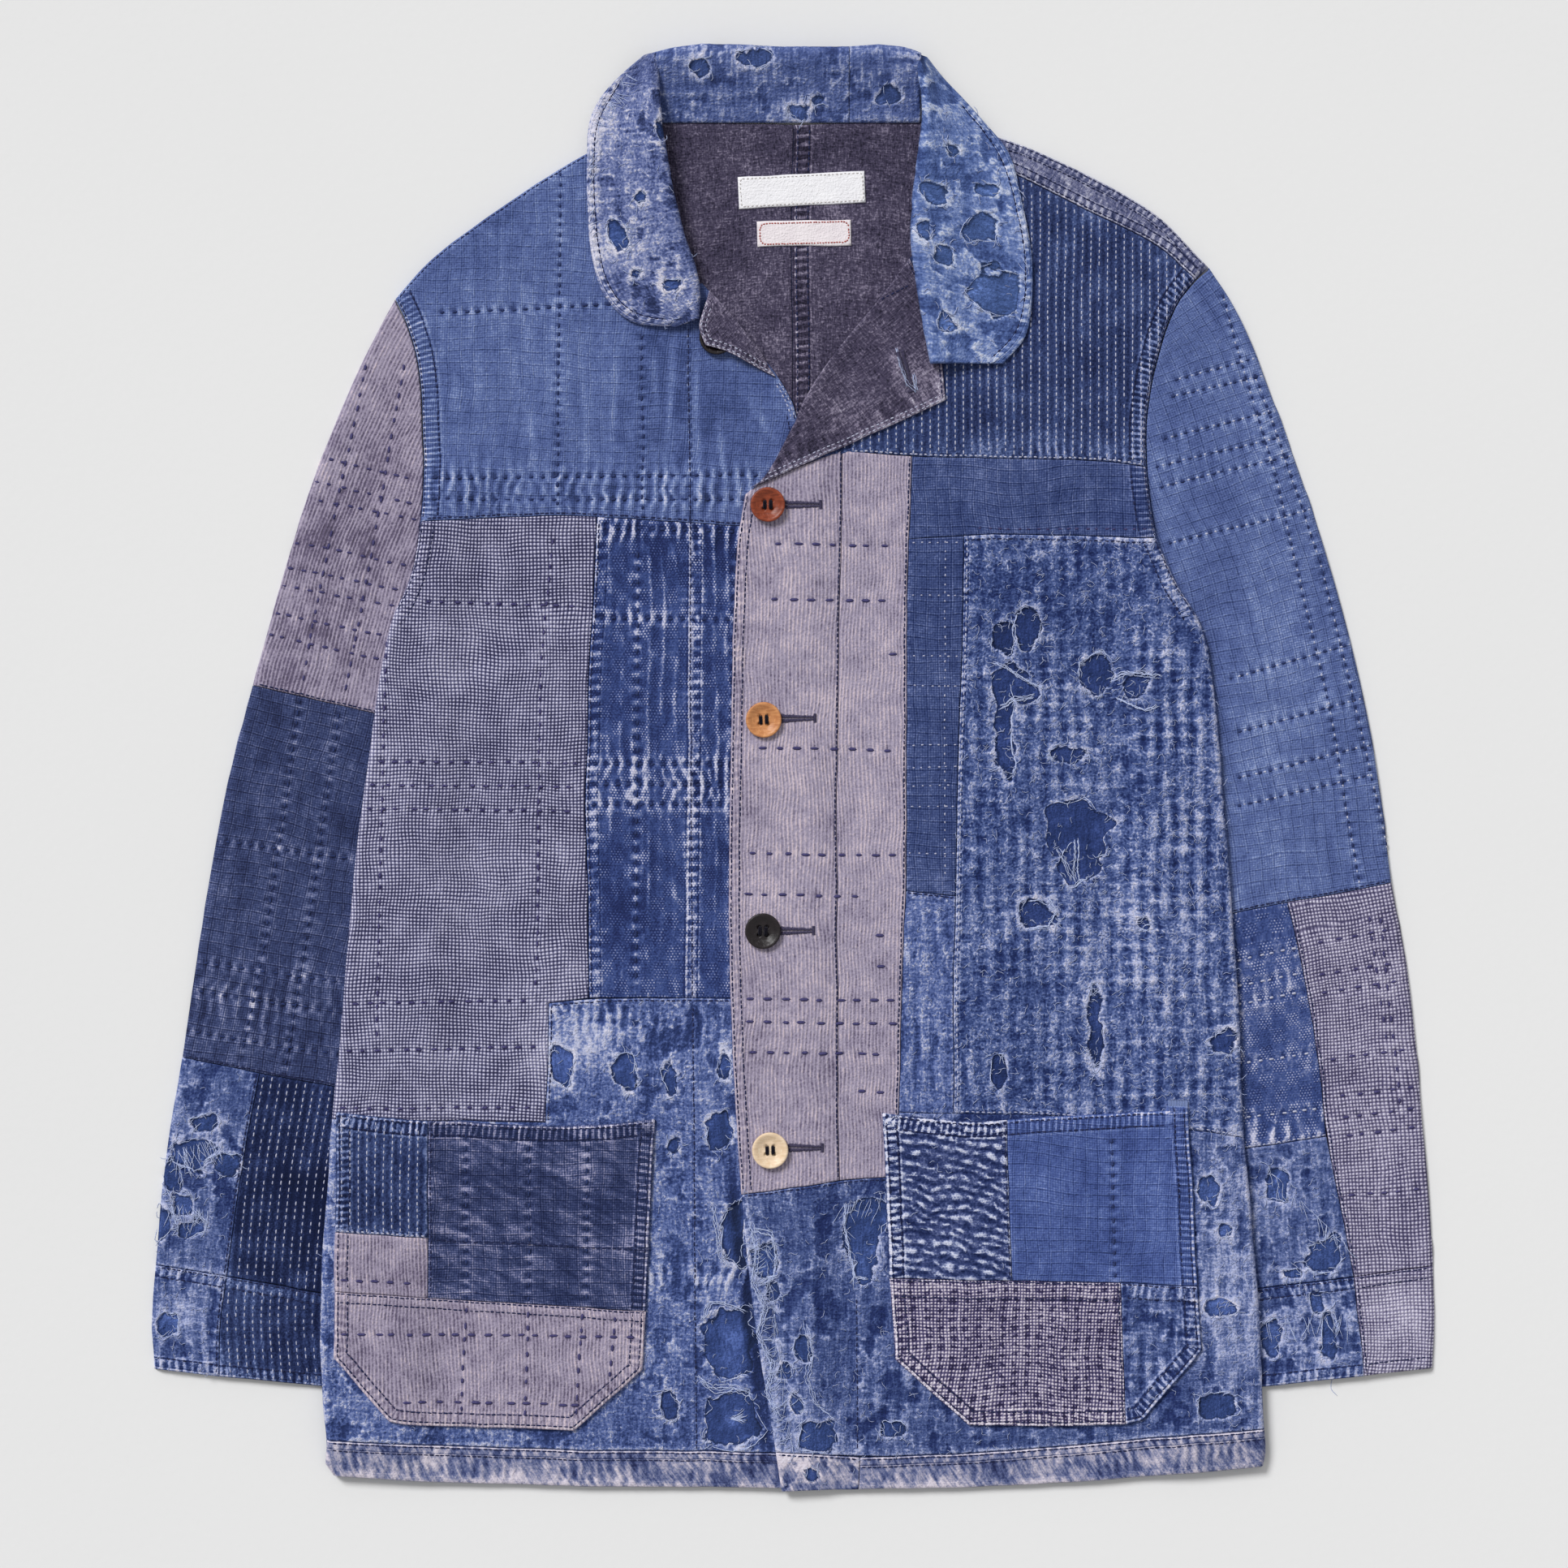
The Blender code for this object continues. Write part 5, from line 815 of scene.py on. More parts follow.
def seam_lines():
    """The table's seams as lines; pieces is None where a seam runs along the owner's edge."""
    found = []
    for piece, start, end, width, offsets, pitch, strength, wear, thread, via in SEAMS:
        line, side = stretch(piece, start, end, via)
        line = wander(spaced(line, 4.0, False))
        found.append(Seam(piece, None, line, side, width, offsets, pitch, strength, wear, thread))
    for pieces, points, width, offsets, pitch, strength, wear, thread in INNER_SEAMS:
        line = wander(spaced(rounded(points, False, 3, 60.0), 4.0, False))
        side = 1.0 if width > 0 else -1.0
        found.append(Seam(pieces[0], pieces, line, side, abs(width), offsets, pitch, strength, wear, thread))
    return found


SEAM_LINES = seam_lines()


# ------------------------------------------------------------------ heights
def ease(t):
    return smooth(t, 0.0, 1.0)


def round_over(distance, radius, share=1.0):
    """How much of its height a rounded edge has lost, 1 to 0, from the distance to the edge."""
    return 1.0 - np.sqrt(1.0 - (1.0 - np.clip(distance / radius, 0.0, 1.0)) ** 2 * share)


def raised(x, y):
    """Height of the back's underside above the floor: it steps up over the sleeves."""
    inner = np.interp(-y, [-row[0] for row in SLEEVE_INNER], [row[1] for row in SLEEVE_INNER])
    across = ease((np.abs(x) - inner + 35.0) / 28.0)
    down = ease((180.0 - y) / 50.0) * (1.0 - 0.7 * ease((-y - 358.0) / 32.0))
    return RAISE * across * down


def lapel_lift(x, y):
    """The right lapel rides up over the button under it."""
    return 3.8 * np.clip((30.0 - np.hypot(x + 42.0, y - 234.0)) / 12.0, 0.0, 1.0)


def sleeve_top(layer, x, y):
    """Height of a sleeve: flat, a little fuller along its outer edge, with a round fold there."""
    from_edge = near(SLEEVE_LINES[layer], x, y)[0]
    full = SLEEVE_FLAT + np.interp(from_edge, [r[0] for r in SWELL], [r[1] for r in SWELL])
    return full * (1.0 - round_over(from_edge, FOLD, 0.92))


def base(layer, x, y):
    """Height of the upper face of a layer, without its relief."""
    if layer.startswith("sleeve"):
        return sleeve_top(layer, x, y)
    back = raised(x, y)
    front = back + FRONT_Z + CLOTH
    top = front + OVERLAP * (1.0 - ease((x - 8.0) / 22.0))
    return {
        "back": back + CLOTH, "lining": back + CLOTH + GAP + LINING,
        "label": back + CLOTH + 2.0 * GAP + LINING + 0.8,
        "front_r": front, "pocket_r": front + LAY + CLOTH, "lapel_r": front + LAY + 1.4 + lapel_lift(x, y),
        "front_l": top, "pocket_l": top + LAY + CLOTH, "lapel_l": top + LAY + 1.6,
    }[layer]


def softly(value, reach):
    """1 at 0, falling away like a bell."""
    return np.exp(-(value / reach) ** 2)


def creases(layer, x, y):
    """The main folds, each a soft ridge or trough that tapers at its ends and bends a little."""
    total = np.zeros(x.shape)
    folds = [fold for layers, group in CREASES.items() if layer in layers for fold in group]
    for (x0, y0), (x1, y1), half, height in folds:
        length = math.hypot(x1 - x0, y1 - y0)
        ux, uy = (x1 - x0) / length, (y1 - y0) / length
        t = ((x - x0) * ux + (y - y0) * uy) / length
        bend = 0.07 * length * np.sin(np.pi * np.clip(t, 0, 1)) * (1 if int(length) % 2 else -1)
        d = -(x - x0) * uy + (y - y0) * ux - bend + 2.5 * noise(x, y, 26.0, 31)
        taper = smooth(t, -0.15, 0.3) * smooth(t, 1.15, 0.7)
        total += 0.75 * height * taper * softly(d, half * (0.8 + 0.3 * np.clip(t, 0, 1)))
    return total


def turned(x, y, degrees):
    """Places turned about the origin."""
    c, s = math.cos(math.radians(degrees)), math.sin(math.radians(degrees))
    return x * c + y * s, -x * s + y * c


def fade_and_shadow_of(name, x, y):
    """How pale a piece is rubbed at each place, or how dark a painted shadow makes it, from the table of faded
    places and painted shadows.
    """
    total = np.zeros(x.shape)
    for place in (name, LAYER[name]):
        for fx, fy, rx, ry, turn, amount in FADES_AND_SHADOWS.get(place, ()):
            du, dv = turned(x - fx, y - fy, turn)
            total += amount * softly(np.hypot(du / rx, dv / ry), 1.0) * (1.0 + 0.5 * noise(x, y, 12.0, 55))
    return total


def pulled_rim(x, y, hx, hy, rx, ry):
    """How far the round rim of a hole is pulled about at each place."""
    dx = 0.42 * rx * noise(x, y, 8.0, int(abs(hx)) % 40 + 60) + 0.9 * noise(x, y, 2.8, 58)
    dy = 0.42 * ry * noise(x, y, 8.0, int(abs(hy)) % 40 + 110) + 0.9 * noise(x, y, 2.8, 59)
    return dx, dy


HOLE_POWER = 2.6      # a hole is between a circle (2) and a square


def worn_through(name, x, y):
    """Distance to the nearest rim of a hole in the top cloth, less than 0 inside, and how pale the rim is."""
    hole, pale = np.full(x.shape, FAR), np.zeros(x.shape)
    for hx, hy, rx, ry, fray in HOLES.get(name, ()):
        dx, dy = pulled_rim(x, y, hx, hy, rx, ry)
        dx, dy = np.abs((x - hx + dx) / rx), np.abs((y - hy + dy) / ry)
        ring = (dx ** HOLE_POWER + dy ** HOLE_POWER) ** (1 / HOLE_POWER)
        d = (ring - 1.0) * min(rx, ry) + 0.5 * noise(x, y, 3.2, 54) + 0.35 * noise(x, y, 1.5, 75)
        hole = np.minimum(hole, d)
        pale += 0.42 * fray * softly(d - 0.7, 1.5) * smooth(d, -0.6, 0.4) * (0.7 + 0.8 * noise(x, y, 5.0, 61))
    return hole, pale


def sashiko_across(name, x, y):
    """Distance across the rows of white stitches of a sashiko piece."""
    if LAYER[name].startswith("sleeve"):
        return near(SLEEVE_LINES[LAYER[name]], x, y)[0]
    return x + (0.0 if name == "left_front_yoke" else 1.2) + 0.6 * noise(x, y, 40.0, 57)


def dobby_pleats(x, y):
    pleat = np.cos(2 * np.pi * (x + 1.8 * noise(x, y, 28.0, 72)) / 7.2)
    return 0.45 * np.clip(pleat, 0, 1) ** 3 * (0.55 + 0.9 * noise(x * 1.6, y * 0.35, 12.0, 73))


def checker_ridges(x, y):
    """Wavy ridges across, each broken into lumps that are in step with the next ridge by halves."""
    u = x + 1.8 * noise(x, y, 8.0, 50)
    v = y + 0.2 * x + 2.6 * noise(x, y, 11.0, 83) + 1.2 * noise(x, y, 4.5, 74)
    lump = 0.58 + 0.52 * np.cos(2 * np.pi * (u / 7.6 + 0.5 * np.floor(v / 5.3 + 0.25)))
    return 0.85 * np.sin(2 * np.pi * v / 5.3) * np.clip(lump + 0.45 * noise(x, y, 3.6, 51), 0.05, 1.4)


def collar_wrinkles(x, y):
    return 0.3 * noise(x * 0.2, y, 3.2, 80)


OWN_RELIEF = {
    "right_front_dobby": dobby_pleats, "left_pocket_checker": checker_ridges,
    "collar_back_right": collar_wrinkles, "collar_back_left": collar_wrinkles,
    "left_pocket_gingham": lambda x, y: 0.35 * noise(x * 2.2, y * 0.5, 4.4, 52),
    "right_pocket_ripstop": lambda x, y: 0.7 * noise(x * 0.45, y + 0.35 * x, 6.5, 53),
}


class Relief:
    """What a piece's cloth does at some places: drape and fine relief, seam place, rubbed paleness with some
    painted light and shade, and holes.
    """

    def __init__(self, name, x, y):
        self.name, self.layer, self.x, self.y = name, LAYER[name], x, y
        calm = {"lining": 0.45, "label": 0.35, "collar": 0.8}.get(self.layer, 1.0)
        seed = {"sleeve_r": 11, "sleeve_l": 14, "collar": 17}.get(self.layer, 20)
        self.drape = calm * (0.5 * noise(x, y, 58.0, seed) + 0.34 * noise(x, y, 21.0, seed + 1))
        self.drape = self.drape + creases(self.layer, x, y)
        self.fine = np.zeros(x.shape)
        self.wear = 0.22 * noise(x, y, 30.0, seed + 2) + 0.12 * noise(x, y, 9.0, seed + 3)
        self.across, self.along, self.strong = np.full(x.shape, FAR), np.zeros(x.shape), np.zeros(x.shape)
        self.score = np.full(x.shape, 1e9)
        self.seams()
        self.gathers()
        self.stitches()
        self.quilt()
        self.flakes()
        self.weave()
        self.holes()

    def seams(self):
        """Turned bands and puckers along the seams that come near."""
        margin = 14.0
        for seam in SEAM_LINES:
            if LAYER[seam.owner] != self.layer or (seam.pieces and self.name not in seam.pieces):
                continue
            low, high = seam.line.min(axis=0) - margin, seam.line.max(axis=0) + margin
            close = (self.x > low[0]) & (self.x < high[0]) & (self.y > low[1]) & (self.y < high[1])
            close = np.flatnonzero(close)
            if len(close):
                self.seam(seam, close)

    def seam(self, seam, close):
        d, s, left = near(seam.line, self.x[close], self.y[close])
        own = seam.owner == self.name or seam.pieces is not None
        into = d * left * seam.side if own else -d
        flat = np.zeros(d.shape)
        sway = 0.35 * noise(s, flat + len(seam.line), 3.0 * seam.pitch, 41)
        wave = np.sin(2 * np.pi * (s / seam.pitch + sway))
        lumps = 0.6 + 0.4 * noise(s, flat, 17.0, 42)
        band = smooth(into, -0.1, 0.7) * smooth(into, seam.width + 0.5, seam.width - 0.4)
        beyond = softly(np.where(into > 0, np.maximum(into - seam.width, 0.0), -into), 4.2)
        groove = sum((softly(into - row, 0.8) for row in seam.rows), flat)
        pucker = seam.strength * lumps * wave * (0.30 * band + 0.26 * beyond * (1 - band))
        self.fine[close] += band * (0.34 * min(1.0, seam.width / 4.0)) + pucker
        self.fine[close] -= 0.22 * groove
        rubbed = seam.wear * (0.55 * band + 0.45 * softly(into - 0.5, 1.6))
        self.wear[close] += rubbed * (0.75 + 0.6 * noise(s, flat, 12.0, 43))
        score = np.abs(into - seam.width / 2.0) / (0.5 * seam.width + 0.5) + (0.0 if own else 1.5)
        take = score < self.score[close]
        best = close[take]
        self.across[best], self.along[best] = (into / seam.width)[take], (s / seam.pitch)[take]
        self.strong[best], self.score[best] = seam.strength * (1.0 if own else 0.6), score[take]

    def gathers(self):
        x, y, hem = self.x, self.y, self.name.endswith("hem")
        for start, end, half, pitch, height in GATHERS.get(self.name, ()):
            d, s, _ = near(np.array([start, end], float), x, y)
            tilt = (x * 0.25 + y * 0.1) if hem else 0.0
            sway = 0.5 * noise(s, y, 16.0, 44) + 0.2 * noise(x, y, 5.0, 81)
            wave = np.sin(2 * np.pi * ((s + tilt) / pitch + sway))
            uneven = np.clip(0.7 + 0.5 * noise(x, y, 22.0, 45) + 0.4 * noise(x, y, 6.0, 82), 0.0, 1.6)
            uneven = softly(d, half) * uneven
            self.fine += height * wave * uneven
            # below, the gathers' crests are paler and the cloth between them darker: partly rubbed, partly
            # painted light and shade
            if not hem:
                self.wear += 1.5 * height * (np.clip(wave, 0.0, 1.0) ** 2 - 0.3) * uneven

    def stitches(self):
        """Single running stitches pull the cloth down; the puckers between them get a painted highlight, partly
        rubbed pale, and the dents at them painted shade.
        """
        for pieces, start, end, pitch, length, _, thread, height in ROWS:
            if self.name not in pieces:
                continue
            d, s, _ = near(np.array([start, end], float), self.x, self.y)
            swing = np.cos(2 * np.pi * (s - 0.4 - length / 2.0) / pitch)
            self.fine -= height * (0.5 + 0.9 * swing) * softly(d, 1.9)
            self.fine += 0.6 * height * softly(d - 3.2, 1.8)
            pale, reach = min(0.6, 1.3 * height), 1.8
            if thread == "indigo":
                pale, reach = min(1.1, 2.8 * height), 2.3
            # paler between the stitches and darker at them: painted highlight and painted shade on the puckers,
            # partly rubbed paleness
            self.wear += pale * (0.15 - swing) * softly(d, reach) * smooth(s, 0.0, 0.01)

    def quilt(self):
        """Rows of nubs between close stitches, higher where the cloth is worn pale."""
        if self.name not in QUILTS:
            return
        x, y = self.x, self.y
        across, down, height = QUILTS[self.name]
        u = x + 1.5 * noise(x, y, 17.0, 46) + 0.5 * noise(x, y, 5.0, 63)
        v = y + 1.5 * noise(x, y, 15.0, 47) + 0.5 * noise(x, y, 5.0, 64)
        nub = 0.55 * np.cos(2 * np.pi * u / across) + 0.3 * np.cos(2 * np.pi * v / down)
        nub += 0.3 * np.cos(4 * np.pi * v / down) * (0.6 + 0.6 * noise(x, y, 24.0, 84))
        nub = nub * np.clip(0.7 + 0.9 * noise(x, y, 10.0, 48), 0.1, 1.4)
        pulled = softly(np.mod(u, across) - across / 2.0, 1.3)
        pulled = pulled * softly(np.mod(v, down / 2.0) - down / 4.0, 1.1)
        lumps = 0.3 * noise(x, y, 2.6, 49) + 0.25 * noise(x, y, 4.6, 66) + 0.35 * noise(x, y, 1.7, 67)
        strength = 0.75 + 0.3 * noise(x, y, 30.0, 68) + 0.6 * np.clip(fade_and_shadow_of(self.name, x, y), -0.5, 1.0)
        self.fine += height * ((0.85 * nub - 0.7 * pulled) * strength + lumps)

    def flakes(self):
        """The outer layer is off in scales with pale, slightly raised rims."""
        if self.name not in FLAKES:
            return
        x, y = self.x, self.y
        size, share = FLAKES[self.name]
        torn = noise(x, y * 0.8, size, 76) + 0.5 * noise(x, y, size * 0.45, 77)
        torn += 0.14 * noise(x, y, size * 0.22, 78)
        off = torn - (1.6 * share - 0.75)
        self.fine += 0.22 * softly(off - 0.1, 0.1) - 0.35 * smooth(off, 0.05, -0.1)
        self.wear += 1.0 * softly(off - 0.06, 0.085) * np.clip(0.5 + 1.2 * noise(x, y, 8.0, 79), 0.0, 1.4)
        self.wear -= 0.3 * smooth(off, 0.0, -0.12)

    def weave(self):
        """Ribs of the sashiko pieces and what only one piece has."""
        if PANELS.get(self.name, ("", ""))[1] == "sashiko":
            self.fine += 0.28 * np.cos(2 * np.pi * sashiko_across(self.name, self.x, self.y) / SASHIKO_PITCH)
        if self.name in OWN_RELIEF:
            self.fine += OWN_RELIEF[self.name](self.x, self.y)

    def holes(self):
        self.hole, frayed = worn_through(self.name, self.x, self.y)
        self.wear += frayed
        self.fine += 0.35 * softly(self.hole - 0.8, 0.9) - 0.8 * smooth(self.hole, 0.5, -0.7)
        self.wear += fade_and_shadow_of(self.name, self.x, self.y)
        self.fine += 0.09 * noise(self.x, self.y, 3.4, 56) + 0.12 * noise(self.x, self.y, 8.0, 62)

    def marks(self, cloth_place):
        """The three vectors that the materials read, after the last change to the rubbed paleness and painted
        light.
        """
        seam = np.stack([self.across, self.along, self.strong], axis=1)
        return [cloth_place, seam, np.stack([self.wear, self.fine, self.hole], axis=1)]


# ------------------------------------------------------------------ meshes
TREES = {}
MATERIALS = {}
MARK_NAMES = ("cloth", "seam", "wear")


def add_mesh(name, points, faces, material, attributes):
    """A smooth mesh object from jacket millimetres; faces is an array of triangles or quads."""
    mesh = bpy.data.meshes.new(name)
    placed = np.asarray(points, float) * MM
    placed[:, :2] += CENTRE * MM
    faces = np.asarray(faces, np.int32)
    sides = faces.shape[1]
    mesh.vertices.add(len(placed))
    mesh.vertices.foreach_set("co", placed.astype(np.float32).ravel())
    mesh.loops.add(faces.size)
    mesh.loops.foreach_set("vertex_index", faces.ravel())
    mesh.polygons.add(len(faces))
    mesh.polygons.foreach_set("loop_start", np.arange(0, faces.size, sides, dtype=np.int32))
    mesh.update(calc_edges=True)
    for key, values in attributes.items():
        layer = mesh.attributes.new(key, "FLOAT_VECTOR", "POINT")
        layer.data.foreach_set("vector", np.asarray(values, np.float32).ravel())
    mesh.materials.append(material)
    mesh.shade_smooth()
    made = bpy.data.objects.new(name, mesh)
    bpy.context.scene.collection.objects.link(made)
    return made


def own(made, slot):
    """Puts a piece on the part's only body; the slot is not used."""
    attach(made, "root")
    return made


def add_cloth(name, points, faces, fabric, marks):
    """The visible cloth of a CAD node, which it replaces."""
    made = add_mesh(name + "_cloth", points, faces, MATERIALS[fabric], dict(zip(MARK_NAMES, marks)))
    own(made, slot_of[name])
    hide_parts(name)
    return made


def remember(name, points, faces):
    """Keeps a piece's surface so that stitches and threads can be laid on it."""
    TREES[name] = BVHTree.FromPolygons([tuple(p) for p in points], [tuple(f) for f in faces])


def drop(name, x, y):
    """Height of a piece's surface under each place, or no number beside it."""
    down = Vector((0.0, 0.0, -1.0))
    above = 60.0
    result = np.full(len(x), np.nan)
    for k in range(len(x)):
        hit = TREES[name].ray_cast(Vector((x[k], y[k], above)), down)[0]
        if hit is not None:
            result[k] = hit.z
    return result


def offset_ring(loop, distance):
    a = np.roll(loop, -1, axis=0) - np.roll(loop, 1, axis=0)
    normal = np.stack([-a[:, 1], a[:, 0]], axis=1) / np.maximum(np.hypot(*a.T), 1e-9)[:, None]
    return loop + normal * distance


def plane_mesh(loop, spacing, rings, seed):
    """Fills an outline with even triangles; the outline's points come first."""
    low, high = loop.min(axis=0), loop.max(axis=0)
    rng = np.random.default_rng(seed)
    gx, gy = np.meshgrid(np.arange(low[0], high[0], spacing), np.arange(low[1], high[1], spacing * 0.87))
    gx = gx + spacing / 2.0 * (np.arange(gx.shape[0]) % 2)[:, None]
    x, y = (c.ravel() + rng.uniform(-0.16, 0.16, c.size) * spacing for c in (gx, gy))
    keep = inside(loop, x, y)
    x, y = x[keep], y[keep]
    far = edge_distance(loop, x, y) > (rings[-1] if rings else 0.0) + 0.55 * spacing
    inner = [np.stack([x[far], y[far]], axis=1)]
    for distance in rings:
        ring = offset_ring(loop, distance)
        good = inside(loop, ring[:, 0], ring[:, 1])
        good &= edge_distance(loop, ring[:, 0], ring[:, 1]) > 0.93 * distance
        inner.append(ring[good])
    flat = [Vector(p) for p in np.vstack([loop, *inner])]
    count = len(loop)
    edges = [(k, (k + 1) % count) for k in range(count)]
    made, _, triangles, _, _, _ = delaunay_2d_cdt(flat, edges, [list(range(count))], 1, 1e-5)
    return np.array([tuple(p) for p in made]), np.array([t for t in triangles if len(t) == 3], np.int32)


def grain(name, x, y):
    """Cloth coordinates: along the sleeve's own edge on a sleeve, turned a little elsewhere."""
    layer = LAYER[name]
    shift = (sum(map(ord, name)) * 37) % 400
    if layer.startswith("sleeve"):
        u, v, _ = near(spaced(SLEEVE_LINES[layer], 6.0, False), x, y)
        v = -v
    else:
        u, v = turned(x, y, PANELS[name][2])
    u = u + 2.2 * noise(x, y, 46.0, 21) + 0.9 * noise(x, y, 17.0, 22)
    v = v + 2.2 * noise(x, y, 46.0, 23) + 0.9 * noise(x, y, 17.0, 24)
    return np.stack([u, v, np.full(x.shape, shift * 0.1)], axis=1)


OUTER = {
    # stretches of the fronts that close down on the back: piece: start, end, a place on the way
    "right_front_upper": ((-82, 349), (-203, 134), (-217, 255)),
    "right_front_gingham": ((-203, 134), (-250.5, -190), (-230, 12)),
    "right_front_lower": ((-250.5, -190), (-253.4, -363.7), (-258, -304)),
    "right_front_hem": ((-253.4, -363.7), (-250, -383.5), None),
    "left_front_yoke": ((218, 265.5), (191.5, 164), None),
    "left_shoulder_band": ((80, 350), (218, 265.5), (199, 300)),
    "left_front_ripstop_top": ((191.5, 164), (196.5, 125), None),
    "left_front_boro": ((196.5, 125), (244.3, -200), (231, 12)),
    "left_front_lower": ((244.3, -200), (254.5, -357.5), None),
    "left_front_hem": ((254.5, -357.5), (254.5, -378.5), None),
}
FREE_EDGE = ("right_pocket", "left_pocket", "right_lapel", "left_lapel", "label")
TUBES = {
    "right_sleeve_upper", "right_sleeve_middle", "right_sleeve_boro", "right_cuff_boro", "left_sleeve_upper",
    "left_sleeve_gingham", "left_cuff_gingham",
}


def lowered(name, x, y, loop):
    """How far the rounded edge falls, and the distances to the outline and to a closed side."""
    edge = edge_distance(loop, x, y)
    fall = 0.5 * round_over(edge, 0.9)
    if name not in OUTER:
        return fall, edge, np.full(x.shape, 99.0)
    side = near(wander(stretch(name, *OUTER[name])[0]), x, y)[0]
    return np.maximum(fall, (FRONT_Z + CLOTH - 0.2) * round_over(side, FOLD, 0.9)), edge, side


def upper_face(relief, loop):
    """Heights of a piece's upper face, and the distance to a side that closes on the back."""
    name, layer, x, y = relief.name, relief.layer, relief.x, relief.y
    down, edge, side = lowered(name, x, y, loop)
    fine = relief.fine * (smooth(edge, 0.0, 1.4) * 0.7 + 0.3)
    if layer.startswith("sleeve"):
        from_edge = near(SLEEVE_LINES[layer], x, y)[0]
        z = base(layer, x, y) + (relief.drape + fine) * smooth(from_edge, 0.0, 3.5)
        down = np.where(from_edge < 1.2, 0.0, down)
    else:
        z = base(layer, x, y) + relief.drape + fine
    free = name.startswith(FREE_EDGE)
    relief.wear = relief.wear + (0.55 if free else 0.1) * softly(edge, 1.3) + 0.35 * softly(side, 3.0)
    return z - down, side


def rim_height(name, loop, x, y, z, side):
    """How low the turned rim hangs along the outline."""
    layer = LAYER[name]
    if layer.startswith("sleeve"):
        outer = near(SLEEVE_LINES[layer], loop[:, 0], loop[:, 1])[0] < 1.5
        rim = np.where(outer, CLEAR, z - 1.2)
    elif name in OUTER:
        rim = np.where(side < 1.5, raised(x, y) + 0.1, z - 1.3)
    else:
        rim = z - (1.6 if name.startswith(FREE_EDGE) or "hem" in name else 1.3)
    return np.maximum(rim, CLEAR)


def underside(name):
    """The plain lower face of a tube or of the back: outline, points, triangles and marks."""
    loop = wander(spaced(rounded(cleaned(plan_outline(name, upper=False)), True), COARSE, True))
    plan, triangles = plane_mesh(loop, COARSE, (), 5)
    x, y = plan.T
    z = (raised(x, y) if name == "back_panel" else np.zeros(x.shape)) + CLEAR
    plain = np.tile([FAR, 0.0, 0.0], (len(x), 1))
    wear = np.stack([0.3 * noise(x, y, 20.0, 26), np.zeros(x.shape), np.full(x.shape, FAR)], axis=1)
    return loop, np.stack([x, y, z], axis=1), triangles[:, ::-1], (grain(name, x, y), plain, wear)


def declare(made, loop, bottom):
    """The sheet's flat size: its smallest rectangle, or all round for a tube and the back."""
    flat_area = abs(area_of(loop))
    width, length = flat_size(loop) * MM
    if bottom is not None:
        flat_area += abs(area_of(bottom))
        length = float(np.ptp(bottom[:, 1])) * MM
        width = flat_area * MM * MM / length * 1.001
    area = min(flat_area * MM * MM, width * length)


def panel(name):
    """A cut piece as a thin sheet: upper face with relief, turned rim, and on a tube its underside."""
    _, fabric, _, spacing = PANELS[name]
    loop = wander(spaced(OUTLINES[name], spacing, True))
    rings = ()
    if spacing < COARSE:
        loop = spaced(loop, spacing * 1.05, True)
        rings = EDGE_RINGS
    plan, triangles = plane_mesh(loop, spacing, rings, sum(map(ord, name)))
    x, y = plan.T
    relief = Relief(name, x, y)
    z, side = upper_face(relief, loop)
    top = np.stack([x, y, z], axis=1)
    count, first = len(loop), len(top)
    rim = top[:count].copy()
    rim[:, 2] = rim_height(name, loop, x[:count], y[:count], z[:count], side[:count])
    k = np.arange(count)
    n = (k + 1) % count
    wall = np.vstack([np.stack([k, first + k, first + n], axis=1), np.stack([k, first + n, n], axis=1)])
    points, faces = np.vstack([top, rim]), np.vstack([triangles, wall])
    marks = [np.vstack([m, m[:count]]) for m in relief.marks(grain(name, x, y))]
    bottom = None
    if name == "back_panel" or name in TUBES:
        bottom, low_points, low_triangles, low_marks = underside(name)
        faces = np.vstack([faces, low_triangles + len(points)])
        points = np.vstack([points, low_points])
        marks = [np.vstack([a, b]) for a, b in zip(marks, low_marks)]
    remember(name, top, triangles)
    declare(add_cloth(name, points, faces, fabric, marks), loop, bottom)


# ------------------------------------------------------------------ collar
def curved(points, count):
    """A smooth curve through points, as that many evenly spaced places; rows of any width."""
    points = np.asarray(points, float)
    flat = points.reshape(len(points), -1)
    gaps = np.linalg.norm(np.diff(flat, axis=0), axis=1)
    run = np.concatenate([[0.0], np.cumsum(gaps)])
    slope = np.diff(flat, axis=0) / gaps[:, None]
    tangent = np.vstack([slope[:1], 0.5 * (slope[1:] + slope[:-1]), slope[-1:]])
    s = np.linspace(0.0, run[-1], count)
    k = np.clip(np.searchsorted(run, s, side="right") - 1, 0, len(gaps) - 1)
    h = gaps[k][:, None]
    t = ((s - run[k]) / gaps[k])[:, None]
    a = (2 * t ** 3 - 3 * t ** 2 + 1) * flat[k] + (t ** 3 - 2 * t ** 2 + t) * h * tangent[k]
    b = (3 * t ** 2 - 2 * t ** 3) * flat[k + 1] + (t ** 3 - t ** 2) * h * tangent[k + 1]
    return (a + b).reshape((count,) + points.shape[1:])


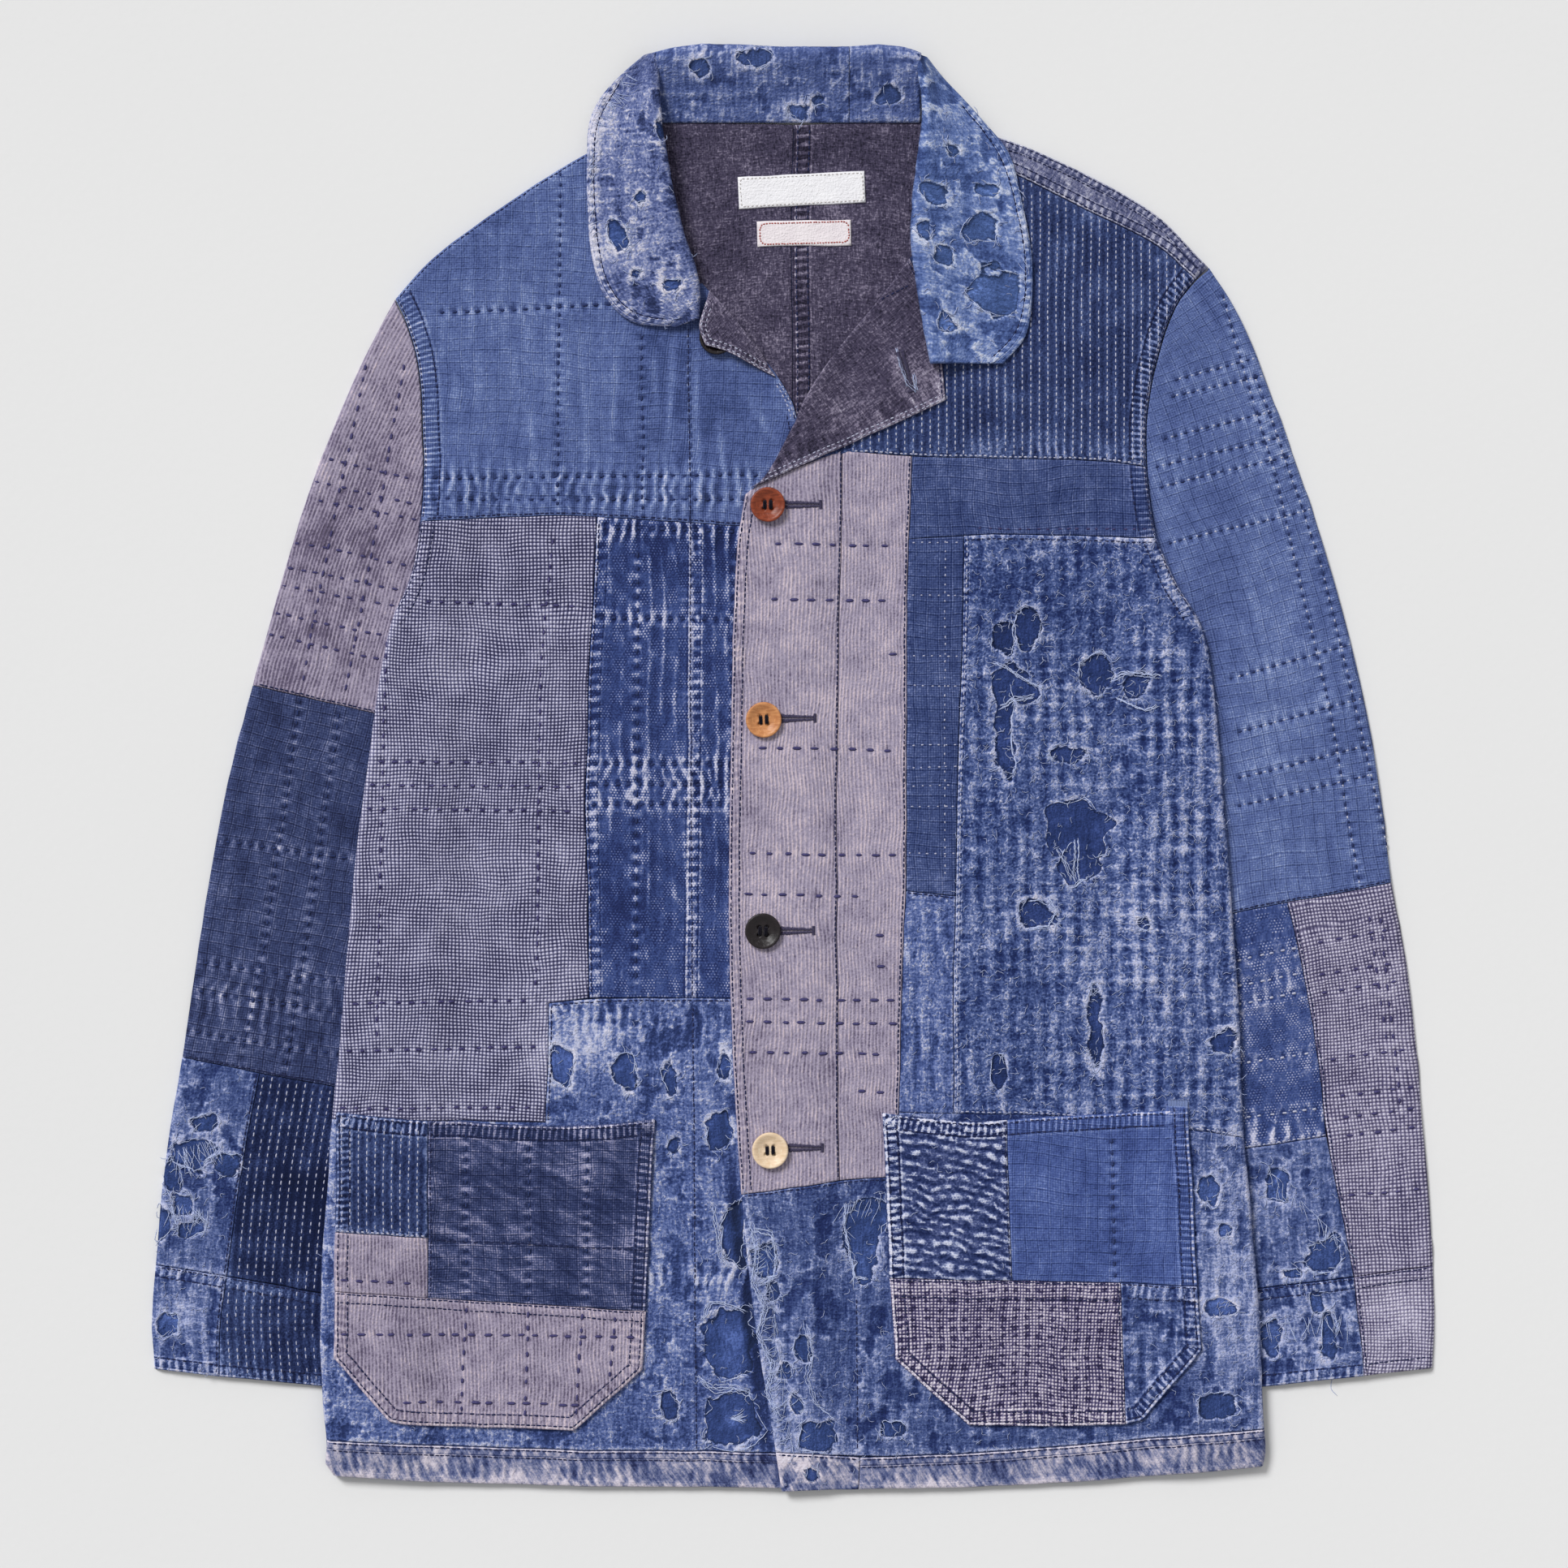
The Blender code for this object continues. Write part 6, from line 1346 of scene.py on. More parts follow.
def strip_faces(points, rows_count, across):
    """Quads round a thick strip, facing out: its outer face's first, then the inner face and the ends."""
    size = rows_count * across
    i, j = np.meshgrid(np.arange(rows_count - 1), np.arange(across - 1), indexing="ij")
    a = (i * across + j).ravel()
    top = np.stack([a, a + across, a + across + 1, a + 1], axis=1)
    i = np.arange(rows_count - 1) * across
    j = np.arange(across - 1)
    faces = np.vstack([
        top, top[:, ::-1] + size,
        np.stack([i, i + size, i + across + size, i + across], axis=1),
        np.stack([i, i + across, i + across + size, i + size], axis=1) + across - 1,
        np.stack([j, j + 1, j + 1 + size, j + size], axis=1),
        np.stack([j, j + size, j + 1 + size, j + 1], axis=1) + size - across,
    ])
    corner = points[faces]
    turns = (np.cross(corner[:, k], corner[:, k + 1]) for k in (1, 2))
    volume = sum(np.einsum("ij,ij->i", corner[:, 0], turn).sum() for turn in turns)
    return (faces[:, ::-1] if volume < 0 else faces), len(top)


def strip_solid(name, middle, thickness, fabric):
    """A thick strip on a grid of middle points; the outer face gets the relief."""
    rows_count, across = middle.shape[:2]
    along_rows = np.gradient(middle, axis=0)
    along_line = np.gradient(middle, axis=1)
    patch = np.cross(along_rows, along_line)
    steps = np.linalg.norm(patch, axis=2)
    normal = patch / np.maximum(steps, 1e-9)[..., None]
    if normal[:, : across // 3, 2].mean() < 0:
        normal = -normal
    share = np.linspace(0.0, 1.0, across)
    blunt = 1.0 - round_over(np.minimum(share, 1.0 - share) * across, 2.5, 0.85)
    half = (0.5 * thickness[:, None] * blunt[None, :])[..., None]
    outer, inner = middle + normal * half, middle - normal * half
    x, y = outer[..., 0].ravel(), outer[..., 1].ravel()
    relief = Relief(name, x, y)
    shown = smooth(normal[..., 2], 0.05, 0.5) * smooth(share, 1.0, 0.8)[None, :]
    bulge = (0.5 * relief.drape + relief.fine).reshape(rows_count, across)
    outer = outer + normal * (bulge * (0.15 + 0.85 * shown) * blunt[None, :])[..., None]
    relief.wear = relief.wear + 0.5 * softly(share * across, 2.2)[None, :].repeat(rows_count, 0).ravel()
    points = np.vstack([outer.reshape(-1, 3), inner.reshape(-1, 3)])
    faces, top_count = strip_faces(points, rows_count, across)
    run_rows = np.cumsum(np.linalg.norm(along_rows, axis=2).mean(axis=1))
    run_line = np.cumsum(np.linalg.norm(along_line, axis=2).mean(axis=0))
    u = run_rows[:, None].repeat(across, 1).ravel() + 0.5 * noise(x, y, 14.0, 21)
    v = run_line[None, :].repeat(rows_count, 0).ravel() + 0.5 * noise(x, y, 14.0, 23)
    marks = relief.marks(np.stack([u, v, np.full(u.shape, len(name) * 3.1)], axis=1))
    remember(name, points[: rows_count * across], faces[:top_count])
    made = add_cloth(name, points, faces, fabric, [np.vstack([m, m]) for m in marks])


def wing(name):
    """A collar wing: it falls from the roll to its outer edge and turns down to the stand."""
    lines, thick = [], []
    for ox, oy, oz, rx, ry, rz, fz in WINGS[name]:
        width = math.hypot(ox - rx, oy - ry)
        ux, uy = (ox - rx) / width, (oy - ry) / width
        foot, rise = min(10.0, 0.55 * width), rz - oz
        section = [
            (width - 0.2, oz), (0.72 * width, oz + 0.10 * rise), (0.42 * width, oz + 0.42 * rise),
            (0.18 * width, oz + 0.84 * rise), (min(1.6, 0.1 * width), rz), (-0.6, rz - 1.6), (0.2, rz - 3.6),
            (0.45 * foot, (rz - 3.6 + fz) / 2.0 + 0.2), (foot, fz),
        ]
        lines.append([(rx + ux * s, ry + uy * s, z) for s, z in section])
        thick.append(min(2.0, 0.2 * width + 0.5))
    along, across = 150, 46
    middle = np.array([curved(line, across) for line in curved(lines, along)])
    thickness = np.interp(np.linspace(0, 1, along), np.linspace(0, 1, len(thick)), thick)
    strip_solid(name, middle, thickness, "collar_light" if name.endswith("left") else "collar_worn")


def collar_back(name):
    """Part of the collar behind the neck: a band that stands up and falls back."""
    start, end = COLLAR_BACKS[name]
    count = int((end - start) / 1.3) + 2
    line = curved(COLLAR_SECTION, 60)
    x = np.linspace(start, end, count)
    wave = np.interp(x, [r[0] for r in COLLAR_WAVE], [r[1] for r in COLLAR_WAVE])
    y = line[None, :, 0] + wave[:, None] * ease((line[None, :, 0] - 370.0) / 20.0)
    x, z = np.broadcast_to(x[:, None], y.shape), np.broadcast_to(line[None, :, 1], y.shape)
    middle = np.stack([x, y, z], axis=2)
    strip_solid(name, middle, np.full(count, 2.0), "collar_dark")


# ------------------------------------------------------------------ threads
def unit(vectors, least=1e-9):
    """Vectors of length 1 along the last axis."""
    return vectors / np.maximum(np.linalg.norm(vectors, axis=-1), least)[..., None]


def left_of(way):
    """Flat vectors to the left of each way, in three numbers."""
    return np.stack([-way[..., 1], way[..., 0], np.zeros(way.shape[:-1])], axis=-1)


class Threads:
    """Gathers stitches and loose threads of one colour into one mesh."""

    def __init__(self):
        self.points, self.faces, self.marks, self.count = [], [], [], 0

    def take(self, points, pattern, marks):
        """Adds copies of one small mesh: points (copies, points, 3), the faces of one, and their marks."""
        copies, each = points.shape[:2]
        faces = np.array(pattern)[None] + each * np.arange(copies)[:, None, None]
        self.points.append(points.reshape(-1, 3))
        self.faces.append(faces.reshape(-1, 3) + self.count)
        self.marks.append(marks)
        self.count += copies * each

    def stitch(self, start, end, width, height=0.45):
        """Rounded stitches from arrays of start and end places; width is one number or an array."""
        start, end = np.asarray(start, float), np.asarray(end, float)
        good = np.isfinite(start).all(axis=1) & np.isfinite(end).all(axis=1)
        start, end = start[good], end[good]
        if not len(start):
            return
        width = np.broadcast_to(width, good.shape)[good]
        length = np.maximum(np.linalg.norm(end - start, axis=1), 1e-6)[:, None]
        way = (end - start) / length
        side = unit(left_of(way)) * width[:, None] / 2.0
        up = np.array([0.0, 0.0, height])
        corners = [start]
        for share in (0.24, 0.76):
            middle = start + way * length * share
            corners += [middle + side, middle + up, middle - side, middle - up * 0.6]
        points = np.stack([*corners, end], axis=1)
        faces = []
        for k in range(4):
            n = (k + 1) % 4
            faces += [(0, 1 + n, 1 + k), (9, 5 + k, 5 + n), (1 + k, 1 + n, 5 + n), (1 + k, 5 + n, 5 + k)]
        along = np.tile([0.0] + 4 * [0.24] + 4 * [0.76] + [1.0], len(start)) * length.repeat(10)
        seed = np.repeat(start[:, 0] * 7.3 + start[:, 1], 10)
        self.take(points, faces, np.stack([along, seed, np.zeros(len(along))], axis=1))

    def strand(self, paths, radius):
        """Thin threads along paths, an array of (threads, places, 3)."""
        paths = paths[np.isfinite(paths).all(axis=(1, 2))]
        if not len(paths):
            return
        count, places = paths.shape[:2]
        way = unit(np.gradient(paths, axis=1))
        side = unit(left_of(way))
        up = np.cross(way, side)
        taper = np.ones(places)
        taper[0] = taper[-1] = 0.45
        size = (radius * taper)[None, :, None]
        angles = (math.pi / 2, math.pi * 7 / 6, math.pi * 11 / 6)
        rings = [paths + (side * math.cos(angle) + up * math.sin(angle)) * size for angle in angles]
        faces = []
        for a in range(0, 3 * (places - 1), 3):
            for k in range(3):
                n, b = (k + 1) % 3, a + 3
                faces += [(a + k, a + n, b + n), (a + k, b + n, b + k)]
        last = 3 * (places - 1)
        faces += [(0, 2, 1), (last, last + 1, last + 2)]
        run = np.tile(np.repeat(np.arange(places) * 1.2, 3), count)
        seed = np.repeat(paths[:, 0, 0] * 5.1, 3 * places)
        points = np.stack(rings, axis=2).reshape(count, 3 * places, 3)
        self.take(points, faces, np.stack([run, seed, np.zeros(len(run))], axis=1))

    def make(self, name, material, slot):
        marks = {"cloth": np.vstack(self.marks)}
        own(add_mesh(name, np.vstack(self.points), np.vstack(self.faces), material, marks), slot)


GROUPS = {}
AREA_OF = {
    "front_r": "right_front", "pocket_r": "right_front", "lapel_r": "right_front", "front_l": "left_front",
    "pocket_l": "left_front", "lapel_l": "left_front", "sleeve_r": "right_sleeve", "sleeve_l": "left_sleeve",
    "lining": "neck", "collar": "neck", "label": "neck",
}
AREA_SLOT = {
    "right_front": "ripstop_light", "left_front": "boro", "right_sleeve": "stripe", "left_sleeve": "dobby",
    "neck": "charcoal",
}


def threads(colour, piece):
    """The gatherer of that thread colour in the piece's area of the jacket."""
    return GROUPS.setdefault((colour, AREA_OF[LAYER[piece]]), Threads())


def on_cloth(pieces, places, lift=0.0):
    """Flat places on the highest of some pieces."""
    z = np.full(len(places), np.nan)
    for piece in pieces:
        z = np.fmax(z, drop(piece, *places.T))
    return np.column_stack([places, z + lift])


def sew(pieces, line, pitch, length, width, colour, rng, sink=0.05, loose=0.12):
    """A row of stitches along a line on those pieces."""
    s = np.arange(0.4, length_of(line) - length, pitch)
    if not len(s):
        return
    s = s + rng.normal(0, loose * pitch * 0.4, len(s))
    size = length * rng.uniform(1 - loose, 1 + loose, len(s))
    a, way = at(line, s)
    b, _ = at(line, s + size)
    sway = rng.normal(0, 0.07 * width + 0.03, (2, len(s)))
    side = left_of(way)[:, :2]
    start = on_cloth(pieces, a + side * sway[0][:, None], -sink)
    end = on_cloth(pieces, b + side * sway[1][:, None], -sink)
    thick = width * rng.uniform(0.85, 1.15, len(s))
    threads(colour, pieces[0]).stitch(start, end, thick, 0.22 + 0.22 * width)


THREAD_ALONG_SEAM = {
    # colour: pitch, length, width
    "navy": (2.9, 2.7, 0.95), "pale": (2.9, 2.2, 0.8), "white": (2.7, 2.0, 0.9),
}


def beside(line, distance):
    """The line moved to its left."""
    return line + left_of(unit(np.gradient(line, axis=0), 0.0))[:, :2] * distance


def seam_stitches():
    rng = np.random.default_rng(11)
    for seam in SEAM_LINES:
        pitch, length, size = THREAD_ALONG_SEAM[seam.thread]
        for row in seam.rows:
            line = beside(seam.line, seam.side * row)
            sew(seam.pieces or (seam.owner,), line, pitch, length, size, seam.thread, rng)


def running_stitches():
    rng = np.random.default_rng(12)
    for pieces, start, end, pitch, length, width, thread, _ in ROWS:
        line = wander(spaced(np.array([start, end], float), 6.0, False))
        sew(pieces, line, pitch, length, width, thread, rng, loose=0.2)


SASHIKO = {
    # piece: pitch along a row, length of a stitch, share of stitches left
    "left_front_yoke": (3.3, 2.5, 0.95), "right_sleeve_sashiko": (3.8, 2.6, 0.9),
    "right_cuff_sashiko": (3.8, 2.5, 0.8), "right_pocket_sashiko": (3.5, 2.5, 0.92),
}


def sashiko_lines(piece):
    """The rows of a sashiko piece, numbered: along the sleeve's edge, or upright with a slight sway."""
    if LAYER[piece].startswith("sleeve"):
        edge = spaced(SLEEVE_LINES[LAYER[piece]], 6.0, False)
        return [(k, beside(edge, k * SASHIKO_PITCH)) for k in range(1, 30)]
    low, high = OUTLINES[piece].min(axis=0), OUTLINES[piece].max(axis=0)
    shift = 0.0 if piece == "left_front_yoke" else -1.2
    y = np.arange(low[1] - 4, high[1] + 4, 3.0)
    lines = []
    for k in range(math.floor(low[0] / SASHIKO_PITCH), math.ceil(high[0] / SASHIKO_PITCH) + 1):
        x = np.full(y.shape, k * SASHIKO_PITCH + shift)
        lines.append((k, np.stack([x - 0.6 * noise(x, y, 40.0, 57), y], axis=1)))
    return lines


def sashiko_stitches():
    """White stitches along the ribs, in step from row to row by halves."""
    rng = np.random.default_rng(13)
    for piece, (pitch, length, share) in SASHIKO.items():
        for column, line in sashiko_lines(piece):
            shift = (column % 2) * pitch * 0.5 + rng.uniform(0, 0.4)
            s = np.arange(0.0, length_of(line) - length, pitch) + shift
            s = s[rng.random(len(s)) < share]
            a, _ = at(line, s + rng.normal(0, 0.12, len(s)))
            b, _ = at(line, s + length * rng.uniform(0.85, 1.12, len(s)))
            x, y = 0.5 * (a + b).T
            keep = inside(OUTLINES[piece], x, y) & (edge_distance(OUTLINES[piece], x, y) > 1.6)
            start, end = on_cloth((piece,), a[keep], -0.04), on_cloth((piece,), b[keep], -0.04)
            threads("white", piece).stitch(start, end, rng.uniform(0.6, 0.85, keep.sum()), 0.45)


def curl(start, heading, step, places, bend, rng):
    """Wandering paths in plan from arrays of starts and headings."""
    turn = rng.normal(0, bend, (len(start), places)).cumsum(axis=1) * 0.6 + heading[:, None]
    moves = np.stack([np.cos(turn), np.sin(turn)], axis=2) * np.asarray(step)[:, None, None]
    moves[:, 0] = 0
    return start[:, None, :] + moves.cumsum(axis=1)


def lay(colour, piece, paths, lift, radius, rng):
    """Lays threads on the cloth along plan paths, each rising a little between its ends."""
    count, places = paths.shape[:2]
    flat = on_cloth((piece,), paths.reshape(-1, 2)).reshape(count, places, 3)
    z = flat[..., 2]
    mean = np.nanmean(np.where(np.isfinite(z), z, np.nan), axis=1, keepdims=True)
    flat[..., 2] = np.where(np.isfinite(z), z, mean)
    arch = np.sin(np.linspace(0, math.pi, places))[None, :]
    flat[..., 2] += 0.12 + lift * arch * rng.uniform(0.2, 1.0, (count, 1))
    threads(colour, piece).strand(flat, radius)


FUZZ = {
    # piece: loose threads per square centimetre
    "left_front_boro": 5.4, "left_front_lower": 2.4, "right_front_lower": 0.8, "right_sleeve_boro": 1.8,
    "right_cuff_boro": 2.4, "left_sleeve_boro": 1.2, "left_cuff_boro": 1.6, "left_front_worn_strip": 0.5,
    "left_pocket_boro": 1.6, "left_hem_end": 2.0, "collar_wing_right": 1.4, "collar_wing_left": 0.7,
    "left_pocket_checker": 0.6,
}


def either_way(heading, rng):
    """Turns about half of the headings round."""
    return heading + math.pi * (rng.random(len(heading)) < 0.5)


def fuzz(rng):
    """Short loose threads on the worn patches, most of them along the warp."""
    for piece, density in FUZZ.items():
        loop = OUTLINES.get(piece)
        around = np.array([p for r in WINGS[piece] for p in (r[:2], r[3:5])]) if loop is None else loop
        low, high = around.min(axis=0), around.max(axis=0)
        start = rng.uniform(low, high, (int((high - low).prod() / 100.0 * density), 2))
        if loop is not None:
            start = start[inside(loop, *start.T)]
        cloth_there = Relief(piece, *start.T)
        at_rim = np.abs(cloth_there.hole - 1.5) < 1.5
        start = start[rng.random(len(start)) < 0.35 + 0.8 * np.clip(cloth_there.wear, 0, 1) + 0.4 * at_rim]
        count = len(start)
        upright = rng.random(count) < 0.7
        heading = np.where(upright, rng.normal(math.pi / 2, 0.35, count), rng.normal(0, 0.4, count))
        heading = either_way(heading, rng)
        paths = curl(start, heading, rng.uniform(0.5, 1.0, count), 7, 1.1, rng)
        lay("fuzz", piece, paths, 0.3, 0.22, rng)


def frayed_rims(rng):
    """Round each hole, short threads that point inward and a few that follow its rim."""
    for piece, x, y, rx, ry, fray in [(piece, *hole) for piece, group in HOLES.items() for hole in group]:
        count = int((rx + ry) * 0.75 * fray) + 2
        turn = rng.uniform(0, 2 * math.pi, count)
        start = rim_places(x, y, rx, ry, turn, rng.normal(1.04, 0.05, count))
        start = start[np.abs(worn_through(piece, *start.T)[0]) < 1.3]
        count = len(start)
        heading = np.arctan2(y - start[:, 1], x - start[:, 0]) + rng.normal(math.pi / 2, 0.5, count)
        heading = either_way(heading, rng)
        lay("frayed", piece, curl(start, heading, rng.uniform(0.5, 1.1, count), 7, 0.7, rng), 0.7, 0.22, rng)
        count, places = int((rx + ry) * 0.2 * fray) + 1, 9
        turn = rng.uniform(0, 2 * math.pi, count)[:, None]
        turn = turn + np.linspace(0, 1, places)[None, :] * rng.uniform(0.5, 1.6, count)[:, None]
        share = rng.normal(1.05, 0.05, (count, 1)) + rng.normal(0, 0.035, (count, places))
        paths = rim_places(x, y, rx, ry, turn.ravel(), share.ravel()).reshape(count, places, 2)
        paths = paths[np.abs(worn_through(piece, *paths[:, 4].T)[0]) < 1.5]
        lay("frayed", piece, paths, 0.4, 0.28, rng)


def rim_places(x, y, rx, ry, turn, share):
    """Places round a hole's rim, pulled about as in worn_through()."""
    c, s = np.cos(turn), np.sin(turn)
    px = x + rx * np.sign(c) * np.abs(c) ** 0.77 * share
    py = y + ry * np.sign(s) * np.abs(s) ** 0.77 * share
    dx, dy = pulled_rim(px, py, x, y, rx, ry)
    return np.stack([px - dx, py - dy], axis=1)


def ladder_threads(piece, start, end, count, length, turn, seed, radius=0.2):
    """Straight loose threads side by side between two places, such as the weft bared at an edge."""
    rng = np.random.default_rng(seed)
    start, end = np.array(start, float), np.array(end, float)
    start = start + (end - start) * np.sort(rng.random(count))[:, None] + rng.normal(0, 0.5, (count, 2))
    heading = math.radians(turn) + rng.normal(0, 0.25, count)
    paths = curl(start, heading, rng.uniform(0.6, 1.3, count) * length / 6.0, 7, 0.22, rng)
    lay("frayed", piece, paths, 0.6, radius, rng)


def trail(piece, points, count, spread, radius, seed):
    """A few threads that run together along a line, such as the rolled edge of a tear."""
    rng = np.random.default_rng(seed)
    middle = spaced(rounded(np.array(points, float), False), 1.6, False)
    away = rng.normal(0, spread, (count, 1, 2)) + rng.normal(0, 0.3, (count, len(middle), 2))
    lay("frayed", piece, middle[None] + away, 0.7, radius, rng)


LADDERS = [
    # piece, start, end, threads, their length, their turn, seed, radius
    ("left_front_lower", (28, -236), (48, -232), 9, 13.0, -100, 31, 0.16),
    ("left_front_lower", (27, -240), (28, -268), 8, 7.0, -60, 32, 0.16),
    ("collar_wing_right", (-108, 350), (-90, 379), 26, 8.0, -40, 33, 0.2),
    ("collar_wing_right", (-111, 290), (-111, 330), 18, 6.0, 60, 34, 0.2),
    ("collar_wing_left", (126, 262), (126, 320), 22, 6.0, 110, 35, 0.2),
    ("right_front_lower", (-34, -353), (-34, -352), 18, 7.0, 0, 36, 0.2),
]
TRAILS = [
    # piece, places, threads, spread, radius, seed
    ("left_front_boro", [(108, 57), (114, 55), (120, 51), (128, 46), (135, 43)], 4, 0.8, 0.26, 38),
    ("left_front_boro", [(112, 33), (116, 35), (120, 38), (127, 38), (131, 40)], 4, 0.8, 0.3, 40),
    ("left_front_boro", [(153.5, -38), (154, -46), (153, -54), (154.5, -61)], 4, 0.7, 0.3, 37),
    ("left_front_boro", [(143, -43), (148, -52), (151, -61)], 3, 0.8, 0.25, 36),
    ("left_front_boro", [(172, 48), (180, 52), (190, 51), (199, 50)], 4, 1.0, 0.3, 43),
    ("left_front_boro", [(174, 38), (182, 34), (190, 31), (196, 34)], 3, 1.0, 0.3, 44),
    ("left_front_boro", [(138, -70), (142, -78), (138, -86), (128, -87)], 4, 0.8, 0.28, 45),
    ("left_front_lower", [(-25, -246), (-21, -262), (-24, -278), (-17, -292), (-21, -306), (-13, -322),
                          (-16, -338), (-9, -352)], 5, 1.6, 0.26, 50),
    ("left_front_lower", [(-22, -250), (-12, -252), (-9, -264), (-11, -276), (-20, -280)], 4, 0.8, 0.28, 51),
    ("left_front_lower", [(28, -236), (27, -248), (30, -262), (33, -276), (40, -277)], 4, 0.7, 0.28, 52),
    ("left_front_lower", [(6, -300), (10, -315), (7, -330), (12, -344), (22, -352)], 3, 1.2, 0.24, 53),
    ("right_front_lower", [(-44, -238), (-42, -252), (-40, -266), (-34, -270)], 3, 0.6, 0.28, 54),
    ("right_front_lower", [(-52, -330), (-44, -336), (-34, -335), (-24, -338)], 4, 0.9, 0.3, 55),
    ("right_front_lower", [(-50, -300), (-46, -290), (-36, -291), (-26, -296)], 3, 0.8, 0.26, 56),
    ("left_lapel", [(55, 228), (57, 218), (61, 208), (66, 204), (64, 214)], 3, 0.7, 0.22, 57),
]
SLEEVE_LADDERS = [
    ("right_sleeve_boro", (-338, -208), (-312, -200), 24, 14.0, -75, 39),
    ("right_sleeve_boro", (-340, -236), (-316, -240), 24, 12.0, -85, 40),
    ("left_cuff_boro", (250, -300), (300, -296), 20, 12.0, -85, 41),
    ("left_sleeve_boro", (255, -216), (300, -258), 26, 10.0, -70, 42),
]


def frayed_edges():
    """The bared weft down the left front's edge, then the other ladders and trails."""
    for y in range(-262, -372, -10):
        x = -29 + (-231 - y) * 0.135
        ladder_threads("left_front_lower", (x + 1, y + 5), (x + 2, y - 5), 7, 7.0, 10, 200 - y, 0.16)
        ladder_threads("left_front_lower", (x + 9, y + 5), (x + 10, y - 5), 5, 8.0, -80, 700 - y, 0.16)
    for row in LADDERS:
        ladder_threads(*row)
    for row in TRAILS:
        trail(*row)
    for row in SLEEVE_LADDERS:
        ladder_threads(*row)


BUTTONHOLES = [
    # piece, slit from, to
    ("left_placket_edge", (-4.4, 143.2), (13.4, 143.4)), ("left_placket_edge", (-6.6, 27.4), (10.3, 27.6)),
    ("left_placket_edge", (-7.0, -87.8), (9.5, -87.6)), ("left_placket_edge", (-2.9, -205.2), (14.3, -205.4)),
    ("left_lapel", (57.4, 226.0), (63.6, 206.0)),
]


def buttonholes():
    """Close stitches on both sides of a slit, with a bar at the far end."""
    rng = np.random.default_rng(15)
    for piece, start, end in BUTTONHOLES:
        line = spaced(np.array([start, end], float), 0.62, False)
        way = unit(line[-1] - line[0])
        side = np.array([-way[1], way[0]])
        gather = threads("buttonhole", piece)
        for sign in (1.0, -1.0):
            reach = (np.linspace(2.5, 1.3, len(line)) * rng.uniform(0.85, 1.15, len(line)))[:, None]
            slit = on_cloth((piece,), line + sign * side * 0.1, 0.4)
            gather.stitch(slit, on_cloth((piece,), line + sign * side * reach, 0.2), 0.95, 0.5)
        bar = line[-1] + side * np.linspace(-2.1, 2.1, 8)[:, None]
        gather.stitch(on_cloth((piece,), bar, 0.2), on_cloth((piece,), bar + way * 2.0), 0.9, 0.6)


def bartack():
    """Close stitches that hold the top of the left pocket's opening."""
    x = np.linspace(202.6, 212.6, 17)
    pieces = ("left_pocket_ripstop", "left_front_boro")
    low = np.stack([x, 0.1 * x % 0.7 - 184.6], axis=1)
    high = np.stack([x + 0.3, np.full(17, -178.6)], axis=1)
    threads("sky", "left_front_boro").stitch(on_cloth(pieces, low), on_cloth(pieces, high), 0.6, 0.4)


def hanging_thread():
    """A long end of thread at the left cuff."""
    places = curved([(291, -327), (292.5, -332), (292, -337), (295.5, -341)], 9)
    path = on_cloth(("left_cuff_boro",), places, 0.25)
    path[:, 2] = np.minimum.accumulate(np.where(np.isfinite(path[:, 2]), path[:, 2], 0.3))
    threads("frayed", "left_cuff_boro").strand(path[None], 0.2)


# ------------------------------------------------------------------ labels and buttons
# middle x and y, width, height, turn
LABEL_MAIN = (4.2, 314.5, 69.0, 17.5, 3.0)
LABEL_SMALL = (5.6, 291.0, 51.0, 14.0, 1.6)


def label_edge(piece, size, inset, corner, pitch, length, width, colour, seed):
    """Stitches round a label, with rounded corners."""
    cx, cy, w, h, turn = size
    w, h = w / 2.0 - inset - corner, h / 2.0 - inset - corner
    ring = []
    for sx, sy, start in ((1, 1, 0), (-1, 1, 90), (-1, -1, 180), (1, -1, 270)):
        angle = np.radians(start + 22.5 * np.arange(5))
        ring.append(np.stack([sx * w + corner * np.cos(angle), sy * h + corner * np.sin(angle)], axis=1))
    ring = np.vstack([*ring, ring[0][:1]])
    line = np.stack(turned(*ring.T, -turn), axis=1) + (cx, cy)
    sew((piece,), line, pitch, length, width, colour, np.random.default_rng(seed), sink=-0.02)


# name, x, y, z, size, turn of the thread bars
BUTTONS = [
    ("button_1", -14.3, 143.2, 7.6, 1.00, 0.0), ("button_2", -16.5, 26.6, 7.6, 1.03, 4.0),
    ("button_3", -16.9, -87.8, 7.6, 1.03, -3.0), ("button_4", -13.0, -206.6, 7.6, 1.05, 2.0),
    ("button_5", -42.0, 234.0, 5.6, 1.00, 8.0),
]
BUTTON_R = 9.4
BUTTON_SIDES = 64
DISH_ROWS, DISH_Z = 8, 1.5      # rows of the section that lie in the flat of the dish, and its height
BUTTON_FACE = [
    # its section, from the middle of the face over the rim to the underside: share of the radius, height
    (0.00, 1.5), (0.10, 1.5), (0.20, 1.5), (0.28, 1.5), (0.36, 1.5), (0.46, 1.5), (0.53, 1.66), (0.60, 1.95),
    (0.67, 2.3), (0.74, 2.7), (0.80, 3.05), (0.86, 3.3), (0.90, 3.38), (0.94, 3.36), (0.975, 3.15), (0.993, 2.8),
    (1.00, 2.2), (0.985, 1.5), (0.94, 0.9), (0.84, 0.35), (0.72, 0.1), (0.36, 0.02), (0.00, 0.0),
]
HOLE_AWAY = 1.9                 # sewing holes lie this far out, both ways
BAR_ENDS = (-2.9, 2.9)


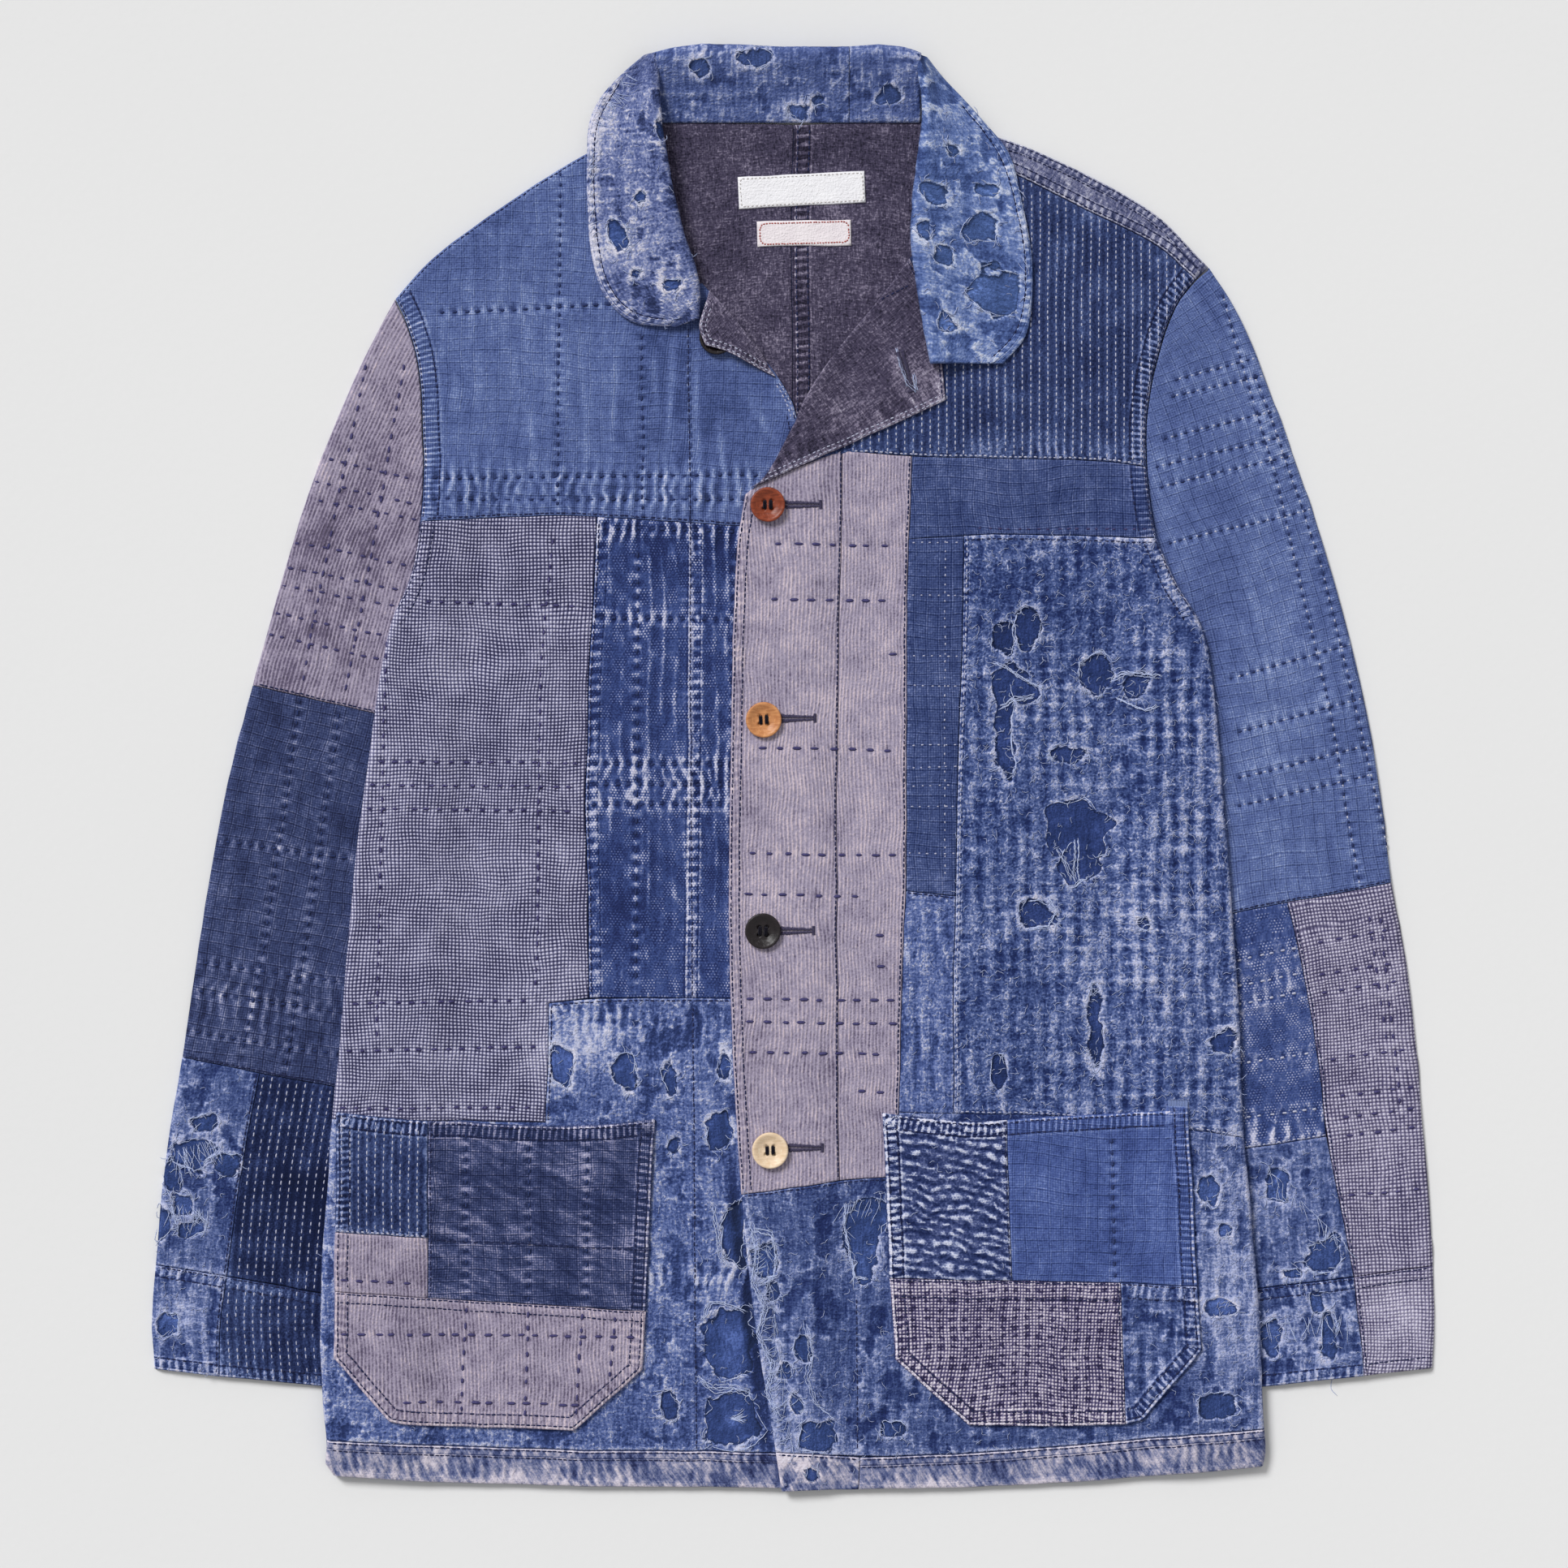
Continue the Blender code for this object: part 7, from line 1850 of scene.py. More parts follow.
def button_disc(size):
    """A turned disc: dished face, round rim, sewing holes sunk in the dish."""
    profile = np.array(BUTTON_FACE)
    angle = np.arange(BUTTON_SIDES) * 2 * math.pi / BUTTON_SIDES
    x = BUTTON_R * size * profile[:, :1] * np.cos(angle)
    y = BUTTON_R * size * profile[:, :1] * np.sin(angle)
    z = np.repeat(profile[:, 1:], BUTTON_SIDES, axis=1)
    face = np.arange(len(profile)) < DISH_ROWS
    for hx in (-HOLE_AWAY, HOLE_AWAY):
        for hy in (-HOLE_AWAY, HOLE_AWAY):
            z = z - 1.2 * smooth(np.hypot(x - hx, y - hy), 1.35, 0.7) * face[:, None]
    z = z + 0.05 * noise(x * 3, y * 3, 3.0, 71) * (profile[:, 1] > 0.5)[:, None]
    points = np.stack([x, y, z], axis=2).reshape(-1, 3)
    points[:BUTTON_SIDES] = points[0]
    faces = []
    for a in range((len(profile) - 1) * BUTTON_SIDES):
        b, turn_on = a + BUTTON_SIDES, 1 if (a + 1) % BUTTON_SIDES else 1 - BUTTON_SIDES
        faces += [(a, b, b + turn_on), (a, b + turn_on, a + turn_on)]
    points, weld = np.unique(np.round(points, 5), axis=0, return_inverse=True)
    faces = weld.reshape(-1)[np.array(faces)]
    flat = (faces[:, 0] == faces[:, 1]) | (faces[:, 1] == faces[:, 2]) | (faces[:, 0] == faces[:, 2])
    return points, faces[~flat]


def button(name, x, y, z, size, turn):
    """A button, sewn on with two bars of dark thread."""
    points, faces = button_disc(size)
    made = add_mesh(name + "_turned", points + (x, y, z), faces, MATERIALS[slot_of[name]], {"cloth": points})
    own(made, slot_of[name])
    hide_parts(name)
    bars = Threads()
    for hx in (-HOLE_AWAY, HOLE_AWAY):
        for shift in (-0.55, 0.0, 0.55):
            low, high = (np.add(turned(hx * 0.85 + shift, end, -turn), (x, y)) for end in BAR_ENDS)
            bars.stitch([(*low, z + DISH_Z)], [(*high, z + DISH_Z)], 0.9, 0.9)
    bars.make(name + "_thread", MATERIALS["thread_black"], slot_of[name])


# ------------------------------------------------------------------ materials
def tone(red, green, blue):
    """A colour written 0 to 255 as it looks, turned into the shader's linear values."""
    linear = [
        c / 255.0 / 12.92 if c < 10.3 else ((c / 255.0 + 0.055) / 1.055) ** 2.4
        for c in (red, green, blue)
    ]
    return (*linear, 1.0)


class Flow:
    """A value inside a material; arithmetic on it adds the nodes."""

    def __init__(self, graph, socket):
        self.graph, self.socket = graph, socket

    def __add__(self, other):
        return self.graph.maths("ADD", self, other)

    def __sub__(self, other):
        return self.graph.maths("SUBTRACT", self, other)

    def __rsub__(self, other):
        return self.graph.maths("SUBTRACT", other, self)

    def __mul__(self, other):
        return self.graph.maths("MULTIPLY", self, other)

    def __truediv__(self, other):
        return self.graph.maths("DIVIDE", self, other)

    __radd__, __rmul__ = __add__, __mul__


TONE_LEVELS = (-1.65, -0.67, 0.0, 0.67, 1.65)


class Graph:
    """A material's nodes."""

    def __init__(self, name):
        self.material = bpy.data.materials.new(name)
        self.material.use_nodes = True
        self.nodes = self.material.node_tree.nodes
        self.links = self.material.node_tree.links
        self.shader = self.nodes["Principled BSDF"]

    def feed(self, socket, value):
        if isinstance(value, Flow):
            self.links.new(value.socket, socket)
        else:
            socket.default_value = value

    def make(self, kind, values, out=0, **settings):
        node = self.nodes.new(kind)
        for key, value in settings.items():
            setattr(node, key, value)
        for key, value in values.items():
            self.feed(node.inputs[key], value)
        return Flow(self, node.outputs[out])

    def maths(self, operation, *values):
        return self.make("ShaderNodeMath", dict(enumerate(values)), operation=operation)

    def parts(self, name):
        """The three numbers of a vector kept on the mesh."""
        made = self.make("ShaderNodeAttribute", {}, out=1, attribute_name=name)
        node = self.nodes.new("ShaderNodeSeparateXYZ")
        self.links.new(made.socket, node.inputs[0])
        return [Flow(self, node.outputs[k]) for k in range(3)]

    def noise(self, x, y, wide, tall, seed, detail=1.0, rough=0.5):
        """Noise from about -1 to 1, its lumps so wide and so tall in millimetres."""
        place = self.make("ShaderNodeCombineXYZ", {0: x / wide, 1: y / tall, 2: seed})
        values = {"Vector": place, "Scale": 1.0, "Detail": detail, "Roughness": rough}
        return (self.make("ShaderNodeTexNoise", values, noise_dimensions="3D") - 0.5) * 2.8

    def step(self, value, low, high):
        """0 at low, 1 at high."""
        values = {"Value": value, 1: low, 2: high, 3: 0.0, 4: 1.0}
        return self.make("ShaderNodeMapRange", values, interpolation_type="SMOOTHSTEP")

    def wave(self, phase):
        """From 0 to 1 and back in every unit of the phase, 1 at whole numbers."""
        return self.maths("MULTIPLY_ADD", self.maths("COSINE", phase * 6.28319), 0.5, 0.5)

    def line(self, x, period, half, soft=0.35):
        """1 on lines at every period, so many millimetres to each side."""
        away = self.maths("PINGPONG", x, period / 2.0)
        return self.step(away, half + soft, half)

    def mix(self, a, b, factor):
        values = {0: factor, 6: a, 7: b}
        return self.make("ShaderNodeMix", values, out=2, data_type="RGBA")

    def ramp(self, level, tones):
        """A cloth's five tones, from its darkest twentieth over its middle to its palest."""
        node = self.nodes.new("ShaderNodeValToRGB")
        self.feed(node.inputs[0], self.maths("MULTIPLY_ADD", level, 0.2, 0.5))
        stops = node.color_ramp.elements
        stops[0].position, stops[1].position = (0.2 * TONE_LEVELS[k] + 0.5 for k in (0, -1))
        stops[0].color, stops[1].color = tone(*tones[0]), tone(*tones[-1])
        for place, colour in zip(TONE_LEVELS[1:-1], tones[1:-1]):
            stops.new(0.2 * place + 0.5).color = tone(*colour)
        return Flow(self, node.outputs[0])

    def finish(self, colour, height, depth, rough, sheen=0.0, tint=None):
        self.feed(self.shader.inputs["Base Color"], colour)
        self.feed(self.shader.inputs["Roughness"], rough)
        self.shader.inputs["Specular IOR Level"].default_value = 0.06
        if sheen:
            self.shader.inputs["Sheen Weight"].default_value = sheen
            self.shader.inputs["Sheen Roughness"].default_value = 0.45
            self.shader.inputs["Sheen Tint"].default_value = tint or (0.75, 0.8, 1.0, 1.0)
        bump = self.nodes.new("ShaderNodeBump")
        bump.inputs["Strength"].default_value = 1.0
        bump.inputs["Distance"].default_value = depth * MM
        self.feed(bump.inputs["Height"], height)
        self.links.new(bump.outputs["Normal"], self.shader.inputs["Normal"])
        return self.material


# Each pattern returns how pale the cloth is, about -2 to 2, and its height, from cloth millimetres.
def ripstop(period, grid=0.8, rumple=0.0):
    """Plain cloth with a fine grid of thicker threads, here and there worn away."""
    def pattern(g, u, v, seed, ridge):
        mottle = g.noise(u, v, 9.0, 12.0, seed, 3.0, 0.55)
        fold = g.noise(u, v, 4.5, 40.0, seed + 9.0, 2.0)
        weave = g.noise(u, v, 1.0, 5.0, seed + 3.0, 1.0) + g.noise(u, v, 5.0, 1.0, seed + 5.0, 1.0)
        bend_u = u + g.noise(u, v, 9.0, 16.0, seed + 1.0) * 0.25
        bend_v = v + g.noise(u, v, 16.0, 9.0, seed + 2.0) * 0.25
        plain = g.wave(bend_u / (period / 5.0)) + g.wave(bend_v / (period / 5.0)) - 1.0
        kept = g.step(g.noise(u, v, 6.0, 6.0, seed + 7.0, 2.0), -1.0, 0.2) * 0.4 + 0.6
        lines = g.maths("MAXIMUM", g.line(bend_u, period, 0.14, 0.34), g.line(bend_v, period, 0.14, 0.34))
        lines = lines * kept
        dark_u, dark_v = bend_u + 0.62, bend_v + 0.62
        dark = g.maths("MAXIMUM", g.line(dark_u, period, 0.16, 0.4), g.line(dark_v, period, 0.16, 0.4))
        level = mottle * 0.75 + fold * 0.6 + weave * 0.3 + plain * 0.75 + (lines * 0.7 - dark) * grid
        if rumple:
            level = level + g.noise(u * 0.5 + v, v - u * 0.4, 4.5, 20.0, seed + 8.0, 3.0, 0.6) * rumple
        return level, lines * 0.4 + weave * 0.3
    return pattern


def gingham(period, contrast, clusters=0.0):
    """A tiny check: pale squares parted by dark lines; clusters are darker where the cloth is pulled."""
    def pattern(g, u, v, seed, ridge):
        bend_u = u + g.noise(u, v, 7.0, 12.0, seed + 1.0) * 0.3
        bend_v = v + g.noise(u, v, 12.0, 7.0, seed + 2.0) * 0.3
        square = g.maths("MINIMUM", g.wave(bend_u / period), g.wave(bend_v / period))
        either = (g.wave(bend_u / period) + g.wave(bend_v / period)) * 0.5
        mottle = g.noise(u, v, 12.0, 14.0, seed, 3.0, 0.6)
        level = (square * 0.6 + either * 0.4 - 0.42) * contrast + mottle * 0.7
        if clusters:
            place_u = u + g.noise(u, v, 6.0, 6.0, seed + 5.0) * 1.9
            place_v = v + g.noise(u, v, 6.0, 6.0, seed + 6.0) * 1.9
            lattice = g.wave(place_u / 6.9) * g.wave(place_v / 5.2)
            ragged = lattice + g.noise(u, v, 1.5, 2.4, seed + 7.0, 2.0) * 0.55
            level = level - g.step(ragged, 0.35, 0.8) * clusters
        return level, square * 0.8
    return pattern


def dobby(crests):
    """Blue cloth with chequered squares of tiny dots, rubbed pale along its upright pleats."""
    def pattern(g, u, v, seed, ridge):
        bent = u + g.noise(u, v, 14.0, 20.0, seed + 1.0) * 0.6
        mottle = g.noise(u, v, 5.0, 16.0, seed, 3.0, 0.65)
        square = g.maths("SINE", bent * (3.14159 / 7.1)) * g.maths("SINE", v * (3.14159 / 8.8))
        square = g.step(square, -0.2, 0.2)
        dots = g.wave(bent / 1.69 + g.maths("FLOOR", v / 1.41 + 0.5) * 0.5) * g.wave(v / 1.41)
        worn = g.step(g.noise(u, v, 2.6, 11.0, seed + 4.0, 3.0, 0.65) + ridge * crests, 0.1, 1.2)
        level = mottle * 0.9 + (dots - 0.2) * (square * 1.2 + 0.2 + worn * 0.8) * 1.5 + worn * 1.5 - 0.45
        return level, dots * 0.4 + worn * 0.3
    return pattern


def stripe(period):
    """Fine upright stripes, pale on grey-violet."""
    def pattern(g, u, v, seed, ridge):
        bend = u + g.noise(u, v, 10.0, 40.0, seed + 1.0) * 0.45
        mottle = g.noise(u, v, 14.0, 14.0, seed, 3.0, 0.65)
        slub = g.noise(u, v, 0.9, 7.0, seed + 3.0, 2.0, 0.6)
        kept = g.step(g.noise(u, v, 4.0, 8.0, seed + 4.0, 3.0, 0.6), -1.2, 0.4) * 0.6 + 0.4
        lines = g.wave(bend / period) * kept
        return mottle * 1.1 + slub * 1.1 + (lines - 0.4) * 1.7, lines * 0.7 + slub * 0.2
    return pattern


def boro(relief_wear_and_shade=1.3, streak=0.6, fuzz=1.0):
    """Cloth quilted with close stitches: crests are rubbed to pale fuzz and threads stray over it; the paler
    crests and darker hollows are partly painted light and shade.
    """
    def pattern(g, u, v, seed, ridge):
        patchy = g.noise(u, v, 18.0, 26.0, seed + 3.0, 2.0)
        where = g.step(g.noise(u, v, 10.0, 12.0, seed + 13.0, 2.0), -1.0, 0.7) * 0.6 + 0.4
        fibre = g.noise(u, v, 1.5, 1.4, seed + 7.0, 1.0) * where
        run = g.noise(u, v, 1.3, 12.0, seed + 11.0, 2.0)
        weft = g.noise(u, v, 8.0, 1.1, seed + 12.0, 2.0)
        # paler on raised relief and darker in its hollows: partly rubbed, partly painted light and shade
        level = ridge * relief_wear_and_shade + patchy * 0.5 + fibre * (1.3 * fuzz)
        level = level + run * streak + weft * (streak * 0.7) - 0.35
        hair = g.maths("ABSOLUTE", g.noise(u, v, 3.4, 4.6, seed + 8.0, 1.0))
        hair_2 = g.maths("ABSOLUTE", g.noise(u, v, 2.2, 1.9, seed + 9.0, 1.0))
        strand = g.maths("MAXIMUM", g.step(hair, 0.1, 0.02), g.step(hair_2, 0.07, 0.02) * 0.8)
        strand = strand * g.step(level, -0.9, 1.0) * (0.5 + 0.5 * fuzz)
        return level + strand * 1.6 - 0.2, fibre * 0.7 + strand * 0.7
    return pattern


def sashiko(relief_wear_and_shade=3.6):
    """Navy cloth raised in ribs by the stitch rows; the ribs are paler and the hollows between them darker,
    partly rubbed and partly painted light and shade.
    """
    def pattern(g, u, v, seed, ridge):
        mottle = g.noise(u, v, 12.0, 18.0, seed, 3.0, 0.6)
        weave = g.noise(u, v, 1.0, 2.2, seed + 3.0, 2.0, 0.6)
        # ribs and their specks paler, hollows darker: partly rubbed, partly painted light and shade
        specks = g.step(g.noise(u, v, 1.0, 1.5, seed + 4.0, 1.0) + ridge * 1.4, 0.6, 1.1)
        return ridge * relief_wear_and_shade + mottle * 0.7 + weave * 1.0 + specks * 1.2, weave * 0.4
    return pattern


def chambray(slant=0.0):
    def pattern(g, u, v, seed, ridge):
        mottle = g.noise(u, v, 18.0, 18.0, seed, 4.0, 0.6)
        weave = g.noise(u, v, 0.9, 5.0, seed + 3.0, 2.0, 0.7) + g.noise(u, v, 5.0, 0.9, seed + 4.0, 2.0, 0.7)
        level = mottle * 0.8 + weave * 1.5
        if slant:
            level = level + g.noise(u + v * slant, v - u * slant, 2.2, 11.0, seed + 5.0, 3.0, 0.6) * 1.4
        return level, weave * 0.5
    return pattern


def hem():
    """A turned hem: faded to pale lavender on its puckers, blue in the creases between."""
    def pattern(g, u, v, seed, ridge):
        crease = g.noise(u + v * 0.6, v, 2.4, 14.0, seed + 1.0, 3.0, 0.65)
        long = g.noise(u, v, 26.0, 16.0, seed + 2.0, 3.0, 0.6)
        thread = g.noise(u, v, 1.0, 1.6, seed + 3.0, 2.0)
        return crease * 1.6 + long * 1.9 + ridge * 1.3 + thread * 0.5, crease * 0.3
    return pattern


def satin():
    """Smooth woven ribbon."""
    def pattern(g, u, v, seed, ridge):
        weft = g.noise(u, v, 7.0, 1.0, seed, 1.0)
        return weft * 0.4 + g.noise(u, v, 12.0, 9.0, seed + 1.0) * 0.5, weft * 0.2
    return pattern


def puckered():
    """Close wavy ridges with pale dots along their crests."""
    def pattern(g, u, v, seed, ridge):
        mottle = g.noise(u, v, 5.0, 3.5, seed, 3.0, 0.65)
        dots = g.wave(u / 1.5 + g.maths("FLOOR", v / 1.4) * 0.5) * g.wave(v / 1.4)
        crest = g.step(ridge + mottle * 0.35, -0.1, 0.75)
        return ridge * 0.6 + mottle * 0.8 + crest * (dots * 1.9 + 0.5) - 0.6, dots * 0.4
    return pattern


BLEACHED = (226, 222, 236)
# cloth under the holes, dark to pale: share of the backing's colour, white added
HOLE_TONES = ((0.6, 0.0), (0.85, 0.0), (1.0, 0.0), (1.12, 10.0), (1.3, 30.0))
# darker lines at a seam's stitch rows: partly the dark thread's colour, partly painted shade in the dents
STITCH_DENT_SHADE = ((0.24, 0.8), (0.9, 1.3))      # share of a seam's band, how dark


def band(g, across, place, half, crisp):
    """1 on a line at that share of a seam's band, 0 beside it."""
    return g.step(g.maths("ABSOLUTE", across - place), half, crisp)


def seam_looks(g, level, fine, blotch, seed, rungs):
    """Along a seam: a ladder of rubbed puckers, painted shade in its groove, a pale edge, and darker lines at
    the stitches that are partly the dark thread's colour and partly painted shade in the dents.
    """
    across, along, strong = g.parts("seam")
    rung = g.step(g.wave(along + across * 0.22 + fine * 0.1 + blotch * 0.15), 0.25, 1.0)
    ladder = band(g, across, 0.5, 0.52, 0.4) * g.step(strong, 0.2, 0.95)
    uneven = g.noise(along, across, 2.0, 3.0, seed + 24.0, 2.0)
    level = level + ladder * ((rung * (uneven * 0.6 + 1.0) - 0.5) * (2.5 * rungs) - 0.5 * rungs)
    # painted shade along the seam's groove
    level = level - band(g, across, -0.04, 0.11, 0.02) * g.step(strong, 0.0, 0.4) * 1.2
    level = level + band(g, across, 0.13, 0.11, 0.03) * g.step(strong, 0.35, 0.9) * (uneven + 1.7)
    # darker at the stitch rows: partly the dark thread's colour, partly painted shade in the dents
    for place, depth in STITCH_DENT_SHADE:
        level = level - band(g, across, place, 0.075, 0.02) * g.step(strong, 0.5, 0.9) * depth
    return level + band(g, across, 1.04, 0.1, 0.02) * g.step(strong, 0.5, 0.9) * (uneven * 0.6 + 0.7)


def cloth(name, pattern, tones, lift=0.0, backing=(50, 67, 118), rungs=1.0, grit=1.0, worn=1.3, relief_wear_and_shade=0.6):
    """Wraps a pattern with what all the cloth shows: rubbed paleness with some painted light and shade, ladders
    along seams, puckers and holes; the colour also follows the relief, paler on raised places and darker in
    hollows, partly as painted light and shade.
    """
    g = Graph(name)
    u, v, seed = g.parts("cloth")
    # the first part is rubbed paleness that also carries painted highlights and painted shadows
    wear, ridge, hole = g.parts("wear")
    level, height = pattern(g, u, v, seed, ridge)
    fine = g.noise(u, v, 1.1, 1.1, seed + 20.0, 1.0, 0.5)
    blotch = g.noise(u, v, 15.0, 15.0, seed + 21.0, 3.0, 0.6)
    # ridge makes raised places paler and hollows darker: partly rubbed, partly painted light and shade
    level = level + fine * grit + blotch * 0.4 + wear * worn + ridge * relief_wear_and_shade + lift
    level = seam_looks(g, level, fine, blotch, seed, rungs)
    rim = hole + fine * 0.4 + blotch * 0.5
    level = level + g.step(rim, 1.3, 0.3) * g.step(blotch + fine * 0.5, -0.9, 0.4) * 1.7
    colour = g.ramp(level, tones)
    colour = g.mix(colour, tone(*[c * 0.72 for c in tones[0]]), g.step(level, -1.7, -3.6) * 0.8)
    colour = g.mix(colour, tone(*BLEACHED), g.step(level, 1.7, 4.0) * 0.75)
    weave = g.noise(u, v, 1.0, 1.0, seed + 22.0, 3.0, 0.7) + g.noise(u, v, 1.0, 6.0, seed + 23.0, 2.0) * 0.6
    under = [tuple(c * share + white for c in backing) for share, white in HOLE_TONES]
    edge = hole + fine * 0.3
    # deep is painted shade on the cloth seen through a hole, darkest just within its rim
    deep, gone = g.step(edge, -1.5, -0.2), g.step(edge, 0.1, -0.3)
    inner = g.ramp(weave * 1.1 + blotch * 0.8 + wear * 0.9 - deep * 1.2, under)
    MATERIALS[name] = g.finish(g.mix(colour, inner, gone), height + fine * 0.4 - gone * 0.6, 0.42, 0.9, 0.04)


CLOTHS = {
    # name: pattern, five tones from dark to pale, what else differs
    "ripstop_light": (
        ripstop(6.5, 0.6), [(56, 70, 116), (78, 93, 143), (88, 104, 154), (98, 115, 164), (138, 153, 194)],
        dict(lift=-0.2, relief_wear_and_shade=1.6),
    ),
    "ripstop_blue": (
        ripstop(6.4), [(47, 61, 110), (64, 80, 136), (74, 91, 147), (84, 102, 158), (116, 133, 186)],
        dict(lift=0.1, relief_wear_and_shade=1.4),
    ),
    "ripstop_dark": (
        ripstop(6.55), [(34, 39, 68), (47, 55, 90), (56, 66, 104), (66, 76, 115), (108, 115, 152)],
        dict(lift=-0.1, relief_wear_and_shade=1.4),
    ),
    "ripstop_dark_blue": (
        ripstop(6.6), [(32, 44, 86), (51, 64, 108), (61, 74, 119), (72, 86, 131), (110, 122, 166)],
        dict(lift=-0.05, relief_wear_and_shade=1.2),
    ),
    "ripstop_rumpled": (
        ripstop(6.4, 0.7, 1.7), [(34, 42, 76), (49, 58, 95), (62, 71, 109), (82, 89, 127), (142, 142, 174)],
        dict(lift=0.0, relief_wear_and_shade=1.0),
    ),
    "gingham": (
        gingham(1.91, 5.0), [(46, 46, 76), (86, 86, 118), (117, 116, 147), (144, 143, 174), (196, 195, 219)],
        dict(lift=0.05, grit=0.6),
    ),
    "gingham_coarse": (
        gingham(1.82, 4.3, 2.1),
        [(52, 47, 82), (84, 78, 114), (120, 113, 142), (154, 147, 170), (214, 205, 217)],
        dict(lift=0.2, grit=1.0, relief_wear_and_shade=1.4, rungs=0.7),
    ),
    "gingham_warm": (
        gingham(1.95, 4.6, 0.4),
        [(66, 62, 94), (108, 103, 133), (134, 129, 157), (156, 151, 177), (202, 198, 218)],
        dict(lift=0.05, grit=0.8),
    ),
    "dobby": (
        dobby(1.6), [(36, 46, 90), (56, 72, 124), (72, 88, 140), (112, 122, 163), (184, 186, 212)],
        dict(lift=-0.25, relief_wear_and_shade=0.9, rungs=0.8),
    ),
    "stripe": (
        stripe(1.99), [(98, 89, 113), (142, 133, 155), (155, 146, 167), (167, 158, 178), (200, 184, 194)],
        dict(rungs=0.7),
    ),
    "boro": (
        boro(1.2, 0.9, 0.55), [(34, 46, 92), (58, 73, 121), (80, 95, 143), (109, 122, 168), (166, 174, 210)],
        dict(lift=0.25, backing=(48, 65, 114), worn=1.1),
    ),
    "boro_deep": (
        boro(1.9, 0.6, 1.1), [(32, 44, 90), (57, 73, 122), (81, 97, 147), (112, 126, 172), (176, 182, 214)],
        dict(lift=0.3, backing=(41, 56, 104), worn=0.9),
    ),
    "boro_light": (
        boro(1.3, 0.9, 0.95),
        [(42, 55, 100), (68, 84, 136), (94, 110, 162), (126, 138, 182), (186, 190, 216)],
        dict(lift=0.25, worn=1.1),
    ),
    "sashiko": (
        sashiko(1.6), [(24, 32, 64), (42, 53, 92), (54, 67, 110), (74, 90, 135), (128, 141, 184)],
        dict(lift=-0.3),
    ),
    "slate": (
        chambray(0.8), [(47, 54, 88), (80, 85, 120), (100, 104, 138), (122, 124, 154), (168, 170, 192)],
        dict(rungs=0.8),
    ),
    "charcoal": (
        chambray(), [(38, 35, 51), (60, 56, 76), (71, 65, 87), (84, 79, 100), (128, 120, 142)],
        dict(lift=0.1, rungs=0.9, grit=1.4),
    ),
    "hem": (
        hem(), [(38, 44, 82), (74, 84, 126), (114, 120, 154), (158, 156, 178), (208, 200, 212)],
        dict(lift=0.05, rungs=0.4, grit=0.5),
    ),
    "puckered": (
        puckered(), [(26, 36, 76), (46, 58, 102), (72, 83, 129), (122, 132, 172), (198, 203, 226)],
        dict(lift=0.2, relief_wear_and_shade=0.8),
    ),
    "collar_worn": (
        boro(1.5, 0.8, 0.8), [(44, 53, 90), (78, 90, 138), (106, 117, 162), (138, 146, 184), (196, 196, 214)],
        dict(lift=0.3, backing=(50, 68, 118), worn=1.1, rungs=0.6),
    ),
    "collar_dark": (
        boro(1.5, 1.1, 0.45), [(48, 60, 104), (67, 82, 132), (83, 98, 149), (104, 118, 166), (162, 170, 204)],
        dict(lift=0.5, backing=(58, 75, 124), worn=1.1, rungs=0.6),
    ),
    "collar_light": (
        boro(1.5, 0.7, 0.4), [(52, 68, 116), (76, 96, 149), (97, 117, 170), (122, 140, 188), (182, 192, 218)],
        dict(lift=0.5, backing=(66, 87, 138), worn=1.0, rungs=0.6),
    ),
    "label_white": (
        satin(), [(222, 221, 226), (232, 231, 235), (237, 236, 240), (241, 240, 243), (246, 245, 247)],
        dict(grit=0.3, worn=0.3),
    ),
    "label_pink": (
        satin(), [(212, 202, 208), (226, 217, 222), (232, 224, 228), (237, 230, 233), (243, 238, 240)],
        dict(grit=0.3, worn=0.3),
    ),
}


def make_cloths():
    for name, (pattern, tones, options) in CLOTHS.items():
        cloth(name, pattern, tones, **options)


THREAD_COLOURS = {
    "black": ((16, 14, 22), (30, 27, 38)), "ink": ((58, 54, 98), (84, 80, 124)),
    "navy": ((26, 30, 62), (46, 52, 92)), "indigo": ((34, 44, 86), (54, 68, 116)),
    "pale": ((168, 172, 200), (204, 204, 222)), "sky": ((112, 130, 180), (146, 162, 204)),
    "white": ((168, 172, 200), (212, 212, 226)), "frayed": ((166, 182, 226), (218, 226, 250)),
    "fuzz": ((148, 162, 206), (198, 206, 236)), "buttonhole": ((52, 48, 72), (92, 86, 114)),
    "rust": ((168, 84, 80), (196, 112, 104)), "cream": ((196, 190, 190), (226, 222, 218)),
}


def thread_material(colour):
    g = Graph("thread_" + colour)
    run, seed, _ = g.parts("cloth")
    first, second = THREAD_COLOURS[colour]
    twist = g.wave(run * 1.7 + seed)
    mottle = g.noise(run, seed, 1.5, 1.5, 3.0, 2.0)
    made = g.mix(tone(*first), tone(*second), g.step(twist * 0.5 + mottle * 0.5, -0.3, 0.8))
    MATERIALS["thread_" + colour] = g.finish(made, twist, 0.12, 0.75, 0.1)


BUTTON_COLOURS = {
    "button_brown": ((96, 36, 18), (150, 70, 42)), "button_tan": ((168, 106, 64), (212, 150, 98)),
    "button_dark": ((14, 9, 12), (28, 20, 24)), "button_cream": ((212, 184, 150), (236, 212, 184)),
}


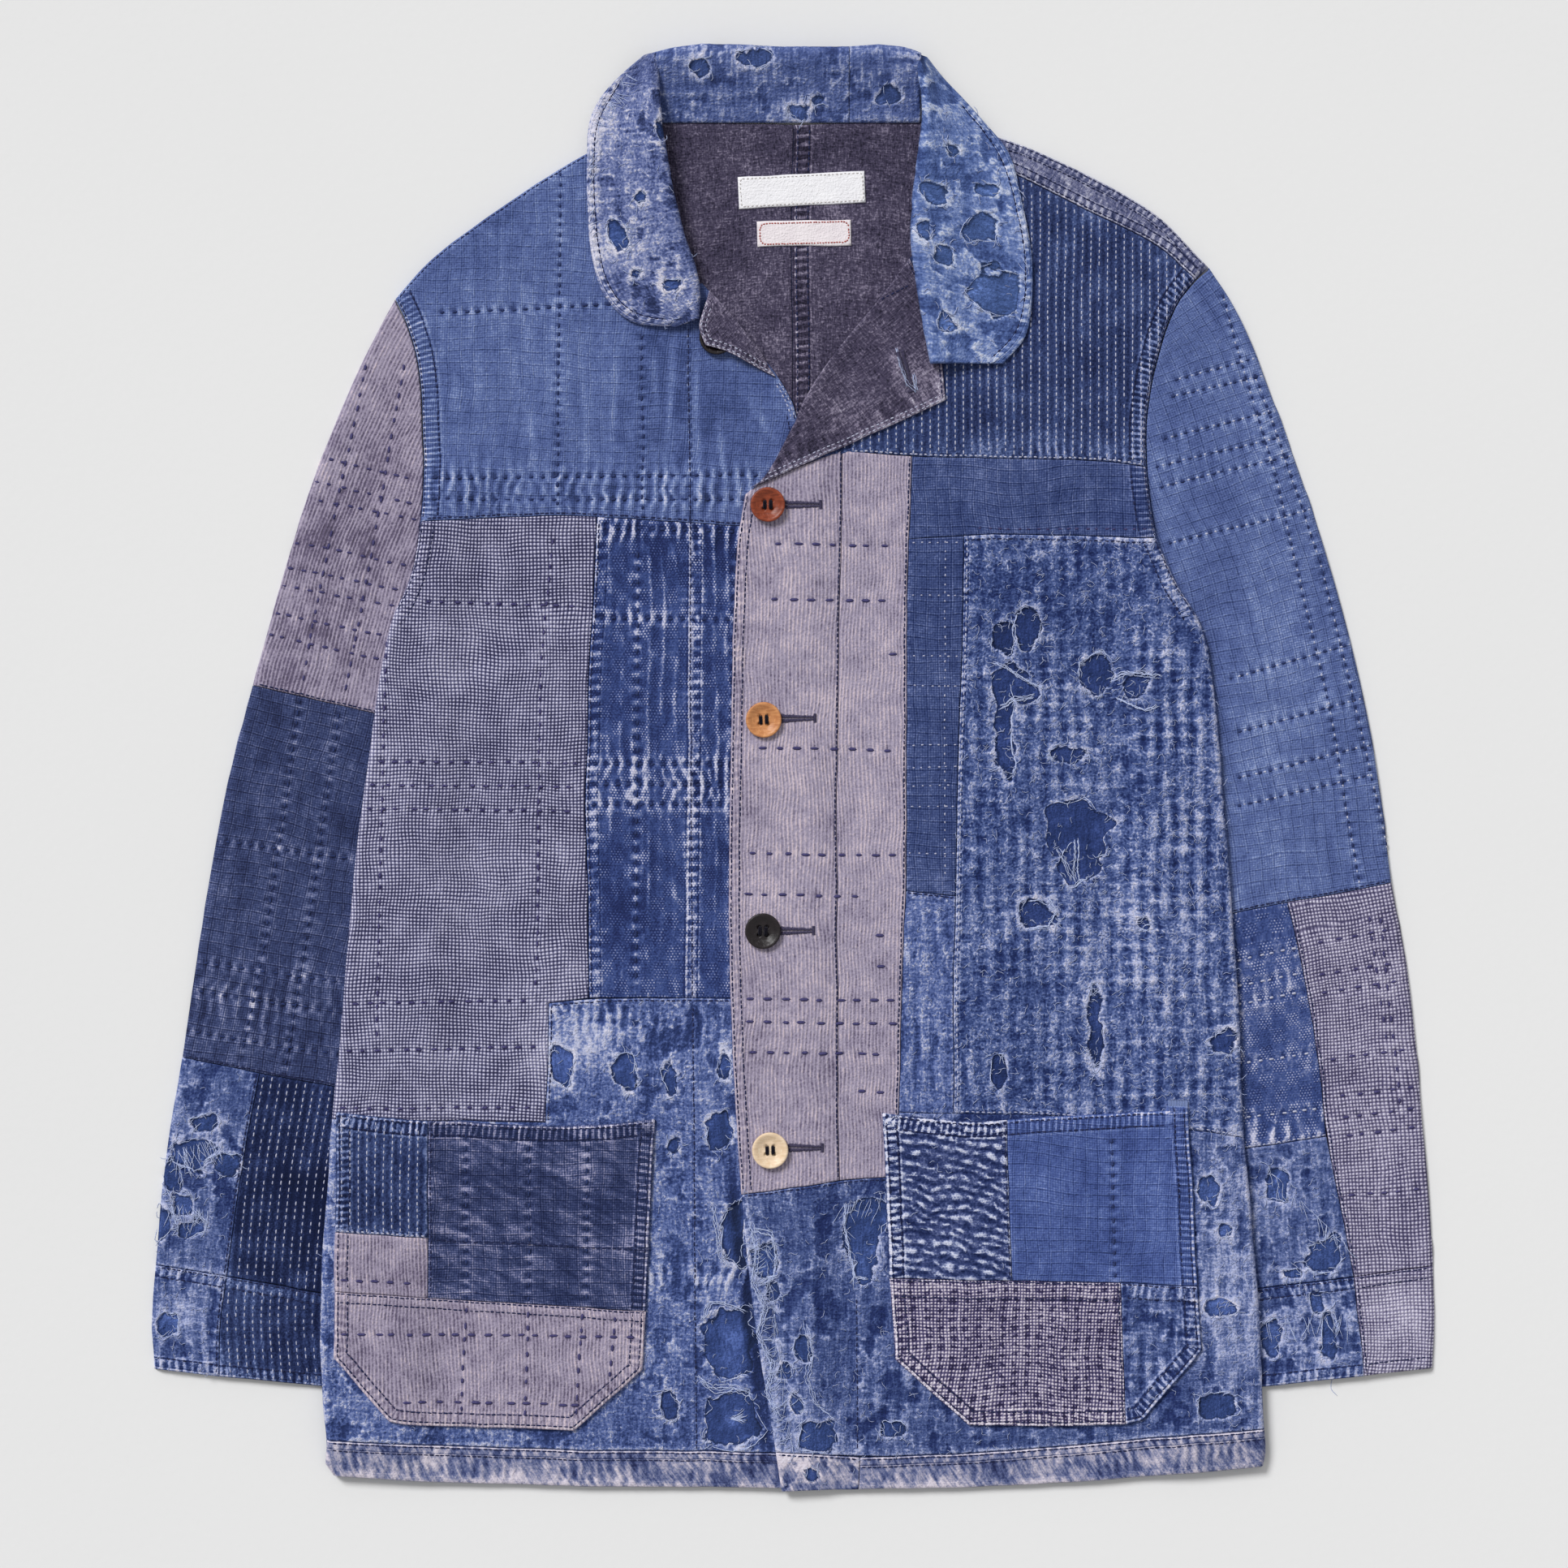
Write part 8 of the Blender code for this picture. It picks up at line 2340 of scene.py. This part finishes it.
def button_material(name):
    """Horn: streaks across the disc under a dull polish."""
    g = Graph(name)
    x, y, _ = g.parts("cloth")
    first, second = BUTTON_COLOURS[name]
    streak = g.noise(x + y * 0.3, y, 5.0, 0.9, 2.0, 4.0, 0.65)
    cloud = g.noise(x, y, 5.0, 5.0, 7.0, 2.0)
    scratch = g.step(g.maths("ABSOLUTE", g.noise(x, y, 3.0, 6.0, 9.0, 1.0)), 0.05, 0.0)
    made = g.mix(tone(*first), tone(*second), g.step(streak + cloud * 0.6, -0.9, 0.9))
    made = g.mix(made, tone(*[min(255, c * 1.25) for c in second]), scratch * 0.2)
    MATERIALS[name] = g.finish(made, streak * 0.3 - scratch * 0.5, 0.1, 0.38)
    g.shader.inputs["Specular IOR Level"].default_value = 0.3


# ------------------------------------------------------------------ stage
FLOOR_HALF = 14.0                             # metres from the floor's middle to its edge
FLOOR_LOW, FLOOR_HIGH = (226, 226, 226), (231, 231, 231)
WORLD_STRENGTH, BACKGROUND_STRENGTH = 0.445, 0.79
SUN_STRENGTH, SUN_ANGLE, SUN_WAY = 2.65, 20, (0.60, -0.72, -0.86)
LENS, SENSOR = 85.0, 36.0
SEEN_ACROSS = 850.1                           # width of the picture at the jacket
AIM = (-4.85, -8.53, 7.0)                     # middle of the picture in the row frame, and height there


def stage_floor():
    """A pale smooth floor under the jacket, with the faintest grain."""
    mesh = bpy.data.meshes.new("floor")
    corners = [(x * FLOOR_HALF, y * FLOOR_HALF, 0) for x, y in ((-1, -1), (1, -1), (1, 1), (-1, 1))]
    mesh.from_pydata(corners, [], [(0, 1, 2, 3)])
    made = bpy.data.objects.new("floor", mesh)
    bpy.context.scene.collection.objects.link(made)
    g = Graph("floor")
    place = g.make("ShaderNodeTexCoord", {}, out=3)
    cloud = g.make("ShaderNodeTexNoise", {"Vector": place, "Scale": 3.0, "Detail": 2.0})
    specks = g.make("ShaderNodeTexNoise", {"Vector": place, "Scale": 240.0, "Detail": 2.0})
    shade = g.mix(tone(*FLOOR_LOW), tone(*FLOOR_HIGH), cloud * 0.7 + specks * 0.3)
    mesh.materials.append(g.finish(shade, specks, 0.05, 0.85))


def lights():
    """An even light all round and a wide soft lamp from the upper left."""
    world = bpy.data.worlds.new("world")
    bpy.context.scene.world = world
    world.use_nodes = True
    g = world.node_tree
    sky = g.nodes["Background"]
    path = g.nodes.new("ShaderNodeLightPath")
    seen = path.outputs["Is Camera Ray"]
    for other in ("Is Glossy Ray", "Is Transmission Ray"):
        either = g.nodes.new("ShaderNodeMath")
        either.operation = "MAXIMUM"
        g.links.new(seen, either.inputs[0])
        g.links.new(path.outputs[other], either.inputs[1])
        seen = either.outputs[0]
    shade = g.nodes.new("ShaderNodeMapRange")
    shade.inputs["To Min"].default_value = WORLD_STRENGTH
    shade.inputs["To Max"].default_value = BACKGROUND_STRENGTH
    g.links.new(seen, shade.inputs["Value"])
    sky.inputs["Color"].default_value = (1.0, 1.0, 1.0, 1.0)
    g.links.new(shade.outputs["Result"], sky.inputs["Strength"])
    lamp = bpy.data.lights.new("soft_lamp", "SUN")
    lamp.energy = SUN_STRENGTH
    lamp.angle = math.radians(SUN_ANGLE)
    made = bpy.data.objects.new("soft_lamp", lamp)
    made.rotation_euler = Vector(SUN_WAY).to_track_quat("-Z", "Y").to_euler()
    bpy.context.scene.collection.objects.link(made)


def camera():
    """Straight above, a little left of and below the middle of the jacket."""
    data = bpy.data.cameras.new("camera")
    data.lens, data.sensor_width = LENS, SENSOR
    made = bpy.data.objects.new("camera", data)
    away = SEEN_ACROSS * MM * LENS / SENSOR
    made.location = (AIM[0] * MM, AIM[1] * MM, away + AIM[2] * MM)
    bpy.context.scene.collection.objects.link(made)
    bpy.context.scene.camera = made
    bpy.context.scene.view_settings.view_transform = "Standard"


# ------------------------------------------------------------------ the jacket
def build():
    make_cloths()
    for colour in THREAD_COLOURS:
        thread_material(colour)
    for name in BUTTON_COLOURS:
        button_material(name)
    for name in PANELS:
        panel(name)
    for name in WINGS:
        wing(name)
    for name in COLLAR_BACKS:
        collar_back(name)
    seam_stitches()
    running_stitches()
    sashiko_stitches()
    loose = np.random.default_rng(14)
    fuzz(loose)
    frayed_rims(loose)
    frayed_edges()
    buttonholes()
    bartack()
    hanging_thread()
    label_edge("label_main", LABEL_MAIN, 1.3, 1.0, 2.2, 1.5, 0.7, "cream", 51)
    label_edge("label_small", LABEL_SMALL, 1.4, 3.0, 1.5, 1.3, 0.8, "rust", 52)
    for (colour, area), gatherer in GROUPS.items():
        if gatherer.count:
            gatherer.make("stitches_" + colour + "_" + area, MATERIALS["thread_" + colour], AREA_SLOT[area])
    for row in BUTTONS:
        button(*row)
    stage_floor()
    lights()
    camera()


build()
